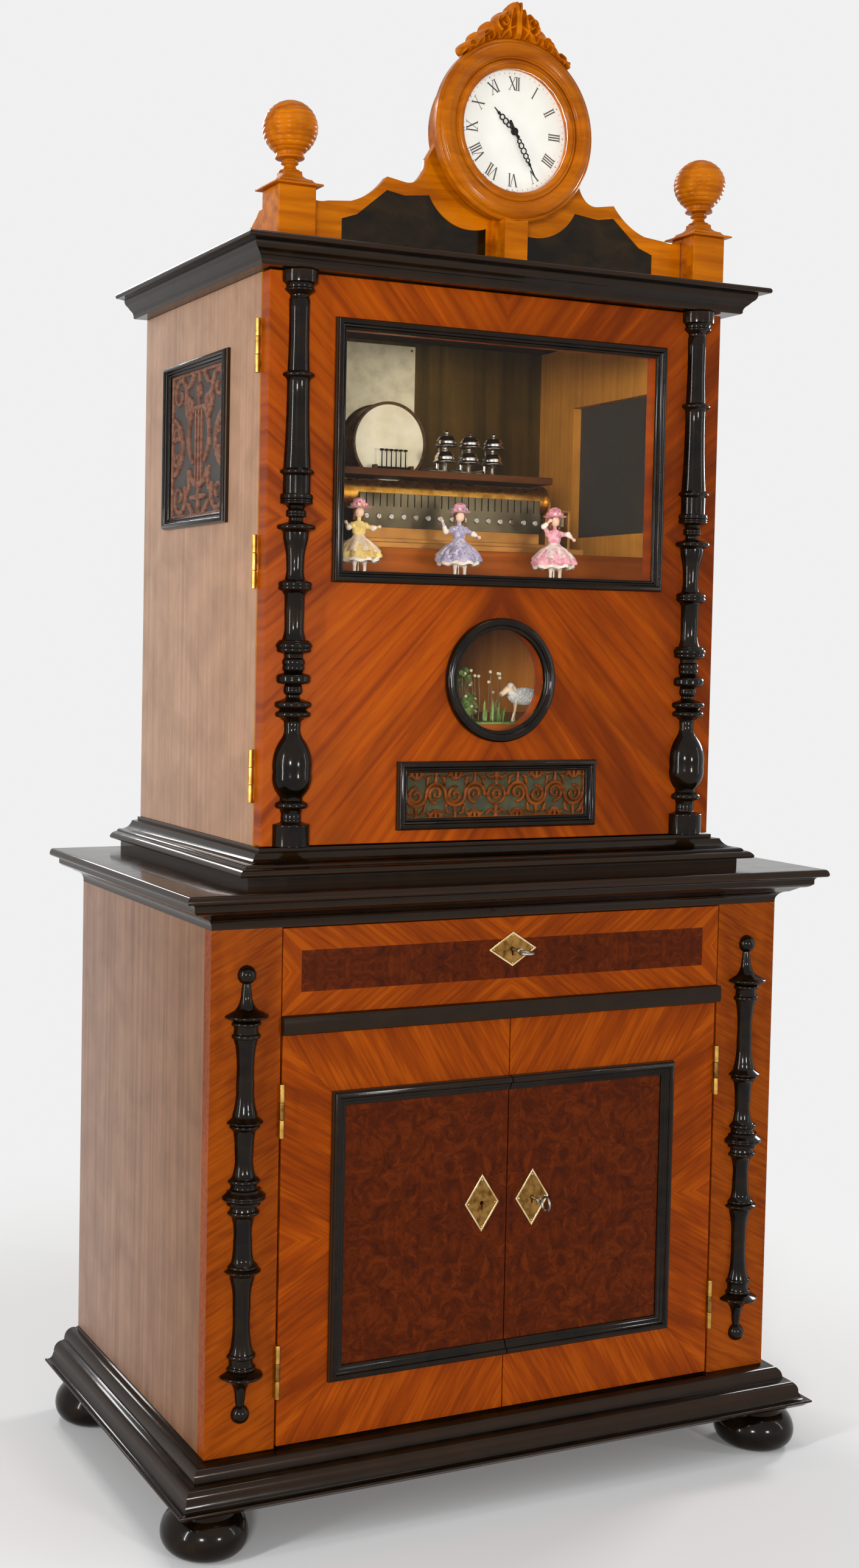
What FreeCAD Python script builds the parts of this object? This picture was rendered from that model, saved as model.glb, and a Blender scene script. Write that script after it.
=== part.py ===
import FreeCAD, Part
import math
import os

import Sketcher

# A floor-standing musical cabinet with a cylinder movement behind glass.
# The lower case holds a drawer over a cupboard with two doors. The upper case is
# closed by one glazed door with turned half columns. It shows three dancing dolls,
# a cylinder and comb, a drum and six bells, and carries a clock on its cornice.
#
# Millimetres. +X is the viewer's right, the front faces -Y and +Z is up.
# The origin is on the floor, under the middle of the whole cabinet.

Vector = FreeCAD.Vector
Placement = FreeCAD.Placement
Rotation = FreeCAD.Rotation

doc = FreeCAD.newDocument("MusicBox")
sheet = doc.addObject("Spreadsheet::Sheet", "Sizes")


class Size:
    """A length in millimetres and the sheet formula that gives it."""

    def __init__(self, value, formula):
        self.value = float(value)
        self.formula = formula

    def __add__(self, other):
        other = as_size(other)
        return Size(self.value + other.value, f"({self.formula} + {other.formula})")

    def __sub__(self, other):
        other = as_size(other)
        return Size(self.value - other.value, f"({self.formula} - {other.formula})")

    def __mul__(self, number):
        return Size(self.value * number, f"({self.formula} * {number})")

    def __truediv__(self, number):
        return Size(self.value / number, f"({self.formula} / {number})")

    def __neg__(self):
        return Size(-self.value, f"(0 - {self.formula})")

    def leg(self, other):
        """The other short side of a right triangle with this long side."""
        value = math.sqrt(self.value**2 - other.value**2)
        return Size(value, f"sqrt({self.formula}^2 - {other.formula}^2)")

    def __radd__(self, other):
        return as_size(other) + self

    def __rsub__(self, other):
        return as_size(other) - self

    __rmul__ = __mul__


def as_size(thing):
    """Gives a plain number the same form as a size of the sheet."""
    if isinstance(thing, Size):
        return thing
    return Size(thing, f"({float(thing)})")


sheet_row = 0


def measure(alias, value, note):
    """Writes one driving size into the sheet and returns it."""
    global sheet_row
    sheet_row += 1
    sheet.set(f"A{sheet_row}", note)
    sheet.set(f"B{sheet_row}", str(value))
    sheet.setAlias(f"B{sheet_row}", alias)
    return Size(value, f"Sizes.{alias}")


# Driving sizes: lower case

case_width = measure("case_width", 800, "width of the lower case")
case_depth = measure("case_depth", 459, "depth of the lower case")
case_height = measure("case_height", 616.5, "height of the lower case front")
board = measure("board_thickness", 18, "thickness of the case boards")
back_board = measure("back_thickness", 8, "thickness of the back panels")
front_frame = measure("front_frame_thickness", 20, "thickness of stiles, doors and drawer front")
opening_width = measure("opening_width", 622, "width between the stiles")
foot_radius = measure("foot_radius", 52, "largest radius of a bun foot")
foot_height = measure("foot_height", 54, "height of a bun foot")
foot_from_side = measure("foot_from_side", 5, "foot axis inside the case side")
foot_forward = measure("foot_forward", -5, "front foot axis before the case front")
foot_from_back = measure("foot_from_back", 54, "back foot axis before the case back")
plinth_height = measure("plinth_height", 53, "height of the plinth moulding")
plinth_overhang = measure("plinth_overhang", 47, "reach of the plinth moulding")
waist_height = measure("waist_height", 46.5, "height of the waist moulding")
waist_overhang = measure("waist_overhang", 49, "reach of the waist moulding")
rail_height = measure("rail_height", 21, "height of the rail under the drawer")
drawer_height = measure("drawer_height", 104.5, "height of the drawer opening")
drawer_length = measure("drawer_length", 400, "length of the drawer box")
drawer_side = measure("drawer_side", 12, "thickness of the drawer sides")
drawer_floor = measure("drawer_floor", 6, "thickness of the drawer bottom")
seam = measure("seam", 1.5, "open seam round a door or drawer front")
running_gap = measure("running_gap", 0.3, "gap under a sliding or turning piece")
trim_reach = measure("trim_reach", 9, "reach of the applied strips and frames")
spindle_length = measure("spindle_length", 538, "length of a split spindle")
spindle_radius = measure("spindle_radius", 25.5, "largest radius of a split spindle")
door_frame_width = measure("door_frame_width", 486, "width of the frame over both doors")
door_frame_height = measure("door_frame_height", 349, "height of the frame over both doors")
door_frame_rise = measure("door_frame_rise", 70, "lower edge of that frame above the case bottom")
door_frame_strip = measure("door_frame_strip", 18, "width of its moulding")

# Driving sizes: hinges and keys

hinge_height = measure("hinge_height", 63.5, "height of a brass butt hinge")
hinge_gap = measure("hinge_gap", 3, "joint that holds the two leaves")
leaf_thickness = measure("leaf_thickness", 1.3, "thickness of a hinge leaf")
leaf_width = measure("leaf_width", 16, "width of a hinge leaf in the joint")
knuckle_radius = measure("knuckle_radius", 3.5, "radius of the hinge knuckle")
pin_radius = measure("pin_radius", 1.4, "radius of the hinge pin")
key_shank = measure("key_shank", 2.2, "radius of a key shank")
key_bow = measure("key_bow", 9, "radius of a key bow")
plate_thickness = measure("plate_thickness", 1.5, "thickness of a brass key plate")

# Driving sizes: upper case

upper_width = measure("upper_width", 642, "width of the upper case")
upper_depth = measure("upper_depth", 409, "depth of the upper case")
upper_setback = measure("upper_setback", 44, "upper front behind the lower front")
upper_height = measure("upper_height", 676.5, "height of the upper case")
upper_base_height = measure("upper_base_height", 41, "height of its base moulding")
upper_base_overhang = measure("upper_base_overhang", 44, "reach of its base moulding")
cornice_height = measure("cornice_height", 32, "height of the cornice")
cornice_overhang = measure("cornice_overhang", 45.5, "reach of the cornice")
door_thickness = measure("door_thickness", 22, "thickness of the glazed door")
window_width = measure("window_width", 446, "width of the window opening")
window_height = measure("window_height", 288, "height of the window opening")
window_rise = measure("window_rise", 327, "window sill above the upper case bottom")
frame_strip = measure("frame_strip", 14, "width of the black frame mouldings")
cover_lip = measure("cover_lip", 2, "how far a frame covers its opening")
glass_thickness = measure("glass_thickness", 3, "thickness of the panes")
round_radius = measure("round_radius", 65, "radius of the round opening")
round_rise = measure("round_rise", 200, "round opening above the upper case bottom")
bezel_radius = measure("bezel_radius", 77, "outer radius of the round frame")
grille_width = measure("grille_width", 260, "width of the grille opening")
grille_height = measure("grille_height", 60, "height of the grille opening")
grille_rise = measure("grille_rise", 58.5, "grille middle above the upper case bottom")
fret_thickness = measure("fret_thickness", 4, "thickness of the sawn frets")
cloth_thickness = measure("cloth_thickness", 1.2, "thickness of the cloth behind a fret")
column_offset = measure("column_offset", 283, "column axis from the middle")
column_radius = measure("column_radius", 22, "radius of the column rings")
fret_width = measure("fret_width", 186, "width of the side sound opening")
fret_height = measure("fret_height", 188, "height of the side sound opening")
fret_rise = measure("fret_rise", 494, "side opening middle above the upper case bottom")
fret_from_front = measure("fret_from_front", 219, "side opening middle behind the upper front")

# Driving sizes: movement

stage_rise = measure("stage_rise", 326, "movement board top above the upper case bottom")
shelf_rise = measure("shelf_rise", 144, "picture shelf top above the upper case bottom")
cylinder_radius = measure("cylinder_radius", 18, "radius of the pinned cylinder")
cylinder_length = measure("cylinder_length", 300, "length of the pinned cylinder")
cylinder_rise = measure("cylinder_rise", 110, "cylinder axis above the movement board")
cylinder_back = measure("cylinder_back", 158, "cylinder axis behind the upper front")
arbor_radius = measure("arbor_radius", 4, "radius of the cylinder arbor")
comb_length = measure("comb_length", 270, "length of the steel comb")
comb_thickness = measure("comb_thickness", 2.5, "thickness of the steel comb")
rail_front = measure("rail_front", 125, "front movement rail behind the upper front")
rail_rise = measure("rail_rise", 40, "height of the movement rails")
plate_height = measure("plate_height", 7, "thickness of the cast bedplate")
percussion_rise = measure("percussion_rise", 133, "percussion shelf above the movement board")
percussion_board = measure("percussion_board", 9, "thickness of the percussion shelf")
drum_radius = measure("drum_radius", 54.5, "radius of the drum")
drum_depth = measure("drum_depth", 44, "depth of the drum")
drum_rise = measure("drum_rise", 39, "drum axis above the percussion shelf")
bell_radius = measure("bell_radius", 15, "radius of a bell")
bell_pitch = measure("bell_pitch", 36, "spacing of the bells")
doll_height = measure("doll_height", 98, "height of a doll")
doll_skirt = measure("doll_skirt", 31, "radius of a doll's skirt hem")
doll_pitch = measure("doll_pitch", 143, "spacing of the dolls")
doll_shift = measure("doll_shift", -14.5, "middle doll beside the cabinet's middle")
doll_back = measure("doll_back", 84, "doll axes behind the upper front")

# Driving sizes: clock and gallery

clock_rise = measure("clock_rise", 162, "clock centre above the cornice")
clock_front = measure("clock_front", 16, "clock front before the upper front")
clock_radius = measure("clock_radius", 110, "outer radius of the clock ring")
clock_drum = measure("clock_drum", 96, "radius of the clock case")
clock_depth = measure("clock_depth", 58, "depth of the clock case")
dial_radius = measure("dial_radius", 74, "radius of the visible dial")
post_width = measure("post_width", 48, "width of a gallery post")
post_height = measure("post_height", 64, "height of a gallery post")
post_offset = measure("post_offset", 290, "post axis from the middle")
finial_radius = measure("finial_radius", 32, "radius of a ball finial")
pediment_back = measure("pediment_back", 16, "pediment board behind the upper front")
pediment_board = measure("pediment_board", 12, "thickness of the pediment board")
crest_height = measure("crest_height", 157, "crest top above the clock centre")
crest_thickness = measure("crest_thickness", 22, "thickness of the carved crest")

# Levels and planes that follow from them

front = (waist_overhang - case_depth) / 2
back = front + case_depth
case_bottom = foot_height + plinth_height
case_top = case_bottom + case_height
waist_top = case_top + waist_height
upper_bottom = waist_top + upper_base_height
upper_top = upper_bottom + upper_height
cornice_top = upper_top + cornice_height
upper_front = front + upper_setback
upper_back = upper_front + upper_depth
case_half = case_width / 2
upper_half = upper_width / 2
opening_half = opening_width / 2
door_back = upper_front + door_thickness
side_front = door_back + hinge_gap
door_low = upper_bottom + seam
door_high = upper_top - seam
shelf_top = upper_bottom + shelf_rise
stage = upper_bottom + stage_rise
drawer_bottom = case_top - drawer_height
cylinder_y = upper_front + cylinder_back
cylinder_z = stage + cylinder_rise
percussion_low = stage + percussion_rise
percussion_top = percussion_low + percussion_board
clock_z = cornice_top + clock_rise
clock_y = upper_front - clock_front
window_low = upper_bottom + window_rise
round_z = upper_bottom + round_rise
grille_z = upper_bottom + grille_rise
fret_z = upper_bottom + fret_rise
fret_y = upper_front + fret_from_front

nodes = []


def bind(thing, prop, size):
    """Ties a property to the sheet."""
    thing.setExpression(prop, as_size(size).formula)


def part(label, *pieces):
    """Names a finished sub-part, grouping its solids where it has several."""
    thing = pieces[0]
    if len(pieces) > 1:
        thing = doc.addObject("Part::Compound", label + "_group")
        thing.Links = list(pieces)
    thing.Label = label
    nodes.append(thing)
    return thing


def box(name, x, y, z):
    """A board between two corners: x, y and z are (low, high) pairs."""
    solid = doc.addObject("Part::Box", name)
    for prop, (low, high) in zip(("Length", "Width", "Height"), (x, y, z)):
        bind(solid, prop, as_size(high) - low)
    for axis, (low, high) in zip("xyz", (x, y, z)):
        bind(solid, "Placement.Base." + axis, low)
    return solid


TURNS = {
    "x": Rotation(Vector(0, 1, 0), 90),
    "y": Rotation(Vector(1, 0, 0), -90),
    "z": Rotation(),
}


# A bar or pin that another piece turns on is truly round, without flat sides
ROUND = 0


def bar(name, axis, radius, start, end, across, sides=12):
    """A round bar, or one with flat sides, along one axis; across gives its place on the others."""
    if sides == ROUND:
        solid = doc.addObject("Part::Cylinder", name)
        bind(solid, "Radius", radius)
    else:
        solid = doc.addObject("Part::Prism", name)
        solid.Polygon = sides
        bind(solid, "Circumradius", radius)
    solid.Placement = Placement(Vector(), TURNS[axis])
    bind(solid, "Height", as_size(end) - start)
    bind(solid, "Placement.Base." + axis, start)
    for other, size in zip("xyz".replace(axis, ""), across):
        bind(solid, "Placement.Base." + other, size)
    return solid


def bore(name, axis, radius, start, end, across, sides=12):
    """A hole for a round bar of that radius, with its running clearance."""
    clear = (radius + running_gap) * round(1 / math.cos(math.pi / sides), 4)
    return bar(name, axis, clear, start, end, across, sides)


def cut(name, base, *tools):
    """Takes each tool out of the base."""
    for number, tool in enumerate(tools):
        step = doc.addObject("Part::Cut", f"{name}_{number}")
        step.Base = base
        step.Tool = tool
        base = step
    return base


def fuse(name, *pieces):
    """Joins pieces into one solid."""
    solid = doc.addObject("Part::MultiFuse", name)
    solid.Shapes = list(pieces)
    solid.Refine = True
    return solid


def new_sketch(body, role, name, offset=0):
    """A sketch on one of the body's own origin planes, moved along its normal."""
    plane = [item for item in body.Origin.OriginFeatures if item.Role == role][0]
    sketch = body.newObject("Sketcher::SketchObject", name)
    sketch.AttachmentSupport = [(plane, "")]
    sketch.MapMode = "FlatFace"
    bind(sketch, "AttachmentOffset.Base.z", offset)
    return sketch


def hold(sketch, geometry, position, u, v):
    """Fixes one point of the sketch by two distances from its origin."""
    for kind, size in (("DistanceX", u), ("DistanceY", v)):
        rule = Sketcher.Constraint(kind, -1, 1, geometry, position, size.value)
        number = sketch.addConstraint(rule)
        if "Sizes" in size.formula:
            sketch.setExpression(f"Constraints[{number}]", size.formula)


def draw(sketch, corners, bows=None):
    """Draws a closed outline.

    bows gives, for the side that leaves a corner, its rise over its chord: plus
    bulges to the right of the way round, minus to the left, and half is a
    semicircle.
    """
    bows = bows or {}
    corners = [(as_size(u), as_size(v)) for u, v in corners]
    count = len(corners)
    first = sketch.GeometryCount
    arcs = []
    for number in range(count):
        u1, v1 = corners[number]
        u2, v2 = corners[(number + 1) % count]
        start = Vector(u1.value, v1.value, 0)
        end = Vector(u2.value, v2.value, 0)
        if number in bows:
            bow = bows[number]
            middle_u = (u1 + u2) / 2 + (v2 - v1) * bow
            middle_v = (v1 + v2) / 2 - (u2 - u1) * bow
            middle = Vector(middle_u.value, middle_v.value, 0)
            sketch.addGeometry(Part.Arc(start, middle, end))
            arcs.append((first + number, middle_u, middle_v, start))
        else:
            sketch.addGeometry(Part.LineSegment(start, end))
    ends = {}
    for number in range(count):
        u1, v1 = corners[number]
        gap = sketch.getPoint(first + number, 1) - Vector(u1.value, v1.value, 0)
        near = gap.Length < 1e-4
        ends[number] = (1, 2) if near else (2, 1)
    for number in range(count):
        following = (number + 1) % count
        joint = Sketcher.Constraint(
            "Coincident", first + number, ends[number][1], first + following, ends[following][0]
        )
        sketch.addConstraint(joint)
    for number, (u, v) in enumerate(corners):
        hold(sketch, first + number, ends[number][0], u, v)
    for geometry, middle_u, middle_v, start in arcs:
        point = sketch.addGeometry(Part.Point(Vector(middle_u.value, middle_v.value, 0)), True)
        sketch.addConstraint(Sketcher.Constraint("PointOnObject", point, 1, geometry))
        hold(sketch, point, 1, middle_u, middle_v)


def new_body(name):
    """An empty body."""
    return doc.addObject("PartDesign::Body", name)


def plate(name, face, low, high, *outlines):
    """A flat piece cut to one outline, with any further outlines as holes.

    face is front, side or top: the outline is then drawn in X and Z, in Y and Z
    or in X and Y, and the piece lies between low and high on the third axis.
    """
    body = new_body(name)
    roles = {"front": "XZ_Plane", "side": "YZ_Plane", "top": "XY_Plane"}
    offset = -as_size(high) if face == "front" else low
    sketch = new_sketch(body, roles[face], name + "_sketch", offset)
    for outline in outlines:
        corners, bows = outline if isinstance(outline, tuple) else (outline, None)
        draw(sketch, corners, bows)
    pad = body.newObject("PartDesign::Pad", name + "_pad")
    pad.Profile = sketch
    bind(pad, "Length", as_size(high) - low)
    return body


def bevel(body, width, chosen):
    """Bevels the edges that a test picks from the body's last feature."""
    doc.recompute()
    feature = body.Tip
    edges = [
        f"Edge{number + 1}"
        for number, edge in enumerate(feature.Shape.Edges)
        if chosen(edge)
    ]
    chamfer = body.newObject("PartDesign::Chamfer", body.Name + "_bevel")
    chamfer.Base = (feature, edges)
    bind(chamfer, "Size", width)
    return body


def lies_at(axis, level):
    """A test for edges that lie wholly at one level."""

    def test(edge):
        limits = edge.BoundBox
        low = getattr(limits, axis + "Min")
        high = getattr(limits, axis + "Max")
        return abs(low - level.value) < 0.01 and abs(high - level.value) < 0.01

    return test


def rectangle(u, v):
    """The four corners between two (low, high) pairs."""
    return [(u[0], v[0]), (u[1], v[0]), (u[1], v[1]), (u[0], v[1])]


def eased(corners, bows):
    """Puts two more points on each bowed side of an outline."""
    eased_corners = []
    for number, (u1, v1) in enumerate(corners):
        eased_corners.append((u1, v1))
        if number in bows:
            u2, v2 = corners[(number + 1) % len(corners)]
            for share in (1 / 3, 2 / 3):
                rise = bows[number] * 4 * share * (1 - share)
                u = u1 + (u2 - u1) * share + (v2 - v1) * rise
                v = v1 + (v2 - v1) * share - (u2 - u1) * rise
                eased_corners.append((u, v))
    return eased_corners


def stave_solid(axis, outline, sides, half):
    """Closes an outline round an axis with flat staves, as many as sides."""
    count = sides // 2 if half else sides
    rings = []
    for radius, height in outline:
        ring = []
        for number in range(count + 1):
            angle = math.pi * half + 2 * math.pi * number / sides
            u = radius * math.cos(angle)
            v = radius * math.sin(angle)
            spots = {"x": (height, u, v), "y": (u, height, v), "z": (u, v, height)}
            ring.append(Vector(*spots[axis]))
        if not half:
            ring[-1] = ring[0]
        rings.append(ring)
    faces = []
    for number, ring in enumerate(rings):
        following = rings[(number + 1) % len(rings)]
        for stave in range(count):
            loop = [ring[stave], ring[stave + 1], following[stave + 1], following[stave]]
            loop = [spot for at, spot in enumerate(loop) if (spot - loop[at - 1]).Length > 1e-6]
            if len(loop) > 2:
                faces.append(Part.Face(Part.makePolygon(loop + loop[:1])))
    if half:
        solid_rings = [ring for ring in rings if (ring[0] - ring[-1]).Length > 1e-6]
        loop = [ring[0] for ring in solid_rings] + [ring[-1] for ring in reversed(solid_rings)]
        faces.append(Part.Face(Part.makePolygon(loop + loop[:1])))
    hull = Part.makeCompound(faces)
    hull.sewShape(1e-5)
    solid = Part.Solid(hull.Shells[0])
    if solid.Volume < 0:
        solid.reverse()
    return solid.removeSplitter()


# How many flat staves stand for a full turn
BROAD = 24
PLAIN = 14
SMALL = 12
TINY = 8


def turned(name, axis, place, corners, bows=None, half=False, sides=PLAIN):
    """A lathe-turned piece.

    corners are (radius, height) pairs along the axis z or y, or (length, radius)
    pairs along x. place moves the axis. half keeps only the front half.
    """
    pairs = [(as_size(u).value, as_size(v).value) for u, v in corners]
    pairs = eased(pairs, bows or {})
    if axis == "x":
        pairs = [(radius, length) for length, radius in pairs]
    thing = doc.addObject("Part::Feature", name)
    thing.Shape = stave_solid(axis, pairs, sides, half)
    for letter, size in zip("xyz", place):
        bind(thing, "Placement.Base." + letter, size)
    return thing


def round_outline(u, v, radius):
    """A circle as two arcs, for a hole or a disc."""
    return ([(u - radius, v), (as_size(u) + radius, v)], {0: 0.5, 1: 0.5})


def small_round_outline(u, v, radius, sides=TINY):
    """A small round hole drawn with flat sides."""
    corners = []
    for number in range(sides):
        angle = 2 * math.pi * number / sides
        corners.append((u + radius * round(math.cos(angle), 4), v + radius * round(math.sin(angle), 4)))
    return corners


def run_moulding(name, half_width, front_plane, back_plane, base, corners, bows):
    """A moulding mitred round the front and both sides of a case.

    corners are (reach, rise) pairs: reach is out from the case, and rise is up
    from the moulding's base.
    """
    body = new_body(name)
    section = new_sketch(body, "XZ_Plane", name + "_section", -as_size(back_plane))
    mirrored_bows = {side: -bow for side, bow in bows.items()}
    draw(section, [(-half_width - reach, base + rise) for reach, rise in corners], mirrored_bows)
    spine = new_sketch(body, "XY_Plane", name + "_spine")
    stops = [
        (-half_width, back_plane),
        (-half_width, front_plane),
        (half_width, front_plane),
        (half_width, back_plane),
    ]
    for number in range(3):
        ends = [Vector(u.value, v.value, 0) for u, v in stops[number : number + 2]]
        spine.addGeometry(Part.LineSegment(*ends))
    for number in range(2):
        spine.addConstraint(Sketcher.Constraint("Coincident", number, 2, number + 1, 1))
    for number in range(3):
        hold(spine, number, 1, *stops[number])
    hold(spine, 2, 2, *stops[3])
    pipe = body.newObject("PartDesign::AdditivePipe", name + "_sweep")
    pipe.Profile = section
    pipe.Spine = (spine, ["Edge1", "Edge2", "Edge3"])
    pipe.Transition = "Right corner"
    return body


def free_shape(name, shape, base=Vector(), turn=Rotation()):
    """Holds a shape that is worked out from the sheet's sizes."""
    thing = doc.addObject("Part::Feature", name)
    thing.Shape = shape
    thing.Placement = Placement(base, turn)
    return thing


def point(x, y, z):
    """A point from three sizes."""
    return Vector(as_size(x).value, as_size(y).value, as_size(z).value)


# Feet and plinth


def build_feet():
    """Four turned bun feet, low and full, with a short neck."""
    contact = foot_radius - 22
    neck = foot_radius - 14.5
    corners = [
        (0, 0),
        (contact, 0),
        (foot_radius, 22),
        (neck, foot_height - 6),
        (neck, foot_height),
        (0, foot_height),
    ]
    feet = []
    for side, sign in (("left", -1), ("right", 1)):
        for end, y in (("front", front - foot_forward), ("back", back - foot_from_back)):
            x = (case_half - foot_from_side) * sign
            name = f"foot_{end}_{side}"
            feet.append(turned(name, "z", (x, y, 0), corners, {1: 0.2071, 2: 0.13}))
    part("bun_feet", *feet)


def build_plinth():
    """The moulded rails that the case stands on."""
    inner = -(board + cover_lip)
    corners = [
        (inner, 0),
        (plinth_overhang - 20, 0),
        (plinth_overhang, plinth_height - 41),
        (plinth_overhang - 15, plinth_height - 31),
        (plinth_overhang - 26.5, plinth_height - 15),
        (0, plinth_height),
        (inner, plinth_height),
    ]
    moulding = run_moulding(
        "plinth_run", case_half, front, back, foot_height, corners, {1: 0.12, 2: -0.1, 4: 0.17}
    )
    inside = case_half - board - cover_lip
    rail = box(
        "plinth_back_rail", (-inside, inside), (back - board, back), (foot_height, case_bottom)
    )
    part("plinth", moulding, rail)


# Lower case


def build_lower_case():
    """Sides, shelves, back and front frame of the lower case."""
    inside = case_half - board
    frame_back = front + front_frame
    rise = (case_bottom, case_top)
    left = box("lower_left_board", (-case_half, -inside), (frame_back, back), rise)
    right = box("lower_right_board", (inside, case_half), (frame_back, back), rise)
    part("lower_sides", left, right)

    panel_front = back - back_board
    part("lower_back", box("lower_back_panel", (-inside, inside), (panel_front, back), rise))

    depth = (frame_back + running_gap, panel_front)
    floor = box("cupboard_floor", (-inside, inside), depth, (case_bottom, case_bottom + board))
    dust_low = drawer_bottom - drawer_side
    dust = box("dust_board", (-inside, inside), depth, (dust_low, drawer_bottom))
    guides = []
    reach = opening_half - 11
    for side, sign in (("left", -1), ("right", 1)):
        ends = sorted((reach * sign, inside * sign), key=lambda size: size.value)
        guides.append(
            box(f"drawer_guide_{side}", ends, depth, (drawer_bottom, drawer_bottom + 14))
        )
    part("lower_shelves", floor, dust, *guides)

    thick = (front, frame_back)
    stiles = [
        box("left_stile", (-case_half, -opening_half), thick, rise),
        box("right_stile", (opening_half, case_half), thick, rise),
    ]
    rail = box(
        "drawer_rail",
        (-opening_half, opening_half),
        thick,
        (drawer_bottom - rail_height, drawer_bottom),
    )
    part("face_frame", *stiles, rail)


def spindle_outline():
    """Half outline of a split spindle, from its middle upward, mirrored below."""
    big = spindle_radius
    half = spindle_length / 2
    upper = [
        (big, 5),
        (big - 6, 11),
        (big - 10, 14),
        (big - 5, 20),
        (big - 12, 25),
        (big - 15, half - 190),
        (big - 4, half - 182),
        (big - 13, half - 175),
        (big - 14, half - 86),
        (big - 7, half - 72),
        (big - 11, half - 66),
        (big, half - 60),
        (big, half - 55),
        (big - 14, half - 50),
        (5.5, half - 20),
        (5.5, half),
    ]
    corners = [(0, half)] + list(reversed(upper))
    corners += [(radius, -as_size(rise)) for radius, rise in upper] + [(0, -half)]
    neck = 2
    last = len(corners) - 3
    bows = {neck - 1: -0.5, last: -0.5}
    return corners, bows


def build_lower_trim():
    """The black strip under the drawer and the two split spindles."""
    strip = plate(
        "divider_strip",
        "front",
        front - trim_reach,
        front,
        rectangle((-opening_half, opening_half), (drawer_bottom - rail_height, drawer_bottom)),
    )
    bevel(strip, trim_reach * 0.55, lies_at("Y", front - trim_reach))
    corners, bows = spindle_outline()
    middle = case_bottom + case_height / 2 - 2
    stile_middle = (case_half + opening_half) / 2
    spindles = []
    for side, sign in (("left", -1), ("right", 1)):
        place = (stile_middle * sign, front, middle)
        spindles.append(turned(f"spindle_{side}", "z", place, corners, bows, half=True))
    part("lower_trim", strip, *spindles)


def build_waist():
    """The black moulding and top board of the lower case."""
    corners = [
        (-board, 0),
        (0, 0),
        (waist_overhang - 14, 26.5),
        (waist_overhang - 14, 31),
        (waist_overhang - 4, 35),
        (waist_overhang, 40),
        (waist_overhang - 6, waist_height),
        (-board, waist_height),
    ]
    moulding = run_moulding(
        "waist_run", case_half, front, back, case_top, corners, {1: -0.17, 5: 0.1}
    )
    inside = case_half - board
    top = box(
        "waist_board", (-inside, inside), (front + board, back), (waist_top - board, waist_top)
    )
    part("waist_moulding", moulding, top)


# Drawer


def keyed_board(name, x, y, z, keyhole_x, keyhole_z):
    """A board bored for a key, with a lock mortise behind its face."""
    whole = box(name + "_board", x, y, z)
    face = as_size(y[0])
    across = (keyhole_x, keyhole_z)
    hole = bore(name + "_keyhole", "y", key_shank, face - 1, face + 8, across, TINY)
    mortise = box(
        name + "_mortise",
        (as_size(keyhole_x) - key_bow, as_size(keyhole_x) + key_bow),
        (face + 6, face + 15),
        (as_size(keyhole_z) - key_bow, as_size(keyhole_z) + key_bow),
    )
    return cut(name, whole, hole, mortise)


def key_plate(name, width, height, centre_x, centre_z):
    """A diamond of sheet brass with a keyhole."""
    half_w = width / 2
    half_h = height / 2
    corners = [
        (centre_x - half_w, centre_z),
        (centre_x, centre_z - half_h),
        (centre_x + half_w, centre_z),
        (centre_x, centre_z + half_h),
    ]
    hole = small_round_outline(centre_x, centre_z, key_shank + 0.8)
    return plate(name, "front", front - plate_thickness, front, corners, hole)


def build_key(label, keyhole_x, keyhole_z, upright):
    """A key standing in its lock: bow, collar, shank and bit."""
    across = (keyhole_x, keyhole_z)
    shank = bar(label + "_shank", "y", key_shank, front - 24, front + 14, across, ROUND)
    collar = bar(label + "_collar", "y", key_shank + 1.4, front - 24, front - 21, across, TINY)
    half = as_size(1.4)
    bow_y = front - 24 - key_bow
    flat = "side" if upright else "top"
    middle = (bow_y, keyhole_z) if upright else (keyhole_x, bow_y)
    level = as_size(keyhole_x) if upright else as_size(keyhole_z)
    outer = small_round_outline(*middle, key_bow + 1.6, SMALL)
    inner = small_round_outline(*middle, key_bow - 2.4, TINY)
    bow = plate(label + "_bow", flat, level - half, level + half, outer, inner)
    bit = box(
        label + "_bit",
        (as_size(keyhole_x) - 1, as_size(keyhole_x) + 1),
        (front + 8, front + 13),
        (as_size(keyhole_z) - 7.5, as_size(keyhole_z)),
    )
    part(label, fuse(label + "_whole", shank, collar, bow, bit))


def build_drawer():
    """The drawer front, its box, key plate and key."""
    half = opening_half - seam
    key_z = drawer_bottom + drawer_height / 2 + 11
    low = drawer_bottom + running_gap
    high = case_top - seam
    thick = (front, front + front_frame)
    part("drawer_front", keyed_board("drawer_front", (-half, half), thick, (low, high), 0, key_z))

    outer = opening_half - 11 - running_gap
    inner = outer - drawer_side
    start = front + front_frame
    end = start + drawer_length
    rise = (low, high - 14)
    left = box("drawer_left", (-outer, -inner), (start, end), rise)
    right = box("drawer_right", (inner, outer), (start, end), rise)
    rear = box("drawer_rear", (-inner, inner), (end - drawer_side, end), rise)
    floor = box(
        "drawer_bottom", (-inner, inner), (start, end - drawer_side), (low, low + drawer_floor)
    )
    part("drawer_box", left, right, rear, floor)

    part("drawer_escutcheon", key_plate("drawer_plate", as_size(68), as_size(43), 0, key_z))
    build_key("drawer_key", 0, key_z, upright=False)


# Lower doors and their hinges


def round_shape(radius, low, high):
    """An upright round bar as a shape."""
    return Part.makeCylinder(radius, high - low, Vector(0, 0, low))


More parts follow.
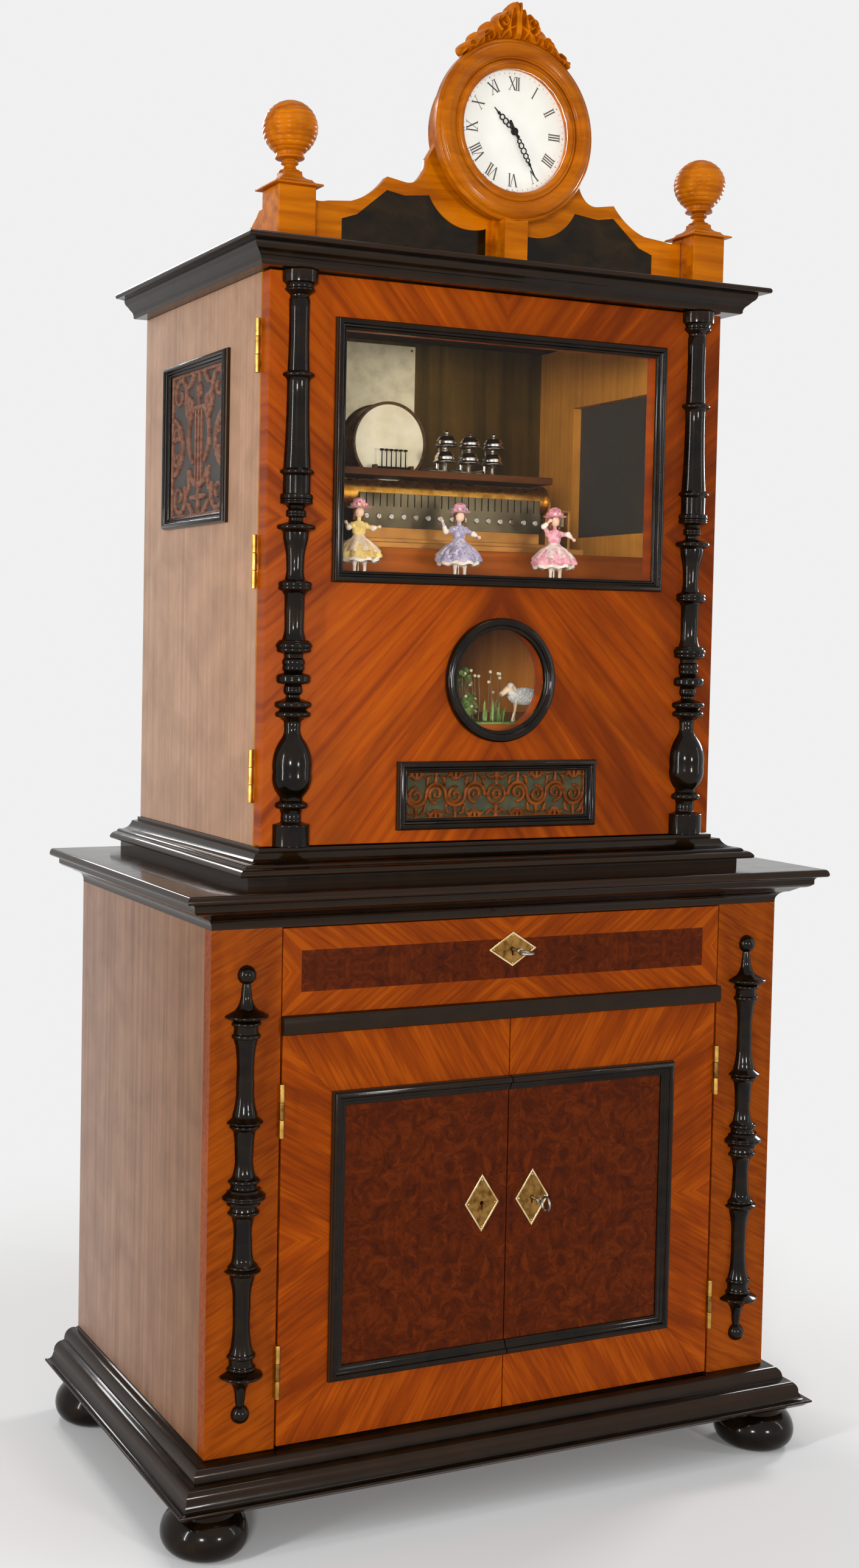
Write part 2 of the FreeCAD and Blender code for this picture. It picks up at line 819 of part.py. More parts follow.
def hinge_shapes():
    """Fixed and moving halves of a butt hinge, in its own frame.

    The pin stands on the local Z axis, both leaves run along +X, the fixed leaf
    lies on the -Y side of the joint and the moving leaf on the +Y side.
    """
    height = hinge_height.value
    radius = knuckle_radius.value
    half_gap = hinge_gap.value / 2
    thin = leaf_thickness.value
    clear = running_gap.value
    start = radius + 0.5
    reach = leaf_width.value
    outer = height / 2
    inner = height / 6

    def leaf(y_low):
        return Part.makeBox(reach - start, thin, height, Vector(start, y_low, -outer))

    def knuckle(y_low, low, high):
        tab = Part.makeBox(start, thin, high - low, Vector(0, y_low, low))
        return round_shape(radius, low, high).fuse(tab)

    fixed = leaf(-half_gap)
    fixed = fixed.fuse(knuckle(-half_gap, -outer, -inner))
    fixed = fixed.fuse(knuckle(-half_gap, inner, outer))
    fixed = fixed.fuse(round_shape(pin_radius.value, -inner, inner))
    moving = leaf(half_gap - thin)
    moving = moving.fuse(knuckle(half_gap - thin, clear - inner, inner - clear))
    moving = moving.cut(round_shape(pin_radius.value + clear, -outer, outer))
    return fixed.removeSplitter(), moving.removeSplitter()


FIXED_LEAF, MOVING_LEAF = hinge_shapes()

# How a hinge lies at each door: leaves run back at the lower doors and inward
# behind the glazed door.
TURN_LEFT = Rotation(Vector(0, 1, 0), Vector(1, 0, 0), Vector(0, 0, -1), "ZXY")
TURN_RIGHT = Rotation(Vector(0, 0, 1), 90)
TURN_UPPER = Rotation(Vector(1, 0, 0), 180)

lower_axis_x = opening_half - hinge_gap / 2
lower_axis_y = front - knuckle_radius - 0.2
upper_axis_x = -upper_half - knuckle_radius - 0.2
upper_axis_y = door_back + hinge_gap / 2
lower_hinge_levels = [case_bottom + 92.5, case_bottom + 401.5]
upper_hinge_levels = [upper_bottom + rise for rise in (83.5, 337, 590)]


def build_hinges():
    """Brass butt hinges: two on each lower door and three on the glazed door."""
    places = {
        "left_door": [(-lower_axis_x, lower_axis_y, z, TURN_LEFT) for z in lower_hinge_levels],
        "right_door": [(lower_axis_x, lower_axis_y, z, TURN_RIGHT) for z in lower_hinge_levels],
        "front_door": [(upper_axis_x, upper_axis_y, z, TURN_UPPER) for z in upper_hinge_levels],
    }
    fixed = []
    moving = {}
    for door, spots in places.items():
        moving[door] = []
        for number, (x, y, z, turn) in enumerate(spots):
            base = point(x, y, z)
            fixed.append(free_shape(f"{door}_fixed_leaf_{number}", FIXED_LEAF, base, turn))
            name = f"{door}_moving_leaf_{number}"
            moving[door].append(free_shape(name, MOVING_LEAF, base, turn))
    part("fixed_hinge_leaves", *fixed)
    part("front_door_hinges", *moving["front_door"])
    return moving


def build_lower_doors(leaves):
    """Two flush cupboard doors with a black frame across the pair."""
    low = case_bottom + 2
    high = drawer_bottom - rail_height - 2
    thick = (front, front + front_frame)
    outer = opening_half - hinge_gap
    middle = seam / 2
    frame_out = door_frame_width / 2
    frame_in = frame_out - door_frame_strip
    frame_low = case_bottom + door_frame_rise
    frame_high = frame_low + door_frame_height
    key_z = case_bottom + 263
    key_x = as_size(36)
    for side, sign in (("left", -1), ("right", 1)):
        ends = sorted((outer * sign, middle * sign), key=lambda size: size.value)
        panel = keyed_board(side + "_door", ends, thick, (low, high), key_x * sign, key_z)
        part(side + "_door_panel", panel)

        corners = [
            (frame_out * sign, frame_low),
            (middle * sign, frame_low),
            (middle * sign, frame_low + door_frame_strip),
            (frame_in * sign, frame_low + door_frame_strip),
            (frame_in * sign, frame_high - door_frame_strip),
            (middle * sign, frame_high - door_frame_strip),
            (middle * sign, frame_high),
            (frame_out * sign, frame_high),
        ]
        frame = plate(side + "_door_frame", "front", front - trim_reach, front, corners)
        face = front - trim_reach
        bevel(frame, trim_reach * 0.4, long_face_edges(face, middle * sign))
        part(side + "_door_moulding", frame)

        brass = key_plate(
            side + "_door_plate", as_size(48), as_size(72), key_x * sign, key_z
        )
        part(side + "_door_brass", brass, *leaves[side + "_door"])
    build_key("door_key", key_x, key_z, upright=True)


def long_face_edges(face, meeting):
    """A test for the front edges of a frame, apart from its cut ends."""
    at_face = lies_at("Y", face)

    def test(edge):
        at_end = abs(edge.BoundBox.XMax - meeting.value) < 0.01
        at_end = at_end and abs(edge.BoundBox.XMin - meeting.value) < 0.01
        return at_face(edge) and not at_end

    return test


# Upper case


def build_upper_case():
    """Base moulding, sides, back, shelves and cornice of the upper case."""
    reach = upper_base_overhang
    corners = [
        (-board, 0),
        (reach - 16, 0),
        (reach - 16, 11),
        (reach - 4, 12.5),
        (reach, 15.5),
        (reach - 6, 21),
        (reach - 10, 22),
        (reach - 16, 25),
        (12, upper_base_height - 5),
        (4, upper_base_height - 4),
        (4, upper_base_height),
        (-board, upper_base_height),
    ]
    moulding = run_moulding(
        "upper_base_run",
        upper_half,
        upper_front,
        upper_back,
        waist_top,
        corners,
        {4: 0.12, 7: -0.17},
    )
    part("upper_base_moulding", moulding)

    inside = upper_half - board
    rise = (upper_bottom, upper_top)
    hole_y = (fret_y - fret_width / 2, fret_y + fret_width / 2)
    hole_z = (fret_z - fret_height / 2, fret_z + fret_height / 2)
    sides = []
    for side, sign in (("left", -1), ("right", 1)):
        ends = sorted((inside * sign, upper_half * sign), key=lambda size: size.value)
        whole = box(f"upper_{side}_board", ends, (side_front, upper_back), rise)
        hole = box(f"upper_{side}_opening", (ends[0] - 1, ends[1] + 1), hole_y, hole_z)
        sides.append(cut(f"upper_{side}_side", whole, hole))
    part("upper_sides", *sides)

    panel_front = upper_back - back_board
    part("upper_back", box("upper_back_panel", (-inside, inside), (panel_front, upper_back), rise))

    depth = (side_front, panel_front)
    bottom = box(
        "upper_floor",
        (-inside, inside),
        (upper_front + board, upper_back),
        (upper_bottom - board, upper_bottom),
    )
    shelf = box("picture_shelf", (-inside, inside), depth, (shelf_top - 10, shelf_top))
    movement = box("movement_board", (-inside, inside), depth, (stage - board, stage))
    rails = []
    rail_y = upper_front + rail_front
    for name, y in (("front", rail_y), ("rear", rail_y + 120)):
        rails.append(
            box(f"{name}_movement_rail", (-inside, inside), (y, y + 16), (stage, stage + rail_rise))
        )
    part("upper_shelves", bottom, shelf, movement, *rails)

    reach = cornice_overhang
    corners = [
        (-board, 0),
        (reach - 27.5, 0),
        (reach - 25, 2),
        (reach - 17.5, 15),
        (reach - 12, 23),
        (reach - 4, 25),
        (reach, 28),
        (reach - 3.5, cornice_height),
        (-board, cornice_height),
    ]
    run = run_moulding(
        "cornice_run",
        upper_half,
        upper_front,
        upper_back,
        upper_top,
        corners,
        {2: -0.12, 3: 0.08},
    )
    top = box(
        "cornice_board",
        (-inside, inside),
        (upper_front + board, upper_back),
        (cornice_top - board, cornice_top),
    )
    part("cornice", run, top)


# Sawn frets


def flat_ribbon(centre, radius, width, start, sweep):
    """A curved strip of sawn wood: degrees run anticlockwise from the right."""
    count = max(2, round(sweep / 45))
    turns = [math.radians(start + sweep * number / count) for number in range(count + 1)]

    def along(distance, angles):
        return [
            Vector(centre[0] + distance * math.cos(turn), centre[1] + distance * math.sin(turn), 0)
            for turn in angles
        ]

    spots = along(radius + width / 2, turns) + along(radius - width / 2, reversed(turns))
    return Part.Face(Part.makePolygon(spots + spots[:1]))


def flat_bar(u, v):
    """A straight strip between two (low, high) pairs."""
    corners = [Vector(u[0], v[0], 0), Vector(u[1], v[0], 0), Vector(u[1], v[1], 0)]
    corners += [Vector(u[0], v[1], 0), Vector(u[0], v[0], 0)]
    return Part.Face(Part.makePolygon(corners))


def flat_disc(centre, radius):
    """A round boss."""
    spots = []
    for number in range(SMALL):
        turn = 2 * math.pi * number / SMALL
        spots.append(Vector(centre[0] + radius * math.cos(turn), centre[1] + radius * math.sin(turn), 0))
    return Part.Face(Part.makePolygon(spots + spots[:1]))


def flat_leaf(start, end, bow):
    """A pointed leaf between two points, its greatest half width over its length."""
    first = Vector(start[0], start[1], 0)
    along = Vector(end[0], end[1], 0) - first
    across = Vector(-along.y, along.x, 0) * bow
    spots = [first]
    spots += [first + along * share + across for share in (0.35, 0.7)]
    spots.append(first + along)
    spots += [first + along * share - across for share in (0.7, 0.35)]
    return Part.Face(Part.makePolygon(spots + spots[:1]))


def rim(width, height, strip):
    """The four strips round a fret."""
    half_w = width / 2
    half_h = height / 2
    return [
        flat_bar((-half_w, half_w), (-half_h, strip - half_h)),
        flat_bar((-half_w, half_w), (half_h - strip, half_h)),
        flat_bar((-half_w, strip - half_w), (-half_h, half_h)),
        flat_bar((half_w - strip, half_w), (-half_h, half_h)),
    ]


def saw(faces, thickness):
    """Joins flat strips into one pierced piece of that thickness."""
    solids = [face.extrude(Vector(0, 0, thickness)) for face in faces]
    whole = solids[0].multiFuse(solids[1:]).removeSplitter()
    if len(whole.Solids) != 1:
        raise SystemExit(f"a pierced piece fell into {len(whole.Solids)}")
    return whole.Solids[0]


def both_sides(sign_to_faces):
    """Draws the same strips for the left and the right half."""
    return [face for sign in (-1, 1) for face in sign_to_faces(sign)]


def lyre_fret():
    """A lyre among scrolls, for the side openings."""
    width = fret_width.value - 1
    height = fret_height.value - 1
    half_w = width / 2
    half_h = height / 2
    faces = rim(width, height, 5)
    faces.append(flat_ribbon((0, -22), 33, 8, 200, 140))
    faces.append(flat_bar((-26, 26), (42, 48)))
    faces += [flat_bar((u - 1.2, u + 1.2), (-52, 44)) for u in (-10, 0, 10)]
    faces.append(flat_bar((-24, 24), (-72, -64)))
    faces.append(flat_bar((-4, 4), (-half_h + 2, -54)))
    faces.append(flat_disc((0, 64), 9))
    faces.append(flat_bar((-2.5, 2.5), (46, half_h - 2)))

    def one_side(sign):
        def arc(centre, radius, strip, start, sweep):
            if sign > 0:
                return flat_ribbon(centre, radius, strip, start, sweep)
            return flat_ribbon((-centre[0], centre[1]), radius, strip, 180 - start - sweep, sweep)

        corner_u = half_w - 28
        corner_v = half_h - 28
        return [
            arc((-7, 10), 42, 8, -55, 110),
            arc((30, 50), 11, 6, -60, 250),
            arc((half_w - 2, 0), 38, 6, 89, 182),
            arc((corner_u, corner_v), 23, 6, -20, 300),
            arc((corner_u, -corner_v), 23, 6, 80, 300),
            flat_leaf((sign * (corner_u - 23), corner_v - 2), (sign * (corner_u + 14), corner_v), 0.2),
            flat_leaf((sign * (corner_u - 23), 2 - corner_v), (sign * (corner_u + 14), -corner_v), 0.2),
        ]

    faces += both_sides(one_side)
    return saw(faces, fret_thickness.value)


def scroll_fret():
    """A running scroll with leaves, for the grille."""
    width = grille_width.value - 1
    height = grille_height.value - 1
    half_w = width / 2
    faces = rim(width, height, 4)
    count = 6
    pitch = (width - 8) / count
    for number in range(count):
        u = -half_w + 4 + pitch * (number + 0.5)
        up = number % 2 == 0
        start = 0 if up else 180
        lift = 1 if up else -1
        faces.append(flat_ribbon((u, 0), pitch / 2, 5, start, 180))
        faces.append(flat_ribbon((u, lift * 4), pitch / 4.4, 4, start + 120, 240))
        reach = height / 2 - 2
        faces.append(flat_leaf((u, -lift * reach), (u, lift * (pitch / 4.4 - 4)), 0.2))
        faces.append(flat_bar((u - 2, u + 2), sorted((lift * (pitch / 2 - 1), lift * reach))))
    return saw(faces, fret_thickness.value)


SIDE_FACE = Rotation(Vector(0, 1, 0), Vector(0, 0, 1), Vector(1, 0, 0), "ZXY")
FRONT_FACE = Rotation(Vector(1, 0, 0), Vector(0, 0, 1), Vector(0, -1, 0), "ZXY")


def build_side_frets():
    """Black frames, sawn lyres and cloth in the two side openings."""
    lyre = lyre_fret()
    frames = []
    frets = []
    cloths = []
    inner_y = (fret_y - fret_width / 2 + cover_lip, fret_y + fret_width / 2 - cover_lip)
    inner_z = (fret_z - fret_height / 2 + cover_lip, fret_z + fret_height / 2 - cover_lip)
    outer_y = (inner_y[0] - frame_strip, inner_y[1] + frame_strip)
    outer_z = (inner_z[0] - frame_strip, inner_z[1] + frame_strip)
    cloth_y = (fret_y - fret_width / 2, fret_y + fret_width / 2)
    cloth_z = (fret_z - fret_height / 2, fret_z + fret_height / 2)
    for side, sign in (("left", -1), ("right", 1)):
        face = upper_half * sign
        proud = (upper_half + trim_reach) * sign
        ends = sorted((face, proud), key=lambda size: size.value)
        frame = plate(
            f"side_frame_{side}", "side", *ends, rectangle(outer_y, outer_z), rectangle(inner_y, inner_z)
        )
        frames.append(bevel(frame, trim_reach * 0.4, lies_at("X", proud)))
        fret_x = -upper_half if sign < 0 else upper_half - fret_thickness
        frets.append(
            free_shape(f"lyre_fret_{side}", lyre, point(fret_x, fret_y, fret_z), SIDE_FACE)
        )
        behind = (upper_half - fret_thickness) * sign
        deeper = (upper_half - fret_thickness - cloth_thickness) * sign
        ends = sorted((behind, deeper), key=lambda size: size.value)
        cloths.append(box(f"side_cloth_{side}", ends, cloth_y, cloth_z))
    part("side_fret_frames", *frames)
    part("side_frets", *frets)
    part("side_fret_cloths", *cloths)


# Glazed door


def column_outline():
    """Outline of a half column, from its foot up."""
    ring = column_radius
    height = door_high - door_low
    steps = [
        (ring + 1, 0),
        (ring + 1, 27),
        (ring - 9, 34),
        (ring - 5, 44),
        (ring - 9, 54),
        (ring + 2, 88),
        (ring - 9, 132),
        (ring - 9, 148),
        (ring - 1, 161),
        (ring - 9, 172),
        (ring - 8, 188),
        (ring, 199),
        (ring - 8, 206),
        (ring - 8, 226),
        (ring, 237),
        (ring - 7, 246),
        (ring - 8, 298),
        (ring, 309),
        (ring - 8, 322),
        (ring - 8, 362),
        (ring - 0.5, 380),
        (ring - 10, 390),
        (ring - 10, 400),
        (ring - 1, 411),
        (ring - 4, 419),
        (ring - 2, 440),
        (ring - 5, 447),
        (ring - 7, height - 126),
        (ring - 4.5, height - 118),
        (ring - 8, height - 110),
        (ring - 8, height - 40),
        (ring - 10, height - 30),
        (ring, height - 18),
        (ring, height),
    ]
    corners = [(0, 0)] + steps + [(0, height)]
    bows = {5: 0.1, 6: 0.12, 16: -0.1, 19: -0.12}
    return corners, bows


def build_front_door():
    """The glazed door with its frames, panes, grille and half columns."""
    thick = (upper_front, door_back)
    window_u = (-window_width / 2, window_width / 2)
    window_v = (window_low, window_low + window_height)
    grille_u = (-grille_width / 2, grille_width / 2)
    grille_v = (grille_z - grille_height / 2, grille_z + grille_height / 2)
    whole = plate(
        "front_door",
        "front",
        *thick,
        rectangle((-upper_half, upper_half), (door_low, door_high)),
        rectangle(window_u, window_v),
        round_outline(as_size(0), round_z, round_radius),
        rectangle(grille_u, grille_v),
    )
    part("front_door_panel", whole)

    frames = []
    for name, (u_low, u_high), (v_low, v_high) in (
        ("window_frame", window_u, window_v),
        ("grille_frame", grille_u, grille_v),
    ):
        inner = rectangle(
            (u_low + cover_lip, u_high - cover_lip), (v_low + cover_lip, v_high - cover_lip)
        )
        outer = rectangle(
            (u_low + cover_lip - frame_strip, u_high - cover_lip + frame_strip),
            (v_low + cover_lip - frame_strip, v_high - cover_lip + frame_strip),
        )
        frame = plate(name, "front", upper_front - trim_reach, upper_front, outer, inner)
        frames.append(bevel(frame, trim_reach * 0.4, lies_at("Y", upper_front - trim_reach)))
    part("front_door_mouldings", *frames)

    pane = box(
        "window_pane",
        (window_u[0] + running_gap, window_u[1] - running_gap),
        (upper_front, upper_front + glass_thickness),
        (window_v[0] + running_gap, window_v[1] - running_gap),
    )
    disc = bar(
        "round_pane",
        "y",
        round_radius - running_gap,
        upper_front,
        upper_front + glass_thickness,
        (0, round_z),
        BROAD,
    )
    part("front_door_glass", pane, disc)

    inner = round_radius - cover_lip
    ring = [
        (inner, upper_front),
        (inner, upper_front - 4),
        (inner + 4, upper_front - 8),
        (bezel_radius - 5, upper_front - 9),
        (bezel_radius, upper_front - 4),
        (bezel_radius, upper_front),
    ]
    part("round_bezel", turned("round_frame", "y", (0, 0, round_z), ring, {2: -0.15}, sides=BROAD))

    fret_y_back = upper_front + fret_thickness
    fret = free_shape("scroll_fret", scroll_fret(), point(0, fret_y_back, grille_z), FRONT_FACE)
    part("grille_fret", fret)
    part(
        "grille_cloth",
        box("grille_cloth_sheet", grille_u, (fret_y_back, fret_y_back + cloth_thickness), grille_v),
    )

    corners, bows = column_outline()
    columns = []
    for side, sign in (("left", -1), ("right", 1)):
        place = (column_offset * sign, upper_front, door_low)
        columns.append(turned(f"column_{side}", "z", place, corners, bows, half=True))
    part("columns", *columns)


# Movement


def build_bedplate():
    """The cast bedplate with its bearing standards and governor frame."""
    low = stage + rail_rise
    high = low + plate_height
    deep = (upper_front + rail_front + 1, upper_front + rail_front + 135)
    inner = cylinder_length / 2 + 8
    bed = box("bed_casting", (-inner - 80, inner + 44), deep, (low, high))
    pieces = [bed]
    stands = (
        ("barrel_standard", -inner - 70),
        ("left_standard", -inner),
        ("right_standard", inner),
    )
    bores = []
    across = (cylinder_y, cylinder_z)
    for name, x in stands:
        half = as_size(4)
        foot = box(name, (x - half, x + half), (cylinder_y - 11, cylinder_y + 11), (high, cylinder_z))
        head = bar(name + "_head", "x", 11, x - half, x + half, across)
        bores.append(bore(name + "_bore", "x", arbor_radius, x - half - 1, x + half + 1, across))
        pieces += [foot, head]
    fan_x = inner + 24
    for name, rise in (("governor_foot", 0), ("governor_bridge", 50)):
        pieces.append(
            box(
                name,
                (fan_x - 14, fan_x + 14),
                (cylinder_y - 8, cylinder_y + 8),
                (high + rise, high + rise + 3),
            )
        )
    pieces.append(
        box(
            "governor_post",
            (fan_x + 10, fan_x + 14),
            (cylinder_y - 8, cylinder_y + 8),
            (high, high + 53),
        )
    )
    part("bedplate", cut("bedplate_bored", fuse("bedplate_whole", *pieces), *bores))
    return high, fan_x


def build_comb(bed_top):
    """The brass comb base and the steel comb with its sawn teeth."""
    comb_x = as_size(5)
    half = comb_length / 2
    comb_back = cylinder_y - cylinder_radius - 0.8
    comb_front = comb_back - comb_thickness
    base_top = cylinder_z - 20
    base = box(
        "comb_block", (comb_x - half, comb_x + half), (comb_back, comb_back + 12), (bed_top, base_top)
    )
    foot = box(
        "comb_foot",
        (comb_x - half - 4, comb_x + half + 4),
        (comb_front - 6, comb_back + 14),
        (bed_top, bed_top + 5),
    )
    part("comb_base", fuse("comb_base_whole", base, foot))

    tip = cylinder_z
    root = tip - 17
    foot_z = base_top - 24
    count = 27
    pitch = comb_length / count
    corners = [(comb_x - half, foot_z), (comb_x + half, foot_z)]
    slot = 1.6
    for number in range(count):
        right = comb_x + half - pitch * number
        left = right - pitch
        corners += [(right, root), (right - slot, root), (right - slot, tip), (left, tip)]
    corners.append((comb_x - half, root))
    part("comb", plate("comb_steel", "front", comb_front, comb_back, corners))


def build_cylinder():
    """The pinned brass cylinder on its arbor, with spring barrel and great wheel."""
    half = cylinder_length / 2
    bearing = half + 8
    barrel_in = bearing + 6
    barrel_out = bearing + 62
    corners = [
        (-bearing - 74, 0),
        (half + 13, 0),
        (half + 13, arbor_radius),
        (half + 3, arbor_radius),
        (half + 3, cylinder_radius + 3),
        (half, cylinder_radius + 3),
        (half, cylinder_radius),
        (-half, cylinder_radius),
        (-half, cylinder_radius + 2),
        (-half - 3, cylinder_radius + 2),
        (-half - 3, arbor_radius),
        (-barrel_in, arbor_radius),
        (-barrel_in, cylinder_radius + 4),
        (-barrel_out, cylinder_radius + 4),
        (-barrel_out, arbor_radius),
        (-bearing - 74, arbor_radius),
    ]
    place = (0, cylinder_y, cylinder_z)
    part("music_cylinder", turned("cylinder_turning", "x", place, corners, sides=PLAIN))


def build_governor(bed_top, fan_x):
    """The upright endless screw with its two-bladed air brake."""
    low = bed_top + 3 + running_gap
    high = bed_top + 50 - running_gap
    across = (fan_x, cylinder_y)
    spindle = bar("governor_spindle", "z", 1.6, low, high, across, ROUND)
    worm = bar("governor_worm", "z", 3.2, low + 8, low + 22, across, TINY)
    blade = box(
        "governor_blade",
        (fan_x - 8, fan_x + 8),
        (cylinder_y - 0.5, cylinder_y + 0.5),
        (high - 18, high - 4),
    )
    part("governor_fan", fuse("governor_whole", spindle, worm, blade))


drum_to_bells = 51.5
drum_x = as_size(-57)
drum_front = upper_front + 196
bells_x = drum_x + drum_radius + drum_to_bells
bell_rows = ((upper_front + 158, 14), (upper_front + 186, 38))


def build_percussion():
    """The shelf over the cylinder with its drum, bells and their beaters."""
    half = drum_radius.leg(drum_rise) + running_gap
    shelf_end = cylinder_length / 2 + 12
    shelf_y = (upper_front + 143, upper_front + 254)
    board_z = (percussion_low, percussion_top)
    shelf = box("percussion_board", (-(upper_half - board), shelf_end), shelf_y, board_z)
    slot = box(
        "drum_slot",
        (drum_x - half, drum_x + half),
        (drum_front - 1, drum_front + drum_depth + 1),
        (percussion_low - 1, percussion_top + 1),
    )
    prop = box(
        "shelf_prop",
        (shelf_end - 10, shelf_end),
        (shelf_y[1] - 14, shelf_y[1]),
        (stage + rail_rise + plate_height, percussion_low),
    )
    part("percussion_shelf", cut("percussion_slotted", shelf, slot), prop, *beater_brackets())

    drum_z = percussion_top + drum_rise
    hoop = drum_radius
    shell = drum_radius - 2.5
    drum_back = drum_front + drum_depth
    corners = [
        (0, drum_front + 2),
        (hoop - 4, drum_front + 2),
        (hoop - 4, drum_front),
        (hoop, drum_front),
        (hoop, drum_front + 7),
        (shell, drum_front + 7),
        (shell, drum_back - 7),
        (hoop, drum_back - 7),
        (hoop, drum_back),
        (hoop - 4, drum_back),
        (hoop - 4, drum_back - 2),
        (0, drum_back - 2),
    ]
    part("drum", turned("drum_turning", "y", (drum_x, 0, drum_z), corners, sides=BROAD))

    bells = []
    radius = bell_radius
    for row, (y, lift) in enumerate(bell_rows):
        for number in range(3):
            x = bells_x + bell_pitch * (number - 1) + 18 * row - 9
            corners = [
                (0, percussion_top),
                (5, percussion_top),
                (2, percussion_top + 3),
                (2, percussion_top + lift),
                (radius - 1.5, percussion_top + lift),
                (radius, percussion_top + lift),
                (radius - 5, percussion_top + lift + 12),
                (2.5, percussion_top + lift + 15),
                (2.5, percussion_top + lift + 21),
                (0, percussion_top + lift + 21),
            ]
            bells.append(
                turned(f"bell_{row}_{number}", "z", (x, y, 0), corners, {5: 0.14}, sides=TINY)
            )
    part("bells", *bells)
    build_beaters()


striker_y = upper_front + 212
striker_z = percussion_top + 8
striker_reach = bell_pitch + 12
stick_y = drum_front - 9
stick_z = percussion_top + 5
stick_reach = as_size(24)


def beater_brackets():
    """Four upright cheeks that hold the two arbors at their ends."""
    cheeks = []
    for name, x, reach, y, z in (
        ("striker", bells_x, striker_reach, striker_y, striker_z),
        ("stick", drum_x, stick_reach, stick_y, stick_z),
    ):
        for side, sign in (("left", -1), ("right", 1)):
            inner = x + (reach + running_gap) * sign
            outer = inner + 5 * sign
            ends = sorted((inner, outer), key=lambda size: size.value)
            cheeks.append(
                box(f"{name}_cheek_{side}", ends, (y - 4, y + 4), (percussion_top, z + 4))
            )
    return cheeks


def build_beaters():
    """Two rows of beaters, each on its own arbor: for the bells and for the drum."""
    across = (striker_y, striker_z)
    ends = (bells_x - striker_reach, bells_x + striker_reach)
    pieces = [bar("striker_arbor", "x", 2, *ends, across, ROUND)]
    for row, (bell_y, lift) in enumerate(bell_rows):
        for number in range(3):
            x = bells_x + bell_pitch * (number - 1) + 18 * row - 9
            top = percussion_top + lift + 2
            stem_y = bell_y + bell_radius + 5
            name = f"beater_{row}_{number}"
            across_x = (x - 1, x + 1)
            pieces.append(
                box(name + "_arm", across_x, (stem_y, striker_y), (striker_z - 1, striker_z + 1))
            )
            pieces.append(
                box(name + "_stem", across_x, (stem_y, stem_y + 2), (striker_z - 1, top))
            )
            pieces.append(
                bar(name + "_head", "y", 2.6, stem_y - 3, stem_y + 2, (x, top), TINY)
            )
    part("bell_strikers", fuse("striker_bank", *pieces))

    ends = (drum_x - stick_reach, drum_x + stick_reach)
    pieces = [bar("stick_arbor", "x", 2, *ends, (stick_y, stick_z), ROUND)]
    for number in range(6):
        x = drum_x + 7 * (number - 2.5)
        pieces.append(
            box(
                f"stick_{number}",
                (x - 0.9, x + 0.9),
                (stick_y - 0.9, stick_y + 0.9),
                (stick_z, stick_z + 24),
            )
        )
        head = (x, stick_z + 24)
        pieces.append(bar(f"stick_head_{number}", "y", 2, stick_y - 1, stick_y + 4, head, 6))
    part("drum_sticks", fuse("stick_bank", *pieces))


def build_dolls():
    """Three dancing dolls, each turning on its own spindle."""
    unit = doll_height / 98
    hem = doll_skirt
    waist = as_size(6)
    spindle_top = unit * 14
    corners = [
        (0, spindle_top),
        (hem - 2, spindle_top),
        (hem, unit * 18),
        (hem - 5, unit * 30),
        (hem - 15, unit * 41),
        (waist, unit * 49),
        (waist + 3, unit * 58),
        (waist + 1, unit * 67),
        (3, unit * 71),
        (7, unit * 76),
        (9, unit * 82),
        (7, unit * 88),
        (15, unit * 89),
        (8, unit * 92),
        (5, unit * 98),
        (0, unit * 98),
    ]
    y = upper_front + doll_back
    rise = stage + running_gap
    for number, side in enumerate(("left", "centre", "right")):
        x = doll_shift + doll_pitch * (number - 1)
        figure = turned(f"{side}_figure", "z", (x, y, rise), corners, sides=SMALL)
        spindle = bar(f"{side}_spindle", "z", 3, rise, rise + spindle_top + 2, (x, y), ROUND)
        arms = []
        for name, sign in (("left", -1), ("right", 1)):
            ends = sorted((x, x + (hem - 8) * sign), key=lambda size: size.value)
            arm = bar(f"{side}_{name}_arm", "x", 3, *ends, (y, rise + unit * 64), 6)
            arms.append(arm)
        part(f"{side}_doll", fuse(f"{side}_doll_whole", figure, spindle, *arms))


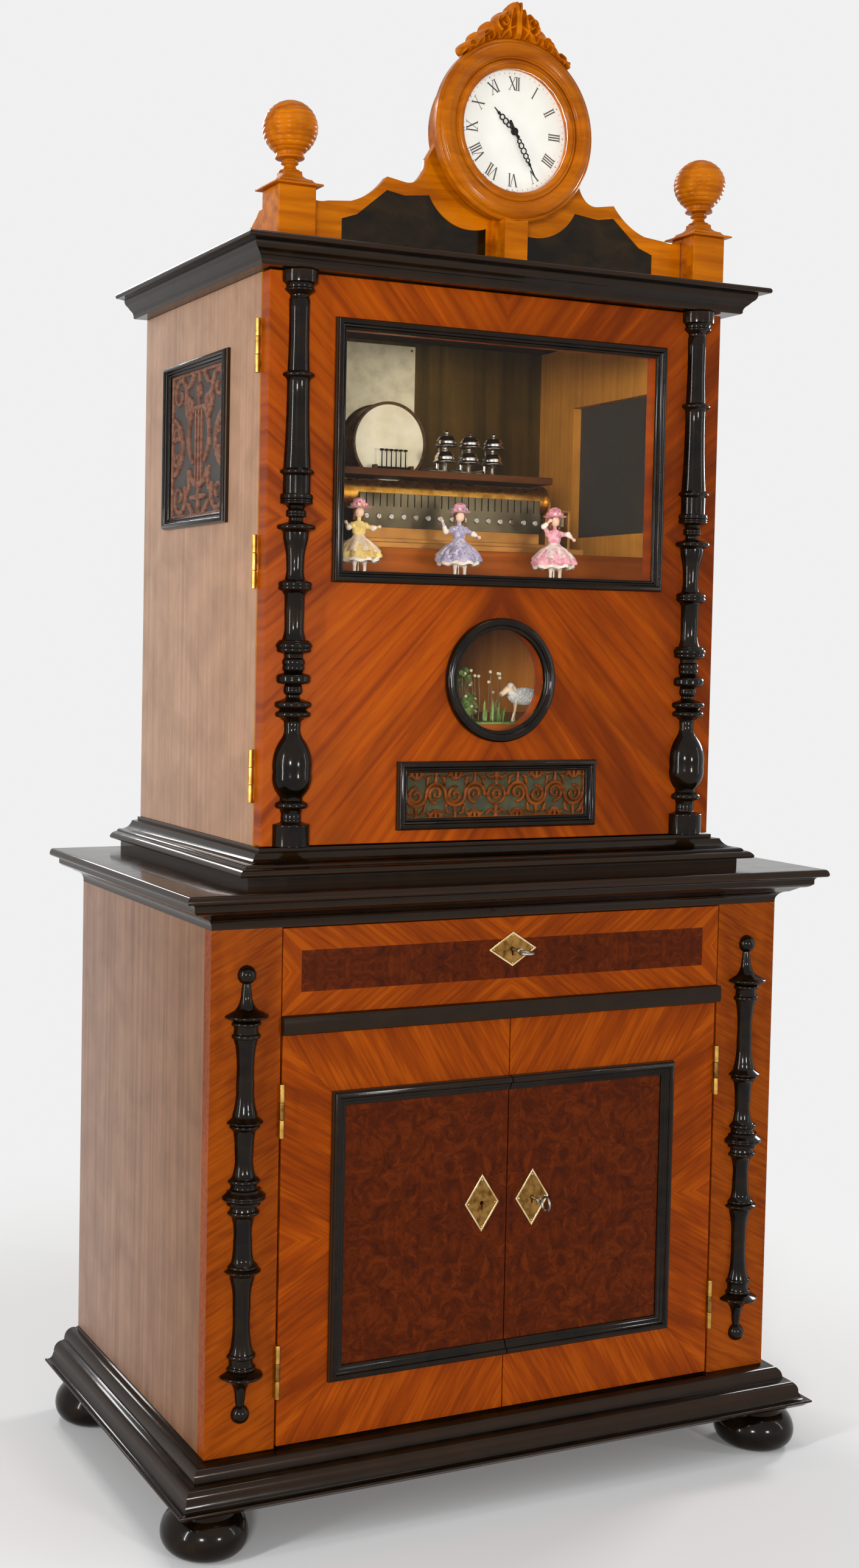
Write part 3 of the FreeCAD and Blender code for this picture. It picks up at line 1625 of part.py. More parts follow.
def build_scene_shelf():
    """A lamb among leaves behind the round window, and the tune card at the back."""
    x = as_size(30)
    y = upper_front + 70
    ground = shelf_top
    base = bar("lamb_ground", "z", 36, ground, ground + 5, (x, y))
    body = [(-27, 0), (-27, 8), (-18, 13), (14, 14), (24, 10), (27, 0)]
    neck = [(0, 0), (9, 0), (8, 12), (6, 24), (0, 28)]
    head = [(-14, 0), (-12, 4), (-2, 8), (6, 6), (8, 0)]
    woolly = turned("lamb_body", "x", (x, y, ground + 44), body, sides=SMALL)
    throat = turned("lamb_neck", "z", (x - 22, y, ground + 44), neck, sides=TINY)
    muzzle = turned("lamb_head", "x", (x - 26, y, ground + 70), head, sides=TINY)
    legs = []
    for number, (dx, dy) in enumerate(((-18, -6), (-14, 6), (15, -6), (19, 6))):
        legs.append(
            bar(f"lamb_leg_{number}", "z", 3, ground + 4, ground + 38, (x + dx, y + dy), 6)
        )
    lamb = fuse("lamb_whole", base, woolly, throat, muzzle, *legs)
    leaves = []
    frond = [(0, 0), (3, 0), (8, 18), (7, 40), (0, 74)]
    for number, (dx, dy, tilt) in enumerate(
        ((-62, 20, -18), (-50, 34, 6), (60, 34, 14), (70, 14, 8), (44, 44, 20))
    ):
        leaf = turned(f"leaf_{number}", "z", (x + dx, y + dy, ground + 1.1), frond, sides=6)
        leaf.Placement = Placement(leaf.Placement.Base, Rotation(Vector(0, 1, 0), tilt))
        leaves.append(leaf)
    part("lamb_diorama", lamb, *leaves)

    card_low = stage + 226
    card_y = upper_back - back_board
    part(
        "tune_card",
        box("card_sheet", (-88, 88), (card_y - 2, card_y), (card_low, card_low + 119)),
    )


# Clock and gallery


def build_clock():
    """A drum clock: turned case and ring, glass, dial, works and hands."""
    ring = clock_radius
    lip = dial_radius
    seat = clock_y + 18
    rear = clock_y + clock_depth
    bezel = [
        (lip, clock_y + 13),
        (lip, clock_y + 5),
        (lip + 4, clock_y + 2),
        (lip + 11, clock_y + 6),
        (lip + 15, clock_y + 2),
        (lip + 22, clock_y),
        (ring - 5, clock_y + 4),
        (ring, clock_y + 10),
        (ring, seat),
        (lip + 4, seat),
        (lip + 4, clock_y + 13),
    ]
    wall = clock_drum - 12
    shell = [
        (0, rear),
        (clock_drum, rear),
        (clock_drum, seat),
        (wall, seat),
        (wall, rear - 6),
        (0, rear - 6),
    ]
    centre = (0, 0, clock_z)
    front_ring = turned("clock_ring", "y", centre, bezel, sides=BROAD)
    case = turned("clock_drum_shell", "y", centre, shell, sides=BROAD)
    works = box(
        "clock_works", (-38, 38), (clock_y + 15, rear - 6), (clock_z - 42, clock_z + 42)
    )
    across = (0, clock_z)
    sleeve = as_size(2.9)
    well = bore("works_bore", "y", sleeve, clock_y + 14, clock_y + 30, across)
    part("clock_case", front_ring, case, cut("works_bored", works, well))

    edge = dial_radius + 4 - running_gap
    dial = bar("dial_plate", "y", edge, clock_y + 13, clock_y + 15, across, BROAD)
    hole = bore("dial_bore", "y", sleeve, clock_y + 12, clock_y + 16, across)
    part("clock_dial", cut("dial_bored", dial, hole))
    pane = bar(
        "clock_pane", "y", dial_radius - running_gap, clock_y + 5, clock_y + 7, across, BROAD
    )
    part("clock_glass", pane)

    arbor = 1.6
    for label, length, wide, y in (
        ("hour_hand", dial_radius * 0.52, 3.4, clock_y + 10.6),
        ("minute_hand", dial_radius * 0.8, 2.4, clock_y + 8.6),
    ):
        shape = hand_blade(length.value, wide, 4.4, 1.2)
        if label == "hour_hand":
            tube = round_shape(sleeve.value, -15, -1)
            hollow = round_shape(arbor + running_gap.value, -30, 2)
        else:
            tube = round_shape(arbor, -18, -1)
            hollow = None
        for piece in (tube, hollow):
            if piece:
                piece.Placement = Placement(Vector(), FRONT_FACE)
        shape = shape.fuse(tube)
        if hollow:
            shape = shape.cut(hollow)
        base = point(0, y, clock_z)
        rotation = Rotation(Vector(0, 1, 0), HAND_TURNS[label])
        part(label, free_shape(label + "_shape", shape.removeSplitter().Solids[0], base, rotation))


# The clock reads about twenty-five past ten. Degrees run clockwise from twelve.
HAND_TURNS = {"hour_hand": 312.5, "minute_hand": 150}


def hand_blade(length, wide, hub, thick):
    """A pierced hand pointing up, with a round hub and a ring near its middle."""
    tail = length * 0.2
    ring_at = length * 0.55
    ring = wide * 1.5
    faces = [
        flat_disc((0, 0), hub),
        flat_bar((-wide / 2, wide / 2), (-tail, ring_at - ring * 0.7)),
        flat_ribbon((0, ring_at), ring, ring * 0.6, 0, 180),
        flat_ribbon((0, ring_at), ring, ring * 0.6, 180, 180),
        flat_leaf((0, ring_at + ring), (0, length), 0.07),
    ]
    solid = saw(faces, thick)
    solid.Placement = Placement(Vector(0, thick, 0), FRONT_FACE)
    return solid.copy()


def mirrored(half):
    """Completes an outline whose right half is given from bottom to top."""
    return half + [(-as_size(u), v) for u, v in reversed(half)]


def build_pediment():
    """The shaped board, its black panels, the pedestal and the side brackets."""
    low = cornice_top
    y = upper_front + pediment_back
    thick = (y, y + pediment_board)
    post_in = post_offset - post_width / 2
    right = [
        (post_in, low),
        (post_in, low + post_height - 5),
        (post_in - 25, low + 57),
        (210, low + 60),
        (162, low + 94),
        (137, low + 90),
        (118, low + 97),
        (108, low + 122),
        (94, low + 145),
    ]
    corners = mirrored([(as_size(u), as_size(v)) for u, v in right])
    bows = {1: -0.1, 3: -0.08, 5: -0.12, 6: -0.1, 10: -0.1, 11: -0.12, 13: -0.08, 15: -0.1}
    blank = plate("pediment_blank", "front", *thick, (corners, bows))
    seat = bar("clock_seat", "y", clock_drum, thick[0] - 1, thick[1] + 1, (0, clock_z), BROAD)
    panel_depth = 4

    def panel_corners(sign):
        points = [
            (24, low + 5),
            (post_in - 44, low + 5),
            (post_in - 44, low + 38),
            (202, low + 45),
            (162, low + 78),
            (138, low + 74),
            (104, low + 78),
            (24, clock_z - clock_radius - 6),
        ]
        bow = 0.1 * sign
        return [(as_size(u) * sign, as_size(v)) for u, v in points], {6: -bow * 1.9}

    panels = []
    recesses = []
    for side, sign in (("left", -1), ("right", 1)):
        outline = panel_corners(sign)
        recesses.append(
            plate(f"recess_{side}", "front", thick[0] - 1, thick[0] + panel_depth, outline)
        )
        panels.append(
            plate(f"panel_{side}", "front", thick[0] + 1.2, thick[0] + panel_depth, outline)
        )
    shaped = cut("pediment_shaped", blank, seat, *recesses)

    pedestal_top = clock_z - clock_drum + 6
    pedestal = box("pedestal_block", (-16, 16), (clock_y, y), (low, pedestal_top))
    ring_bed = bar("ring_bed", "y", clock_radius, clock_y - 1, clock_y + 18, (0, clock_z), BROAD)
    drum_bed = bar("drum_bed", "y", clock_drum, clock_y + 17, y + 1, (0, clock_z), BROAD)
    pedestal = cut("pedestal", pedestal, ring_bed, drum_bed)

    bracket_front = clock_y + 6 + post_width
    brackets = []
    for side, sign in (("left", -1), ("right", 1)):
        ends = sorted(
            ((post_offset + 8) * sign, (post_offset + 20) * sign), key=lambda size: size.value
        )
        outline = [
            (bracket_front, low),
            (bracket_front + 108, low),
            (bracket_front + 108, low + 7),
            (bracket_front + 70, low + 23),
            (bracket_front + 22, low + 46),
            (bracket_front, low + 46),
        ]
        brackets.append(plate(f"bracket_{side}", "side", *ends, (outline, {2: -0.08, 3: -0.06})))
    part("pediment_board", shaped, pedestal, *brackets)
    part("pediment_panels", *panels)


def build_posts():
    """Square gallery posts with pointed caps and ball finials."""
    low = cornice_top
    y_front = clock_y + 6
    y_mid = y_front + post_width / 2
    half = post_width / 2
    cap_top = low + post_height + 19
    ball = finial_radius
    profile = [(0, 0), (11, 0), (7.5, 6), (7.5, 12), (17, 14), (17, 18)]
    for step in range(-3, 5):
        turn = math.radians(20 * step)
        profile.append((ball * round(math.cos(turn), 4), ball * round(math.sin(turn), 4) + 18 + ball))
    profile.append((0, ball * 2 + 18))
    pieces = []
    for side, sign in (("left", -1), ("right", 1)):
        x = post_offset * sign
        post = box(
            f"post_{side}", (x - half, x + half), (y_front, y_front + post_width), (low, low + post_height)
        )
        cap = doc.addObject("Part::Wedge", f"cap_{side}")
        wide = half + 6
        slim = as_size(11)
        for prop, size in (
            ("Xmin", x - wide),
            ("Xmax", x + wide),
            ("X2min", x - slim),
            ("X2max", x + slim),
            ("Zmin", -wide),
            ("Zmax", wide),
            ("Z2min", -slim),
            ("Z2max", slim),
            ("Ymin", 0),
            ("Ymax", 15),
        ):
            bind(cap, prop, size)
        cap.Placement = Placement(Vector(), Rotation(Vector(1, 0, 0), 90))
        bind(cap, "Placement.Base.y", y_mid)
        bind(cap, "Placement.Base.z", low + post_height + 4)
        slab = box(
            f"cap_slab_{side}",
            (x - wide, x + wide),
            (y_mid - wide, y_mid + wide),
            (low + post_height, low + post_height + 4),
        )
        finial = turned(f"finial_{side}", "z", (x, y_mid, cap_top), profile)
        pieces += [post, fuse(f"cap_whole_{side}", cap, slab), finial]
    part("gallery_posts", *pieces)


def build_crest():
    """The carved crest that crowns the clock, here with its scalloped outline."""
    z = clock_z
    right = [
        (72, z + 83),
        (76, z + 92),
        (64, z + 101),
        (48, z + 114),
        (30, z + 128),
        (14, z + 142),
        (7, z + crest_height - 4),
    ]
    left = [(-u, v) for u, v in reversed(right)]
    corners = [(as_size(u), as_size(v)) for u, v in right + left]
    bows = {2: 0.18, 4: 0.18, 6: 2 / 7, 8: 0.18, 10: 0.18}
    y = clock_y + 2
    blank = plate("crest_blank", "front", y, y + crest_thickness, (corners, bows))
    bed = bar("crest_bed", "y", clock_radius, y - 1, y + crest_thickness + 1, (0, clock_z), BROAD)
    part("crest_carving", cut("crest", blank, bed))


def check_and_write():
    """Stops on any failed object, then writes one file for each sub-part."""
    doc.recompute()
    bad = [
        item.Name
        for item in doc.Objects
        if "Invalid" in item.State or "Error" in item.State or not item.isValid()
    ]
    if bad:
        raise SystemExit("failed objects: " + ", ".join(bad))
    os.makedirs("parts", exist_ok=True)
    whole = FreeCAD.BoundBox()
    for node in nodes:
        shape = node.Shape
        if shape.isNull() or not shape.isValid() or not shape.Solids:
            raise SystemExit("bad shape: " + node.Label)
        shape.exportStep(os.path.join("parts", node.Label + ".step"))
        whole.add(shape.BoundBox)
        print(f"{node.Label}: {len(shape.Solids)} solids, {shape.Volume / 1000:.1f} cm3")
    print(f"{len(nodes)} sub-parts, {whole.XLength:.1f} x {whole.YLength:.1f} x {whole.ZLength:.1f}")


def main():
    """Builds every sub-part from the floor up."""
    build_feet()
    build_plinth()
    build_lower_case()
    build_lower_trim()
    build_waist()
    build_drawer()
    leaves = build_hinges()
    build_lower_doors(leaves)
    build_upper_case()
    build_side_frets()
    build_front_door()
    bed_top, fan_x = build_bedplate()
    build_comb(bed_top)
    build_cylinder()
    build_governor(bed_top, fan_x)
    build_percussion()
    build_dolls()
    build_scene_shelf()
    build_clock()
    build_pediment()
    build_posts()
    build_crest()
    check_and_write()


main()
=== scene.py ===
"""Looks of a tall musical cabinet with a cylinder movement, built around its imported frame.

Sizes are millimetres in the frame's axes: X runs to the right, Y to the back and Z up. A Shape gathers the
surfaces of one piece and places it in metres on the body that carries it.
"""

from __future__ import annotations

import logging
import math
from dataclasses import dataclass
from enum import Enum
from functools import lru_cache
from typing import Callable, Iterable, NamedTuple, Sequence

import bmesh
import bpy
import numpy as np
from mathutils import Matrix, Vector


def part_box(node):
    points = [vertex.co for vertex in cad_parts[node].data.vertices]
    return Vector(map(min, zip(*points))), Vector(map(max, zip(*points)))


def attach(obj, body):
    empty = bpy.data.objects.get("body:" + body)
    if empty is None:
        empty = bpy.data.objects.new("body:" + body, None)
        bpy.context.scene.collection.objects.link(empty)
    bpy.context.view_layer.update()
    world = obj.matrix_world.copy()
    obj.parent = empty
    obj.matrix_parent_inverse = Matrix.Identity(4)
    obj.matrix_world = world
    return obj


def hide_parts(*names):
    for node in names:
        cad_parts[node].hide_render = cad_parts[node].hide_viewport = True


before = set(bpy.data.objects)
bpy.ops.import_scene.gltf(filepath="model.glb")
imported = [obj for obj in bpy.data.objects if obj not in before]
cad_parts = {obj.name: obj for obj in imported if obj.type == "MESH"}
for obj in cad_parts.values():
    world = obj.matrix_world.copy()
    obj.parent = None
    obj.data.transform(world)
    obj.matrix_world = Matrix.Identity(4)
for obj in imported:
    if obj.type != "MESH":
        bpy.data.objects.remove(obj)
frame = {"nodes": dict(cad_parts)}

LOG = logging.getLogger("cabinet")
MM = 0.001
Array = np.ndarray
Corner = tuple[float, ...]
Outline = Sequence[Corner]
Drawing = Callable[[Array, Array], Array]
Stroke = tuple[Outline, tuple[float, ...]]
Tree = bpy.types.NodeTree
Node = bpy.types.Node


def linear(code: str) -> tuple[float, float, float, float]:
    """Turns an sRGB hex colour to Blender's linear one.

    Args:
        code: a colour such as "#c08040".

    Returns:
        Red, green, blue and an alpha of 1.
    """
    parts = [int(code[place : place + 2], 16) / 255 for place in (1, 3, 5)]
    red, green, blue = (p / 12.92 if p <= 0.04045 else ((p + 0.055) / 1.055) ** 2.4 for p in parts)
    return red, green, blue, 1.0


class Box(NamedTuple):
    """Where a frame node lies, in millimetres: its lowest and its highest corner."""

    low: Array
    high: Array

    @property
    def middle(self) -> Array:
        """The middle of the box."""
        return (self.low + self.high) / 2

    @property
    def half(self) -> Array:
        """Half its size each way."""
        return (self.high - self.low) / 2


def span(node: str) -> Box:
    """Gives a frame node's box."""
    low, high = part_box(node)
    return Box(np.array(low) / MM, np.array(high) / MM)


def traced(corners: Outline, steps: int = 7) -> Array:
    """Draws a line through corners, with arcs where a corner has a bow.

    Args:
        corners: (u, v) or (u, v, bow). A bow is the arc's height over its chord, from the corner before,
            and above 0 it swells to the right of the way.
        steps: how many straight bits draw one arc.

    Returns:
        The line's points, one row each.
    """
    line = [complex(*corners[0][:2])]
    for corner in corners[1:]:
        start, end = line[-1], complex(*corner[:2])
        bow = -corner[2] if len(corner) > 2 else 0.0
        if not bow:
            line.append(end)
            continue
        half = 2 * math.atan(2 * bow)
        middle, chord = (start + end) / 2, end - start
        centre = middle - 1j * chord * math.cos(half) / (2 * math.sin(half))
        turn = np.exp(-2j * half * np.arange(1, steps + 1) / steps)
        line += list(centre + (start - centre) * turn)
    return np.array([(spot.real, spot.imag) for spot in line])


def arc(centre: Corner, radius: float, start: float, end: float, steps: int = 12) -> Array:
    """Gives points on a circle from one angle to another.

    Args:
        centre: the circle's middle.
        radius: its radius.
        start: the first angle, in degrees.
        end: the last angle.
        steps: how many straight bits draw it.

    Returns:
        The points, one row each.
    """
    turns = np.radians(np.linspace(start, end, steps + 1))
    return np.column_stack((centre[0] + radius * np.cos(turns), centre[1] + radius * np.sin(turns)))


def volute(centre: Corner, radius: float, start: float, sweep: float, eye: float = 0.2) -> Array:
    """Gives points on a spiral that winds in from a radius to its eye.

    Args:
        centre: the eye's place.
        radius: the outer radius.
        start: the angle at the outer end, in degrees.
        sweep: how far it winds, in degrees.
        eye: the inner radius over the outer one.

    Returns:
        The spiral's points, from outside in.
    """
    share = np.linspace(0, 1, 26)
    turns = np.radians(start + sweep * share)
    reach = radius * (1 - (1 - eye) * share)
    return np.column_stack((centre[0] + reach * np.cos(turns), centre[1] + reach * np.sin(turns)))


def tapered(widths: Corner, count: int) -> Array:
    """Spreads one or more widths evenly over a line's points."""
    ends = widths if len(widths) > 1 else widths * 2
    return np.interp(np.linspace(0, 1, count), np.linspace(0, 1, len(ends)), ends)


def stroke(u: Array, v: Array, line: Array, *widths: float) -> Array:
    """Gives how far each spot lies from a drawn line's edge, below 0 inside it.

    Args:
        u: the spots' first coordinate.
        v: the spots' second coordinate.
        line: points along the middle of the stroke.
        widths: the stroke's width at even steps from its first point to its last.

    Returns:
        The signed distance of every spot.
    """
    line = np.asarray(line, float)
    wide = tapered(widths, len(line)) / 2
    nearest = np.full(u.shape, np.inf)
    for (au, av), (bu, bv), first, last in zip(line, line[1:], wide, wide[1:]):
        du, dv = bu - au, bv - av
        along = np.clip(((u - au) * du + (v - av) * dv) / max(du * du + dv * dv, 1e-9), 0, 1)
        gap = np.hypot(u - au - along * du, v - av - along * dv) - (first + (last - first) * along)
        nearest = np.minimum(nearest, gap)
    return nearest


@dataclass(frozen=True)
class Plane:
    """A flat place to draw on: its origin, its two drawing axes and the way that faces the viewer."""

    origin: Corner
    across: Corner
    up: Corner
    out: Corner

    def at(self, flat: Array, rise: float | Array) -> Array:
        """Lifts flat points off the plane.

        Args:
            flat: (u, v) rows.
            rise: how far each stands out of the plane.

        Returns:
            (x, y, z) rows.
        """
        flat = np.asarray(flat, float)
        rise = np.broadcast_to(np.asarray(rise, float), flat.shape[:-1])[..., None]
        return (np.array(self.origin) + flat[..., :1] * np.array(self.across)
                + flat[..., 1:2] * np.array(self.up) + rise * np.array(self.out))


def floor_plane(z: float = 0.0) -> Plane:
    """A level plane, seen from above."""
    return Plane((0, 0, z), (1, 0, 0), (0, 1, 0), (0, 0, 1))


def front_plane(y: float, x: float = 0.0, z: float = 0.0) -> Plane:
    """An upright plane that faces the front."""
    return Plane((x, y, z), (1, 0, 0), (0, 0, 1), (0, -1, 0))


def side_plane(x: float, sign: int, y: float = 0.0, z: float = 0.0) -> Plane:
    """An upright plane that faces left or right."""
    return Plane((x, y, z), (0, sign, 0), (0, 0, 1), (sign, 0, 0))


class Axis(Enum):
    """Which way a turned piece's middle line runs: rows are radius-cosine, radius-sine and length."""

    X = ((0, 1, 0), (0, 0, 1), (1, 0, 0))
    Y = ((1, 0, 0), (0, 0, 1), (0, 1, 0))
    Z = ((1, 0, 0), (0, 1, 0), (0, 0, 1))


class Shape:
    """The surfaces of one piece, in millimetres, until it is placed.

    Edges that turn more than crease degrees stay crisp.
    """

    crease: float = 38.0

    def __init__(self, name: str) -> None:
        """Starts an empty piece.

        Args:
            name: the object's name in plain words.
        """
        self.name = name
        self.points: list[Array] = []
        self.faces: list[tuple[int, ...]] = []
        self.slots: list[int] = []
        self.count = 0

    def skin(self, points: Array, faces: Iterable[tuple[int, ...]], slot: int = 0) -> None:
        """Adds points and the faces between them.

        Args:
            points: (x, y, z) rows.
            faces: rows of point numbers, counted from 0.
            slot: which of the piece's finishes they take.
        """
        first = self.count
        self.faces += [tuple(first + number for number in face) for face in faces]
        self.slots += [slot] * (len(self.faces) - len(self.slots))
        self.points.append(np.asarray(points, float))
        self.count += len(points)

    def loft(self, rings: Array, slot: int = 0, wrap: bool = True, ends: bool = True,
             join: bool = False) -> None:
        """Stretches a skin over a row of rings.

        Args:
            rings: rings of points, all with as many.
            slot: which finish it takes.
            wrap: whether each ring closes on itself.
            ends: whether the first and last ring are filled.
            join: whether the last ring meets the first.
        """
        rings = np.asarray(rings, float)
        many, size = rings.shape[:2]
        faces = []
        for ring in range(many if join else many - 1):
            this, after = ring * size, (ring + 1) % many * size
            for spot in range(size if wrap else size - 1):
                beside = (spot + 1) % size
                faces.append((this + spot, this + beside, after + beside, after + spot))
        if ends:
            faces += [tuple(range(size))[::-1], tuple(range((many - 1) * size, many * size))]
        self.skin(rings.reshape(-1, 3), faces, slot)

    def turned(self, profile: Outline, centre: Corner, axis: Axis = Axis.Z, slot: int = 0,
               sweep: tuple[float, float] = (0, 360), sides: int = 64, ring: bool = False,
               flat: float = 1.0) -> None:
        """Turns a profile on a lathe.

        Args:
            profile: (radius, length) corners with bows as traced() reads them.
            centre: where radius 0 and length 0 lie.
            axis: the lathe's axis.
            slot: which finish it takes.
            sweep: the first and last angle, in degrees.
            sides: how many flats a full turn has.
            ring: whether the profile closes on itself, away from the axis.
            flat: the second radius over the first, for an oval.
        """
        line = traced(profile)
        cosine, sine, along = (np.array(way, float) for way in axis.value)
        whole = abs(sweep[1] - sweep[0]) >= 360
        steps = max(3, round(sides * abs(sweep[1] - sweep[0]) / 360))
        turns = np.radians(np.linspace(*sweep, steps + 1)[: steps if whole else None])
        rings = [np.array(centre) + np.outer(line[:, 0] * math.cos(turn), cosine)
                 + np.outer(line[:, 0] * math.sin(turn) * flat, sine) + np.outer(line[:, 1], along)
                 for turn in turns]
        self.loft(rings, slot, wrap=ring, ends=not whole, join=whole)

    def run(self, profile: Outline, corners: Outline, plane: Plane, closed: bool = False,
            lids: bool = False, slot: int = 0) -> None:
        """Runs a moulding along corners, mitred at each.

        Args:
            profile: (offset, rise) corners, with the offset to the right of the way.
            corners: the path, drawn on the plane.
            plane: where it lies.
            closed: whether the path meets itself.
            lids: whether the profile's first and last line are filled across, for a slab.
            slot: which finish it takes.
        """
        line, path = traced(profile), traced(corners)
        if closed and np.allclose(path[0], path[-1]):
            path = path[:-1]
        ways = np.roll(path, -1, 0) - path
        ways /= np.linalg.norm(ways, axis=1)[:, None]
        rights = np.column_stack((ways[:, 1], -ways[:, 0]))
        before = np.roll(rights, 1, 0)
        if not closed:
            before[0], rights[-1] = rights[0], before[-1]
        mitres = (before + rights) / (1 + np.sum(before * rights, axis=1))[:, None]
        rings = [plane.at(spot + np.outer(line[:, 0], mitre), line[:, 1])
                 for spot, mitre in zip(path, mitres)]
        self.loft(rings, slot, wrap=not lids, ends=not closed, join=closed)
        if lids:
            base, size, many = self.count - len(path) * len(line), len(line), len(path)
            low = tuple(base + number * size for number in range(many))
            self.faces += [low, tuple(number + size - 1 for number in low)[::-1]]
            self.slots += [slot, slot]

    def block(self, low: Corner, high: Corner, ease: float = 0.5) -> None:
        """Adds a squared block, with its upright and top edges eased.

        Args:
            low: its lowest corner.
            high: its highest corner.
            ease: how much its edges are eased.
        """
        (x0, y0, z0), (x1, y1, z1) = low, high
        e = min(ease, (x1 - x0) / 3, (y1 - y0) / 3, (z1 - z0) / 3)
        plan = [(x0 + e, y0), (x1 - e, y0), (x1, y0 + e), (x1, y1 - e), (x1 - e, y1), (x0 + e, y1),
                (x0, y1 - e), (x0, y0 + e)]
        edge = [(-e, z0), (0, z0 + e), (0, z1 - e), (-e, z1)]
        self.run(edge, plan, floor_plane(), closed=True, lids=True)

    def tube(self, line: Sequence[Corner], *widths: float, slot: int = 0, sides: int = 12) -> None:
        """Draws a round bar along points.

        Args:
            line: (x, y, z) points.
            widths: radii at even steps along it.
            slot: which finish it takes.
            sides: how many flats it has round.
        """
        spots = [Vector(spot) for spot in line]
        radii = tapered(widths, len(spots))
        side = Vector((0.31, 0.87, 0.39))
        rings = []
        for number, spot in enumerate(spots):
            way = (spots[min(number + 1, len(spots) - 1)] - spots[max(number - 1, 0)]).normalized()
            side = (side - way * side.dot(way)).normalized()
            over = way.cross(side)
            rings.append([spot + (side * math.cos(turn) + over * math.sin(turn)) * radii[number]
                          for turn in np.linspace(0, 2 * math.pi, sides, endpoint=False)])
        self.loft(rings, slot)

    def ball(self, centre: Corner, radius: float, slot: int = 0, stretch: float = 1.0,
             sides: int = 20) -> None:
        """Adds a ball, or an egg stretched along Z.

        Args:
            centre: its middle.
            radius: its radius.
            slot: which finish it takes.
            stretch: its height over its width.
            sides: how many flats a full turn has.
        """
        height = radius * stretch
        turns = np.linspace(-90, 90, sides // 2 + 1)
        profile = [(radius * math.cos(math.radians(turn)) if abs(turn) < 90 else 0.0,
                    height * math.sin(math.radians(turn))) for turn in turns]
        self.turned(profile, centre, slot=slot, sides=sides)

    def sawn(self, inside: Drawing, low: Corner, high: Corner, cell: float, plane: Plane,
             rise: Drawing) -> None:
        """Saws or carves a piece out of a board, where a drawing says that wood is left.

        Args:
            inside: gives a number below 0 wherever wood is left.
            low: the board's lower left corner on the plane.
            high: its upper right corner.
            cell: the drawing's finest step.
            plane: the board's back.
            rise: the front's height over it.
        """
        counts = [max(2, math.ceil((b - a) / cell)) + 1 for a, b in zip(low, high)]
        u, v = np.meshgrid(*(np.linspace(a, b, n) for a, b, n in zip(low, high, counts)), indexing="ij")
        left = inside(u, v)
        spots: list[tuple[float, float]] = []
        known: dict[tuple[int, ...], int] = {}

        def number(key: tuple[int, ...], place: tuple[float, float]) -> int:
            """Gives the point's number, and adds it where it is new."""
            if key not in known:
                known[key] = len(spots)
                spots.append(place)
            return known[key]

        tops: list[tuple[int, ...]] = []
        walls: list[tuple[int, int]] = []
        some = np.minimum.reduce([left[:-1, :-1], left[1:, :-1], left[1:, 1:], left[:-1, 1:]]) < 0
        for i, j in np.argwhere(some):
            ring = [(i, j), (i + 1, j), (i + 1, j + 1), (i, j + 1)]
            face: list[tuple[int, bool]] = []
            for this, after in zip(ring, ring[1:] + ring[:1]):
                a, b = left[this], left[after]
                if a < 0:
                    face.append((number(this, (u[this], v[this])), False))
                if (a < 0) != (b < 0):
                    share = a / (a - b)
                    place = (u[this] + (u[after] - u[this]) * share, v[this] + (v[after] - v[this]) * share)
                    face.append((number(tuple(sorted((this, after))), place), True))
            if len(face) > 2:
                tops.append(tuple(spot for spot, _ in face))
                walls += [(a, b) for (a, cut), (b, also) in zip(face, face[1:] + face[:1])
                          if cut and also]
        flat = np.array(spots)
        front = plane.at(flat, rise(flat[:, 0], flat[:, 1]))
        many = len(flat)
        faces = tops + [tuple(spot + many for spot in reversed(face)) for face in tops]
        faces += [(b, a, a + many, b + many) for a, b in walls]
        self.skin(np.concatenate((front, plane.at(flat, 0.0))), faces)

    def place(self, body: str, slot: str, *finishes: Finish,
              stands_for: Sequence[str] = ()) -> bpy.types.Object:
        """Makes the piece's object, dresses it and sets it on its body.

        Args:
            body: the moving body that it rides on.
            slot: not used.
            finishes: its finishes, in the order of its slots.
            stands_for: the frame nodes that it takes the place of.

        Returns:
            The placed object.
        """
        mesh = bpy.data.meshes.new(self.name)
        mesh.from_pydata((np.concatenate(self.points) * MM).tolist(), [], self.faces)
        mesh.polygons.foreach_set("material_index", self.slots)
        for finish in finishes:
            mesh.materials.append(made(finish))
        work = bmesh.new()
        work.from_mesh(mesh)
        bmesh.ops.remove_doubles(work, verts=work.verts, dist=2e-6)
        bmesh.ops.dissolve_degenerate(work, edges=work.edges, dist=1e-6)
        bmesh.ops.recalc_face_normals(work, faces=work.faces)
        work.to_mesh(mesh)
        work.free()
        mesh.polygons.foreach_set("use_smooth", [True] * len(mesh.polygons))
        mesh.set_sharp_from_angle(angle=math.radians(self.crease))
        thing = bpy.data.objects.new(self.name, mesh)
        bpy.context.collection.objects.link(thing)
        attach(thing, body)
        if stands_for:
            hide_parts(*stands_for)
        LOG.info("%s: %d faces on %s", self.name, len(mesh.polygons), body)
        return thing


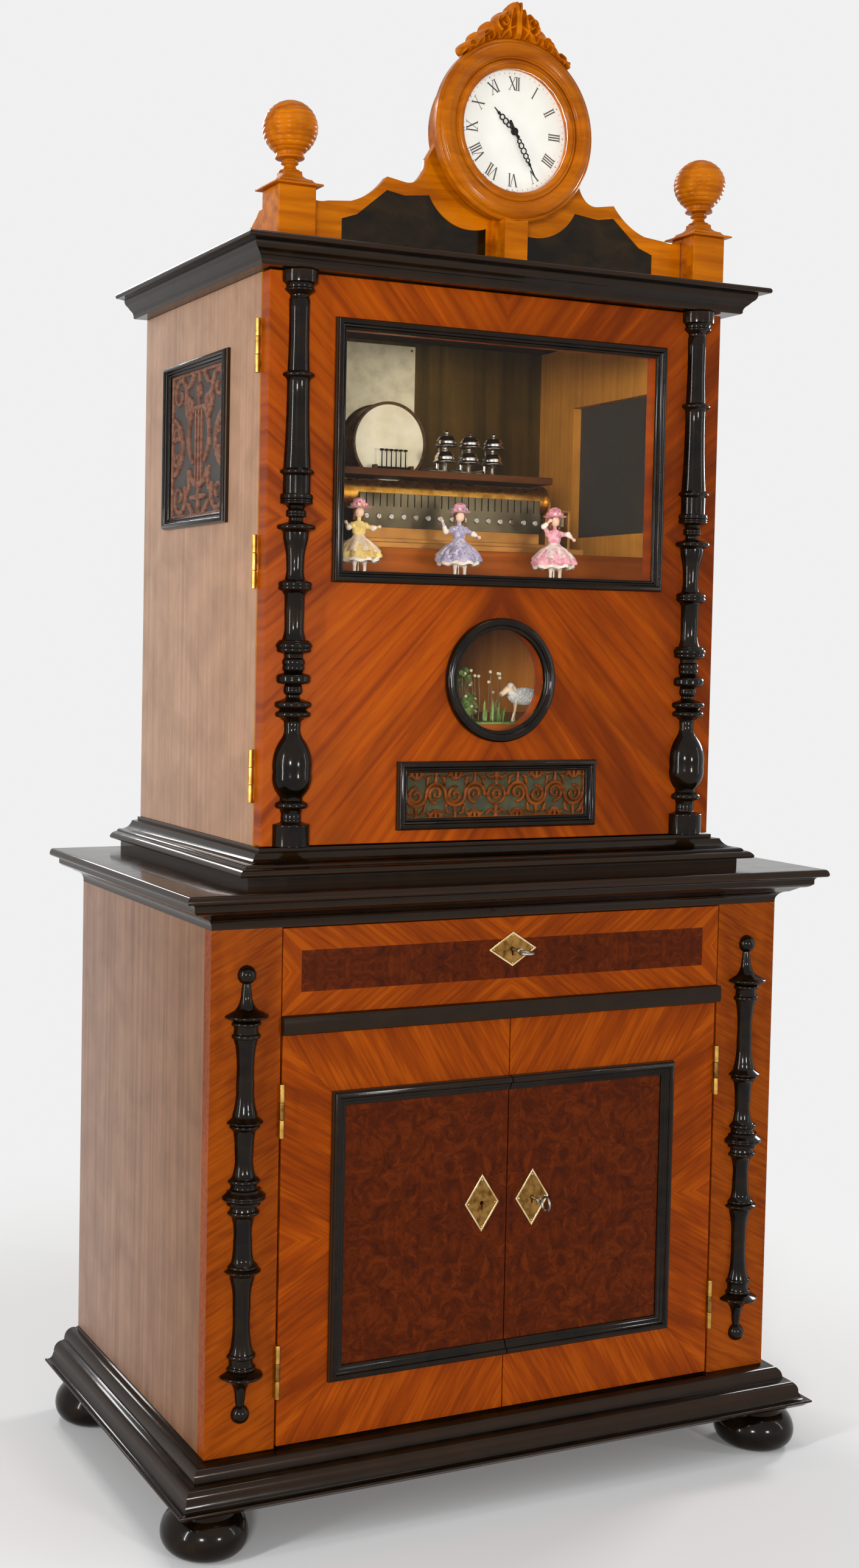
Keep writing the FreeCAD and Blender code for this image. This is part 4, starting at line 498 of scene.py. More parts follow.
def dress(node: str, finish: Finish, ease: float = 0.8) -> None:
    """Gives a frame node its finish and softens its edges.

    Args:
        node: the node's name.
        finish: what it is finished with.
        ease: the width of the softened edges, or 0 for none.
    """
    thing = frame["nodes"][node]
    for slot in thing.material_slots:
        slot.material = made(finish)
    if ease:
        weld = thing.modifiers.new("weld", "WELD")
        weld.merge_threshold = 2e-5
        soft = thing.modifiers.new("eased_edges", "BEVEL")
        soft.width = ease * MM
        soft.segments = 2
        soft.limit_method = "ANGLE"
        soft.angle_limit = math.radians(40)
    LOG.info("%s: dressed as %s", node, type(finish).__name__)


# Finishes

# Where in a figure's noise the dark bands end and the light ones begin.
BANDS = (0.3, 0.66)
# Veneer's filled pores, in millimetres: they only break the shine a little.
PORE_DEPTH = 0.015
# A thin shellac coat: it shows lamps crisply, and hardly veils the wood's colour.
FRENCH_POLISH = {"specular_ior_level": 0.06, "coat_weight": 0.04, "coat_roughness": 0.06}


def add(tree: Tree, kind: str, inputs: dict[str | int, object] | None = None, **settings: object) -> Node:
    """Adds one node with its settings and links.

    Args:
        tree: the material's node tree.
        kind: the node's type without its "ShaderNode".
        inputs: a socket's name or number, with a value, a hex colour, a node or another node's socket.
        settings: the node's own properties; stops sets a ramp's (place, colour) pairs.

    Returns:
        The new node.
    """
    node = tree.nodes.new("ShaderNode" + kind)
    stops = list(settings.pop("stops", ()))
    for name, value in settings.items():
        setattr(node, name, value)
    if stops:
        ramp = node.color_ramp.elements
        while len(ramp) < len(stops):
            ramp.new(0.5)
        for element, (place, colour) in zip(ramp, stops):
            element.position = place
            element.color = linear(colour) if isinstance(colour, str) else (colour, colour, colour, 1)
    for name, value in (inputs or {}).items():
        if isinstance(value, Node):
            value = value.outputs[0]
        if isinstance(value, bpy.types.NodeSocket):
            tree.links.new(value, node.inputs[name])
        else:
            node.inputs[name].default_value = linear(value) if isinstance(value, str) else value
    return node


class Mirror(Enum):
    """How matched leaves of veneer are opened."""

    SIDES = "left to right"
    FOUR = "four ways"


def opened(tree: Tree, place: object, centre: Corner, mirror: Mirror) -> Node:
    """Folds the place on the piece about a centre, as matched leaves are.

    Args:
        tree: the material's node tree.
        place: where on the piece, in metres.
        centre: (x, z) in millimetres.
        mirror: how the leaves are opened.

    Returns:
        A node with the folded place, in metres.
    """
    moved = add(tree, "VectorMath", {0: place, 1: (centre[0] * MM, 0, centre[1] * MM)}, operation="SUBTRACT")
    folded = add(tree, "VectorMath", {0: moved}, operation="ABSOLUTE")
    if mirror is Mirror.FOUR:
        return folded
    before, after = add(tree, "SeparateXYZ", {0: moved}), add(tree, "SeparateXYZ", {0: folded})
    return add(tree, "CombineXYZ", {0: after.outputs[0], 1: before.outputs[1], 2: before.outputs[2]})


def grain(tree: Tree, place: object, long: float, wide: float, slope: float = 0.0, detail: float = 4.0,
          warp: float = 0.5, shift: float = 0.0) -> Node:
    """Draws noise out along the grain.

    Args:
        tree: the material's node tree.
        place: where on the piece, in metres.
        long: the figure's length in millimetres.
        wide: its width in millimetres.
        slope: the grain's angle over the X axis in degrees, seen from the front.
        detail: how many finer layers it has.
        warp: how far it wanders.
        shift: moves the figure, so that two pieces differ.

    Returns:
        The noise node.
    """
    stretched = add(tree, "Mapping", {"Vector": place, "Location": (shift * MM, 0, shift * MM),
                                      "Rotation": (0, -math.radians(slope), 0),
                                      "Scale": (long * MM, wide * MM, wide * MM)}, vector_type="TEXTURE")
    return add(tree, "TexNoise", {"Vector": stretched, "Scale": 1.0, "Detail": detail, "Distortion": warp})


@dataclass(frozen=True)
class Finish:
    """A real surface. Each kind paints itself with nodes."""

    def paint(self, tree: Tree, place: object) -> None:
        """Adds the finish's nodes to a tree that has only the place on the piece."""
        raise NotImplementedError

    def coat(self, tree: Tree, colour: object, roughness: object, relief: object = None, depth: float = 0.0,
             **numbers: float) -> None:
        """Adds the shader and the output.

        Args:
            tree: the material's node tree.
            colour: a colour socket.
            roughness: a number or a socket.
            relief: a height from 0 to 1, where the surface isn't smooth.
            depth: how deep that relief is, in millimetres.
            numbers: the shader's own plain numbers, named with underscores for spaces.
        """
        inputs = {"Base Color": colour, "Roughness": roughness}
        inputs |= {name.replace("_", " ").title().replace("Ior", "IOR"): value
                   for name, value in numbers.items()}
        if relief is not None:
            inputs["Normal"] = add(tree, "Bump", {"Height": relief, "Distance": depth * MM, "Strength": 1.0})
        add(tree, "OutputMaterial", {"Surface": add(tree, "BsdfPrincipled", inputs)})


@lru_cache(maxsize=None)
def made(finish: Finish) -> bpy.types.Material:
    """Gives the finish's material, made once.

    Args:
        finish: the finish to make.

    Returns:
        Its material.
    """
    material = bpy.data.materials.new(type(finish).__name__)
    material.use_nodes = True
    tree = material.node_tree
    tree.nodes.clear()
    finish.paint(tree, add(tree, "TexCoord").outputs["Object"])
    return material


@dataclass(frozen=True)
class EbonisedWood(Finish):
    """Fruitwood stained black and french polished: deep brown black, crisp lights, browner edges that are
    partly wear and partly painted highlight.
    """

    stain: str = "#0a0502"
    mottle: str = "#1b1005"
    # Edge colour: partly real wear, partly a painted highlight.
    worn_edge_and_highlight: str = "#2e1c0c"
    pore_width: float = 1.2

    def paint(self, tree: Tree, place: object) -> None:
        """Adds stain, browner edges that are partly wear and partly painted highlight, and the polish."""
        cloud = grain(tree, place, 40, 22)
        pores = grain(tree, place, 30, self.pore_width)
        share = add(tree, "ValToRGB", {"Fac": cloud}, stops=((0.38, 0.0), (0.7, 1.0)))
        stain = add(tree, "MixRGB", {0: share, 1: self.stain, 2: self.mottle})
        # Painted highlight and wear: sharp edges, found by pointiness, turn browner.
        edge = add(tree, "ValToRGB", {"Fac": add(tree, "NewGeometry").outputs["Pointiness"]},
                   stops=((0.53, 0.0), (0.66, 1.0)))
        worn_edge_and_highlight = add(tree, "MixRGB", {0: edge, 1: stain, 2: self.worn_edge_and_highlight})
        rough = add(tree, "MapRange", {"Value": cloud, "To Min": 0.1, "To Max": 0.24})
        self.coat(tree, worn_edge_and_highlight, rough, pores, 0.008, specular_ior_level=0.08, coat_weight=0.2,
                  coat_roughness=0.04)


@dataclass(frozen=True)
class PolishedWood(Finish):
    """Solid hardwood, stained and polished: straight figure with fine pores under a clear shine."""

    dark: str = "#8a3d00"
    light: str = "#c66a0c"
    figure_length: float = 160.0
    figure_width: float = 7.0
    slope: float = 0.0
    shine: float = 0.05
    roughness: float = 0.3
    # Painted sheen: paler, greyer tones mixed in towards the back, standing in for the polish's grazing
    # reflection.
    painted_sheen_tones: tuple[str, str] | None = None
    sheen_start: float = -200.0
    sheen_end: float = 250.0

    def tone(self, tree: Tree, place: object, figure: Node) -> Node:
        """Colours the figure from its dark bands to its light ones, paler and greyer to the back, where
        painted sheen stands in for the polish's grazing reflection.
        """
        front = add(tree, "ValToRGB", {"Fac": figure}, stops=zip(BANDS, (self.dark, self.light)))
        if not self.painted_sheen_tones:
            return front
        back = add(tree, "ValToRGB", {"Fac": figure}, stops=zip(BANDS, self.painted_sheen_tones))
        share = add(tree, "MapRange", {"Value": add(tree, "SeparateXYZ", {0: place}).outputs[1],
                                       "From Min": self.sheen_start * MM, "From Max": self.sheen_end * MM})
        return add(tree, "MixRGB", {0: share, 1: front, 2: back})

    def paint(self, tree: Tree, place: object) -> None:
        """Adds figure, cloudy shade, pores and polish."""
        figure = grain(tree, place, self.figure_length, self.figure_width, self.slope)
        cloud = grain(tree, place, 90, 60, detail=2, shift=40)
        pores = grain(tree, place, 22, 0.9, self.slope)
        marked = self.tone(tree, place, figure)
        for mark, start, end, first, last in ((cloud, 0.35, 0.75, 1.0, 0.78), (pores, 0.28, 0.42, 0.72, 1.0)):
            shade = add(tree, "MapRange", {"Value": mark, "From Min": start, "From Max": end, "To Min": first,
                                           "To Max": last})
            marked = add(tree, "MixRGB", {0: 1.0, 1: marked, 2: shade}, blend_type="MULTIPLY")
        self.coat(tree, marked, self.roughness, pores, 0.02, specular_ior_level=0.06, coat_weight=self.shine,
                  coat_roughness=0.08)


@dataclass(frozen=True)
class LinedBoard(PolishedWood):
    """A board left plain outside and stained golden inside, or dark inside over a golden foot."""

    inner: tuple[str, str] = ("#b27a38", "#cd9850")
    foot: tuple[str, str] = ("#a36c2a", "#c99048")
    way: int = 0
    skin: float = 320.3
    foot_top: float = 0.0

    def tone(self, tree: Tree, place: object, figure: Node) -> Node:
        """Colours the figure outside, inside the board's outer face and, inside, below its foot's top."""
        outside = super().tone(tree, place, figure)
        inside, foot = (add(tree, "ValToRGB", {"Fac": figure}, stops=zip(BANDS, pair))
                        for pair in (self.inner, self.foot))
        parts = add(tree, "SeparateXYZ", {0: place})
        reach = add(tree, "Math", {0: parts.outputs[self.way]}, operation="ABSOLUTE")
        within = add(tree, "Math", {0: reach, 1: self.skin * MM}, operation="LESS_THAN")
        low = add(tree, "Math", {0: parts.outputs[2], 1: self.foot_top * MM}, operation="LESS_THAN")
        lining = add(tree, "MixRGB", {0: low, 1: inside, 2: foot})
        return add(tree, "MixRGB", {0: within, 1: outside, 2: lining})


@dataclass(frozen=True)
class SunburstVeneer(Finish):
    """Four matched leaves of walnut whose streaks run out from the door's middle, french polished."""

    centre: Corner = (0.0, 1200.0)
    dark: str = "#873400"
    tone: str = "#a74600"
    light: str = "#b75502"
    # Dark tone for broad patches of figure, and for the painted shade on the door's right side.
    shadow: str = "#642300"
    streak_length: float = 330.0
    streak_width: float = 15.0
    fan: float = 0.9

    def paint(self, tree: Tree, place: object) -> None:
        """Adds the fanned streaks, broad darker patches, painted shade that deepens towards the right, pores
        and polish.
        """
        folded = opened(tree, place, self.centre, Mirror.FOUR)
        level = add(tree, "VectorRotate", {"Vector": folded, "Angle": math.radians(45)},
                    rotation_type="Y_AXIS")
        parts = add(tree, "SeparateXYZ", {0: level})
        spread = add(tree, "Math", {0: parts.outputs[0], 1: self.fan, 2: 0.75}, operation="MULTIPLY_ADD")
        across = add(tree, "Math", {0: parts.outputs[2], 1: spread}, operation="DIVIDE")
        fanned = add(tree, "CombineXYZ", {0: parts.outputs[0], 2: across})
        streak = grain(tree, fanned, self.streak_length, self.streak_width, detail=5, warp=1.3)
        broad = grain(tree, fanned, 420, 60, detail=3, warp=1.0, shift=120)
        pores = grain(tree, fanned, 24, 0.9, shift=30)
        tone = add(tree, "ValToRGB", {"Fac": streak},
                   stops=((0.3, self.dark), (0.47, self.tone), (0.68, self.light)))
        sides = add(tree, "SeparateXYZ", {0: place})
        # Painted shade: the door darkens towards its right side, where less light falls; the broad patches
        # added to it are the wood's own tone.
        leaf = add(tree, "MapRange", {"Value": sides.outputs[0], "From Min": -0.12, "From Max": 0.2,
                                      "To Max": 0.21})
        deep = add(tree, "Math", {0: broad, 1: leaf}, operation="ADD")
        shade = add(tree, "ValToRGB", {"Fac": deep}, stops=((0.44, 0.0), (0.76, 0.85)))
        tone_with_painted_shade = add(tree, "MixRGB", {0: shade, 1: tone, 2: self.shadow})
        open_pores = add(tree, "ValToRGB", {"Fac": pores}, stops=((0.3, 0.3), (0.42, 0.0)))
        marked = add(tree, "MixRGB", {0: open_pores, 1: tone_with_painted_shade, 2: self.dark}, blend_type="MULTIPLY")
        self.coat(tree, marked, 0.3, pores, PORE_DEPTH, **FRENCH_POLISH)


@dataclass(frozen=True)
class BurlField(Finish):
    """A field of walnut burl inside straight crossbanding, mitred at the corners and french polished."""

    centre: Corner
    field: Corner
    frame: Corner
    top_slope: float = 60.0
    side_slope: float = 30.0
    band_width: float = 4.0
    eye: float = 7.0
    band: tuple[str, ...] = ("#762d00", "#8e3a00", "#a44a02")
    burl: tuple[str, ...] = ("#350f00", "#4e1a00", "#672702")

    def sides(self, tree: Tree, parts: Node, half: Corner, operation: str) -> list[Node]:
        """Compares the place with a rectangle's half width and half height.

        Args:
            tree: the material's node tree.
            parts: the folded place, in parts.
            half: (x, z) in millimetres.
            operation: the comparison.

        Returns:
            One node for each way.
        """
        return [add(tree, "Math", {0: parts.outputs[way], 1: size * MM}, operation=operation)
                for way, size in zip((0, 2), half)]

    def paint(self, tree: Tree, place: object) -> None:
        """Adds the burl, the two bands, the seams between them and the polish."""
        folded = opened(tree, place, self.centre, Mirror.FOUR)
        parts = add(tree, "SeparateXYZ", {0: folded})
        past = self.sides(tree, parts, self.frame, "SUBTRACT")
        on_top = add(tree, "Math", {0: past[1], 1: past[0]}, operation="GREATER_THAN")
        bands = []
        for slope, shift in ((self.side_slope, 0.0), (self.top_slope, 70.0)):
            ripple = grain(tree, folded, 80, self.band_width, slope, detail=3, warp=0.4, shift=shift)
            broad = grain(tree, folded, 150, 34, slope, detail=2, warp=0.8, shift=shift + 30)
            both = add(tree, "MixRGB", {0: 0.5, 1: ripple, 2: broad})
            bands.append(add(tree, "ValToRGB", {"Fac": both}, stops=zip((0.36, 0.5, 0.62), self.band)))
        band = add(tree, "MixRGB", {0: on_top, 1: bands[0], 2: bands[1]})
        swirl = add(tree, "TexNoise", {"Vector": folded, "Scale": 24.0, "Detail": 3.0})
        turned = add(tree, "VectorMath", {0: swirl.outputs[1], 1: (0.5, 0.5, 0.5)}, operation="SUBTRACT")
        bent = add(tree, "VectorMath", {0: turned, 1: (0.03, 0.03, 0.03), 2: folded},
                   operation="MULTIPLY_ADD")
        cloud = add(tree, "TexNoise", {"Vector": bent, "Scale": 1 / (3.2 * self.eye * MM), "Detail": 10.0,
                                       "Roughness": 0.72, "Distortion": 1.2})
        eyes = add(tree, "TexVoronoi", {"Vector": bent, "Scale": 1 / (self.eye * MM), "Smoothness": 0.6},
                   feature="SMOOTH_F1")
        knots = add(tree, "ValToRGB", {"Fac": eyes}, stops=((0.1, 0.45), (0.34, 0.0)))
        burl = add(tree, "ValToRGB", {"Fac": cloud}, stops=zip((0.34, 0.5, 0.66), self.burl))
        eyed = add(tree, "MixRGB", {0: knots, 1: burl, 2: self.burl[0]})
        inner = self.sides(tree, parts, self.field, "LESS_THAN")
        within = add(tree, "Math", {0: inner[0], 1: inner[1]}, operation="MULTIPLY")
        pores = add(tree, "TexNoise", {"Vector": folded, "Scale": 900.0})
        whole = add(tree, "MixRGB", {0: within, 1: band, 2: eyed})
        self.coat(tree, whole, 0.3, pores, PORE_DEPTH, **FRENCH_POLISH)


@dataclass(frozen=True)
class RippleVeneer(Finish):
    """Fiddleback walnut: close ripples that slope up to the middle of the front, french polished."""

    slope: float = 27.0
    ripple: float = 5.0
    dark: str = "#702b00"
    light: str = "#974502"

    def paint(self, tree: Tree, place: object) -> None:
        """Adds ripples, pores and polish."""
        folded = opened(tree, place, (0, 0), Mirror.SIDES)
        ripple = grain(tree, folded, 60, self.ripple, -self.slope, detail=2, warp=0.6)
        cloud = grain(tree, folded, 240, 50, 90, detail=2)
        both = add(tree, "MixRGB", {0: 0.45, 1: ripple, 2: cloud})
        tone = add(tree, "ValToRGB", {"Fac": both}, stops=((0.36, self.dark), (0.62, self.light)))
        pores = grain(tree, folded, 20, 0.9, 90)
        self.coat(tree, tone, 0.3, pores, PORE_DEPTH, **FRENCH_POLISH)


@dataclass(frozen=True)
class BurnishedMetal(Finish):
    """Brass, steel or nickel, buffed and handled: fine scratches, with dull patches of tarnish."""

    bright: str = "#c9a253"
    tarnish: str = "#8d6a2c"
    roughness: float = 0.26
    patch: float = 14.0

    def paint(self, tree: Tree, place: object) -> None:
        """Adds tarnish and fine scratches."""
        cloud = add(tree, "TexNoise", {"Vector": place, "Scale": 1 / (self.patch * MM), "Detail": 5.0})
        share = add(tree, "ValToRGB", {"Fac": cloud}, stops=((0.38, 0.0), (0.66, 1.0)))
        rough = add(tree, "MapRange", {"Value": cloud, "From Min": 0.3, "From Max": 0.8,
                                       "To Min": self.roughness, "To Max": self.roughness + 0.2})
        scratch = grain(tree, place, 14, 0.4)
        tone = add(tree, "MixRGB", {0: share, 1: self.bright, 2: self.tarnish})
        self.coat(tree, tone, rough, scratch, 0.01, metallic=1.0)


@dataclass(frozen=True)
class BronzedIron(Finish):
    """Grey iron cast in sand and bronze painted: a warm dull shine over a pebbled skin."""

    light: str = "#c0853a"
    dark: str = "#7a4c1a"
    pebble: float = 2.5
    patch: float = 25.0

    def paint(self, tree: Tree, place: object) -> None:
        """Adds the cast skin and the bronze paint."""
        cloud = add(tree, "TexNoise", {"Vector": place, "Scale": 1 / (self.patch * MM), "Detail": 4.0})
        skin = add(tree, "TexNoise", {"Vector": place, "Scale": 1 / (self.pebble * MM), "Detail": 3.0})
        tone = add(tree, "MixRGB", {0: cloud, 1: self.dark, 2: self.light})
        self.coat(tree, tone, 0.36, skin, 0.1, metallic=0.55)


@dataclass(frozen=True)
class WindowGlass(Finish):
    """Old window glass: clear, a little wavy and faintly warm. Lamps shine through it.

    Its IOR is below real glass's 1.5, so that a single thin pane veils what stands behind it no more
    than the real window does.
    """

    tint: str = "#f6f4ee"
    wave: float = 70.0

    def paint(self, tree: Tree, place: object) -> None:
        """Adds wavy glass that casts no shadow."""
        wave = add(tree, "TexNoise", {"Vector": place, "Scale": 1 / (self.wave * MM), "Detail": 1.0})
        rough = add(tree, "MapRange", {"Value": wave, "To Min": 0.0, "To Max": 0.02})
        glass = add(tree, "BsdfPrincipled", {"Base Color": self.tint, "Roughness": rough, "IOR": 1.18,
                                             "Transmission Weight": 1.0})
        clear = add(tree, "BsdfTransparent", {"Color": self.tint})
        shadow = add(tree, "LightPath").outputs["Is Shadow Ray"]
        add(tree, "OutputMaterial", {"Surface": add(tree, "MixShader", {0: shadow, 1: glass, 2: clear})})


@dataclass(frozen=True)
class WovenCloth(Finish):
    """A plain woven cloth with crossing threads, a soft sheen and a faint woven figure."""

    warp: str = "#6e4f28"
    weft: str = "#48331a"
    thread: float = 1.4
    figure: str = "#8a6a3c"

    def paint(self, tree: Tree, place: object) -> None:
        """Adds threads, drawn coarser than the real 0.4 mm so that they show, and the figure."""
        both = [add(tree, "TexWave", {"Vector": place, "Scale": 0.314 / (self.thread * MM),
                                      "Distortion": 0.6, "Detail": 2.0}, bands_direction=way)
                for way in ("X", "Z")]
        rise = add(tree, "Math", {0: both[0].outputs[1], 1: both[1].outputs[1]}, operation="MAXIMUM")
        cloud = add(tree, "TexNoise", {"Vector": place, "Scale": 55.0, "Detail": 4.0})
        tone = add(tree, "MixRGB", {0: rise, 1: self.weft, 2: self.warp})
        share = add(tree, "ValToRGB", {"Fac": cloud}, stops=((0.45, 0.0), (0.62, 0.8)))
        figured = add(tree, "MixRGB", {0: share, 1: tone, 2: self.figure})
        self.coat(tree, figured, 0.85, rise, 0.15, sheen_weight=0.3, sheen_roughness=0.5)


@dataclass(frozen=True)
class Painted(Finish):
    """Paint, enamel, card or hide: one colour that dulls and darkens in soft patches."""

    colour: str
    soiled: str
    roughness: float = 0.5
    patch: float = 30.0
    shine: float = 0.0
    fibre: float = 0.6
    depth: float = 0.02

    def paint(self, tree: Tree, place: object) -> None:
        """Adds the colour, its soiling and a fine surface."""
        cloud = add(tree, "TexNoise", {"Vector": place, "Scale": 1 / (self.patch * MM), "Detail": 5.0,
                                       "Roughness": 0.6})
        share = add(tree, "ValToRGB", {"Fac": cloud}, stops=((0.4, 0.0), (0.75, 1.0)))
        fine = add(tree, "TexNoise", {"Vector": place, "Scale": 1 / (self.fibre * MM), "Detail": 2.0})
        tone = add(tree, "MixRGB", {0: share, 1: self.colour, 2: self.soiled})
        self.coat(tree, tone, self.roughness, fine, self.depth, coat_weight=self.shine, coat_roughness=0.06)


EBONY = EbonisedWood()
PANEL_BLACK = EbonisedWood(stain="#120b02", mottle="#2c1d06")
GOLDEN = PolishedWood("#a85200", "#da7a04", figure_width=14)
RING_WOOD = PolishedWood("#a04e00", "#c66c04", 120, 16, shine=0.1, roughness=0.24)
# The upper side is painted paler and greyer towards the back: painted sheen for its polish's grazing
# reflection.
SIDE_UPPER = LinedBoard("#b2886b", "#c19679", 420, 8, 90, 0.02, 0.42, ("#ba9780", "#c9a68f"),
                        inner=("#d78e34", "#eda242"))
# The lower side too: painted sheen, paler and greyer towards the back.
SIDE_LOWER = PolishedWood("#7b5339", "#8e6546", 420, 10, 90, 0.04, painted_sheen_tones=("#9a7b69", "#b0907e"))
INSIDE = PolishedWood("#5d3a16", "#8a5c28", 300, 14, 90, 0.02, 0.5)
BACK_BOARD = LinedBoard("#6a431c", "#916030", 300, 18, 90, 0.02, 0.5, inner=("#40300d", "#624817"),
                        foot=("#e78e30", "#f7aa4b"), way=1, skin=247.3, foot_top=1128)
STAGE_WOOD = PolishedWood("#7c3800", "#a75606", 300, 12, shine=0.08)
SHELF_WOOD = PolishedWood("#3a1c08", "#5d3410", 300, 9)
DRAWER_WOOD = PolishedWood("#9a7444", "#bf9a62", 300, 10, shine=0.0, roughness=0.6)
FRET_WOOD = PolishedWood("#6d4638", "#986e5b", 90, 6, shine=0.03, roughness=0.5)
GRILLE_WOOD = PolishedWood("#5e2c0c", "#8a4a1c", 90, 6, shine=0.04)
HOOP_WOOD = PolishedWood("#2a1a10", "#6a4a2c", 90, 4, shine=0.1)
BRASS = BurnishedMetal("#d9ac58", "#9c7230")
PLATE_BRASS = BurnishedMetal("#96703a", "#5a3c1a", 0.3, patch=9)
RIM_BRASS = BurnishedMetal("#ecd9ae", "#c3a064", 0.2, patch=18)
STEEL = BurnishedMetal("#b5b0a4", "#766c5c", 0.25)
NICKEL = BurnishedMetal("#e6e3de", "#b3aea4", 0.1)
BLUED = BurnishedMetal("#20201f", "#121110", 0.3)
COMB_STEEL = BurnishedMetal("#675d4a", "#332c20", 0.35, patch=45)
PINNED_BRASS = BurnishedMetal("#d69c40", "#9a681f", 0.22)
BRONZED = BronzedIron()
GLASS = WindowGlass()
DARK_CLOTH = WovenCloth(warp="#2b2219", weft="#16100b", figure="#34281c")
GREEN_CLOTH = WovenCloth(warp="#3d3d22", weft="#1c2012", figure="#4c4a26")
DRUM_SKIN = Painted("#e9e1cb", "#d8cba9", patch=28)
JEWEL = Painted("#5d0f14", "#38070b", 0.2, patch=3, shine=0.8)
ENAMEL = Painted("#dcdfe5", "#d4d5d7", 0.35, patch=50, shine=0.05)
DIAL_PAINT = Painted("#35312d", "#4d463c", 0.4, patch=12)
CARD = Painted("#f6ecce", "#d2c7a8", 0.6, patch=22)
DOLL_SKIN = Painted("#f0d3bd", "#e2b49c", 0.45, patch=6)
DOLL_WHITE = Painted("#f2eae4", "#dccfc8", 0.6, patch=5)
DOLL_HAIR = Painted("#7a4a22", "#4c2a10", 0.6, patch=3, fibre=0.3, depth=0.2)
LAMB_WOOL = Painted("#edeff2", "#c0c4cc", 0.8, patch=5, fibre=0.8, depth=0.3)
LAMB_FACE = Painted("#ecd5bd", "#cfae8a", 0.6, patch=6)
LEAF_GREEN = Painted("#7f9c4c", "#445f2c", patch=6)
STEM_BROWN = Painted("#8a6a48", "#5d452c", 0.7, patch=8)
PETAL = Painted("#f4f0dc", "#e6d684", 0.6, patch=4)


# Lower case


def rectangle(low: Corner, high: Corner) -> list[Corner]:
    """Gives a rectangle's corners anticlockwise from the lower left."""
    return [(low[0], low[1]), (high[0], low[1]), (high[0], high[1]), (low[0], high[1])]


def inward(profile: Outline) -> list[Corner]:
    """Turns a profile over, so that it runs in from an outer edge with its bows swelling outward."""
    return [(-corner[0], *corner[1:]) for corner in profile]


def surround(name: str, node: str, profile: Outline, sides: str, front: float, board: float = 0.0) -> None:
    """Runs a black moulding round the front and both sides of a case.

    Args:
        name: the piece's name.
        node: the frame node that it stands for.
        profile: (reach, rise) corners.
        sides: the node of the case's side boards.
        front: the case's front.
        board: the thickness of the board inside its top, or 0.
    """
    low, high = span(sides)
    base, top = (corner[2] for corner in span(node))
    path = [(low[0], high[1]), (low[0], front), (high[0], front), (high[0], high[1])]
    shape = Shape(name)
    shape.run(profile, path, floor_plane(base))
    if board:
        shape.block((low[0] + board, high[1] - board, base), (high[0] - board, high[1], top - board), 0.2)
        shape.block((low[0] + board, front + board, top - board), (high[0] - board, high[1], top), 0.2)
    shape.place("cabinet", "black_wood", EBONY, stands_for=[node])


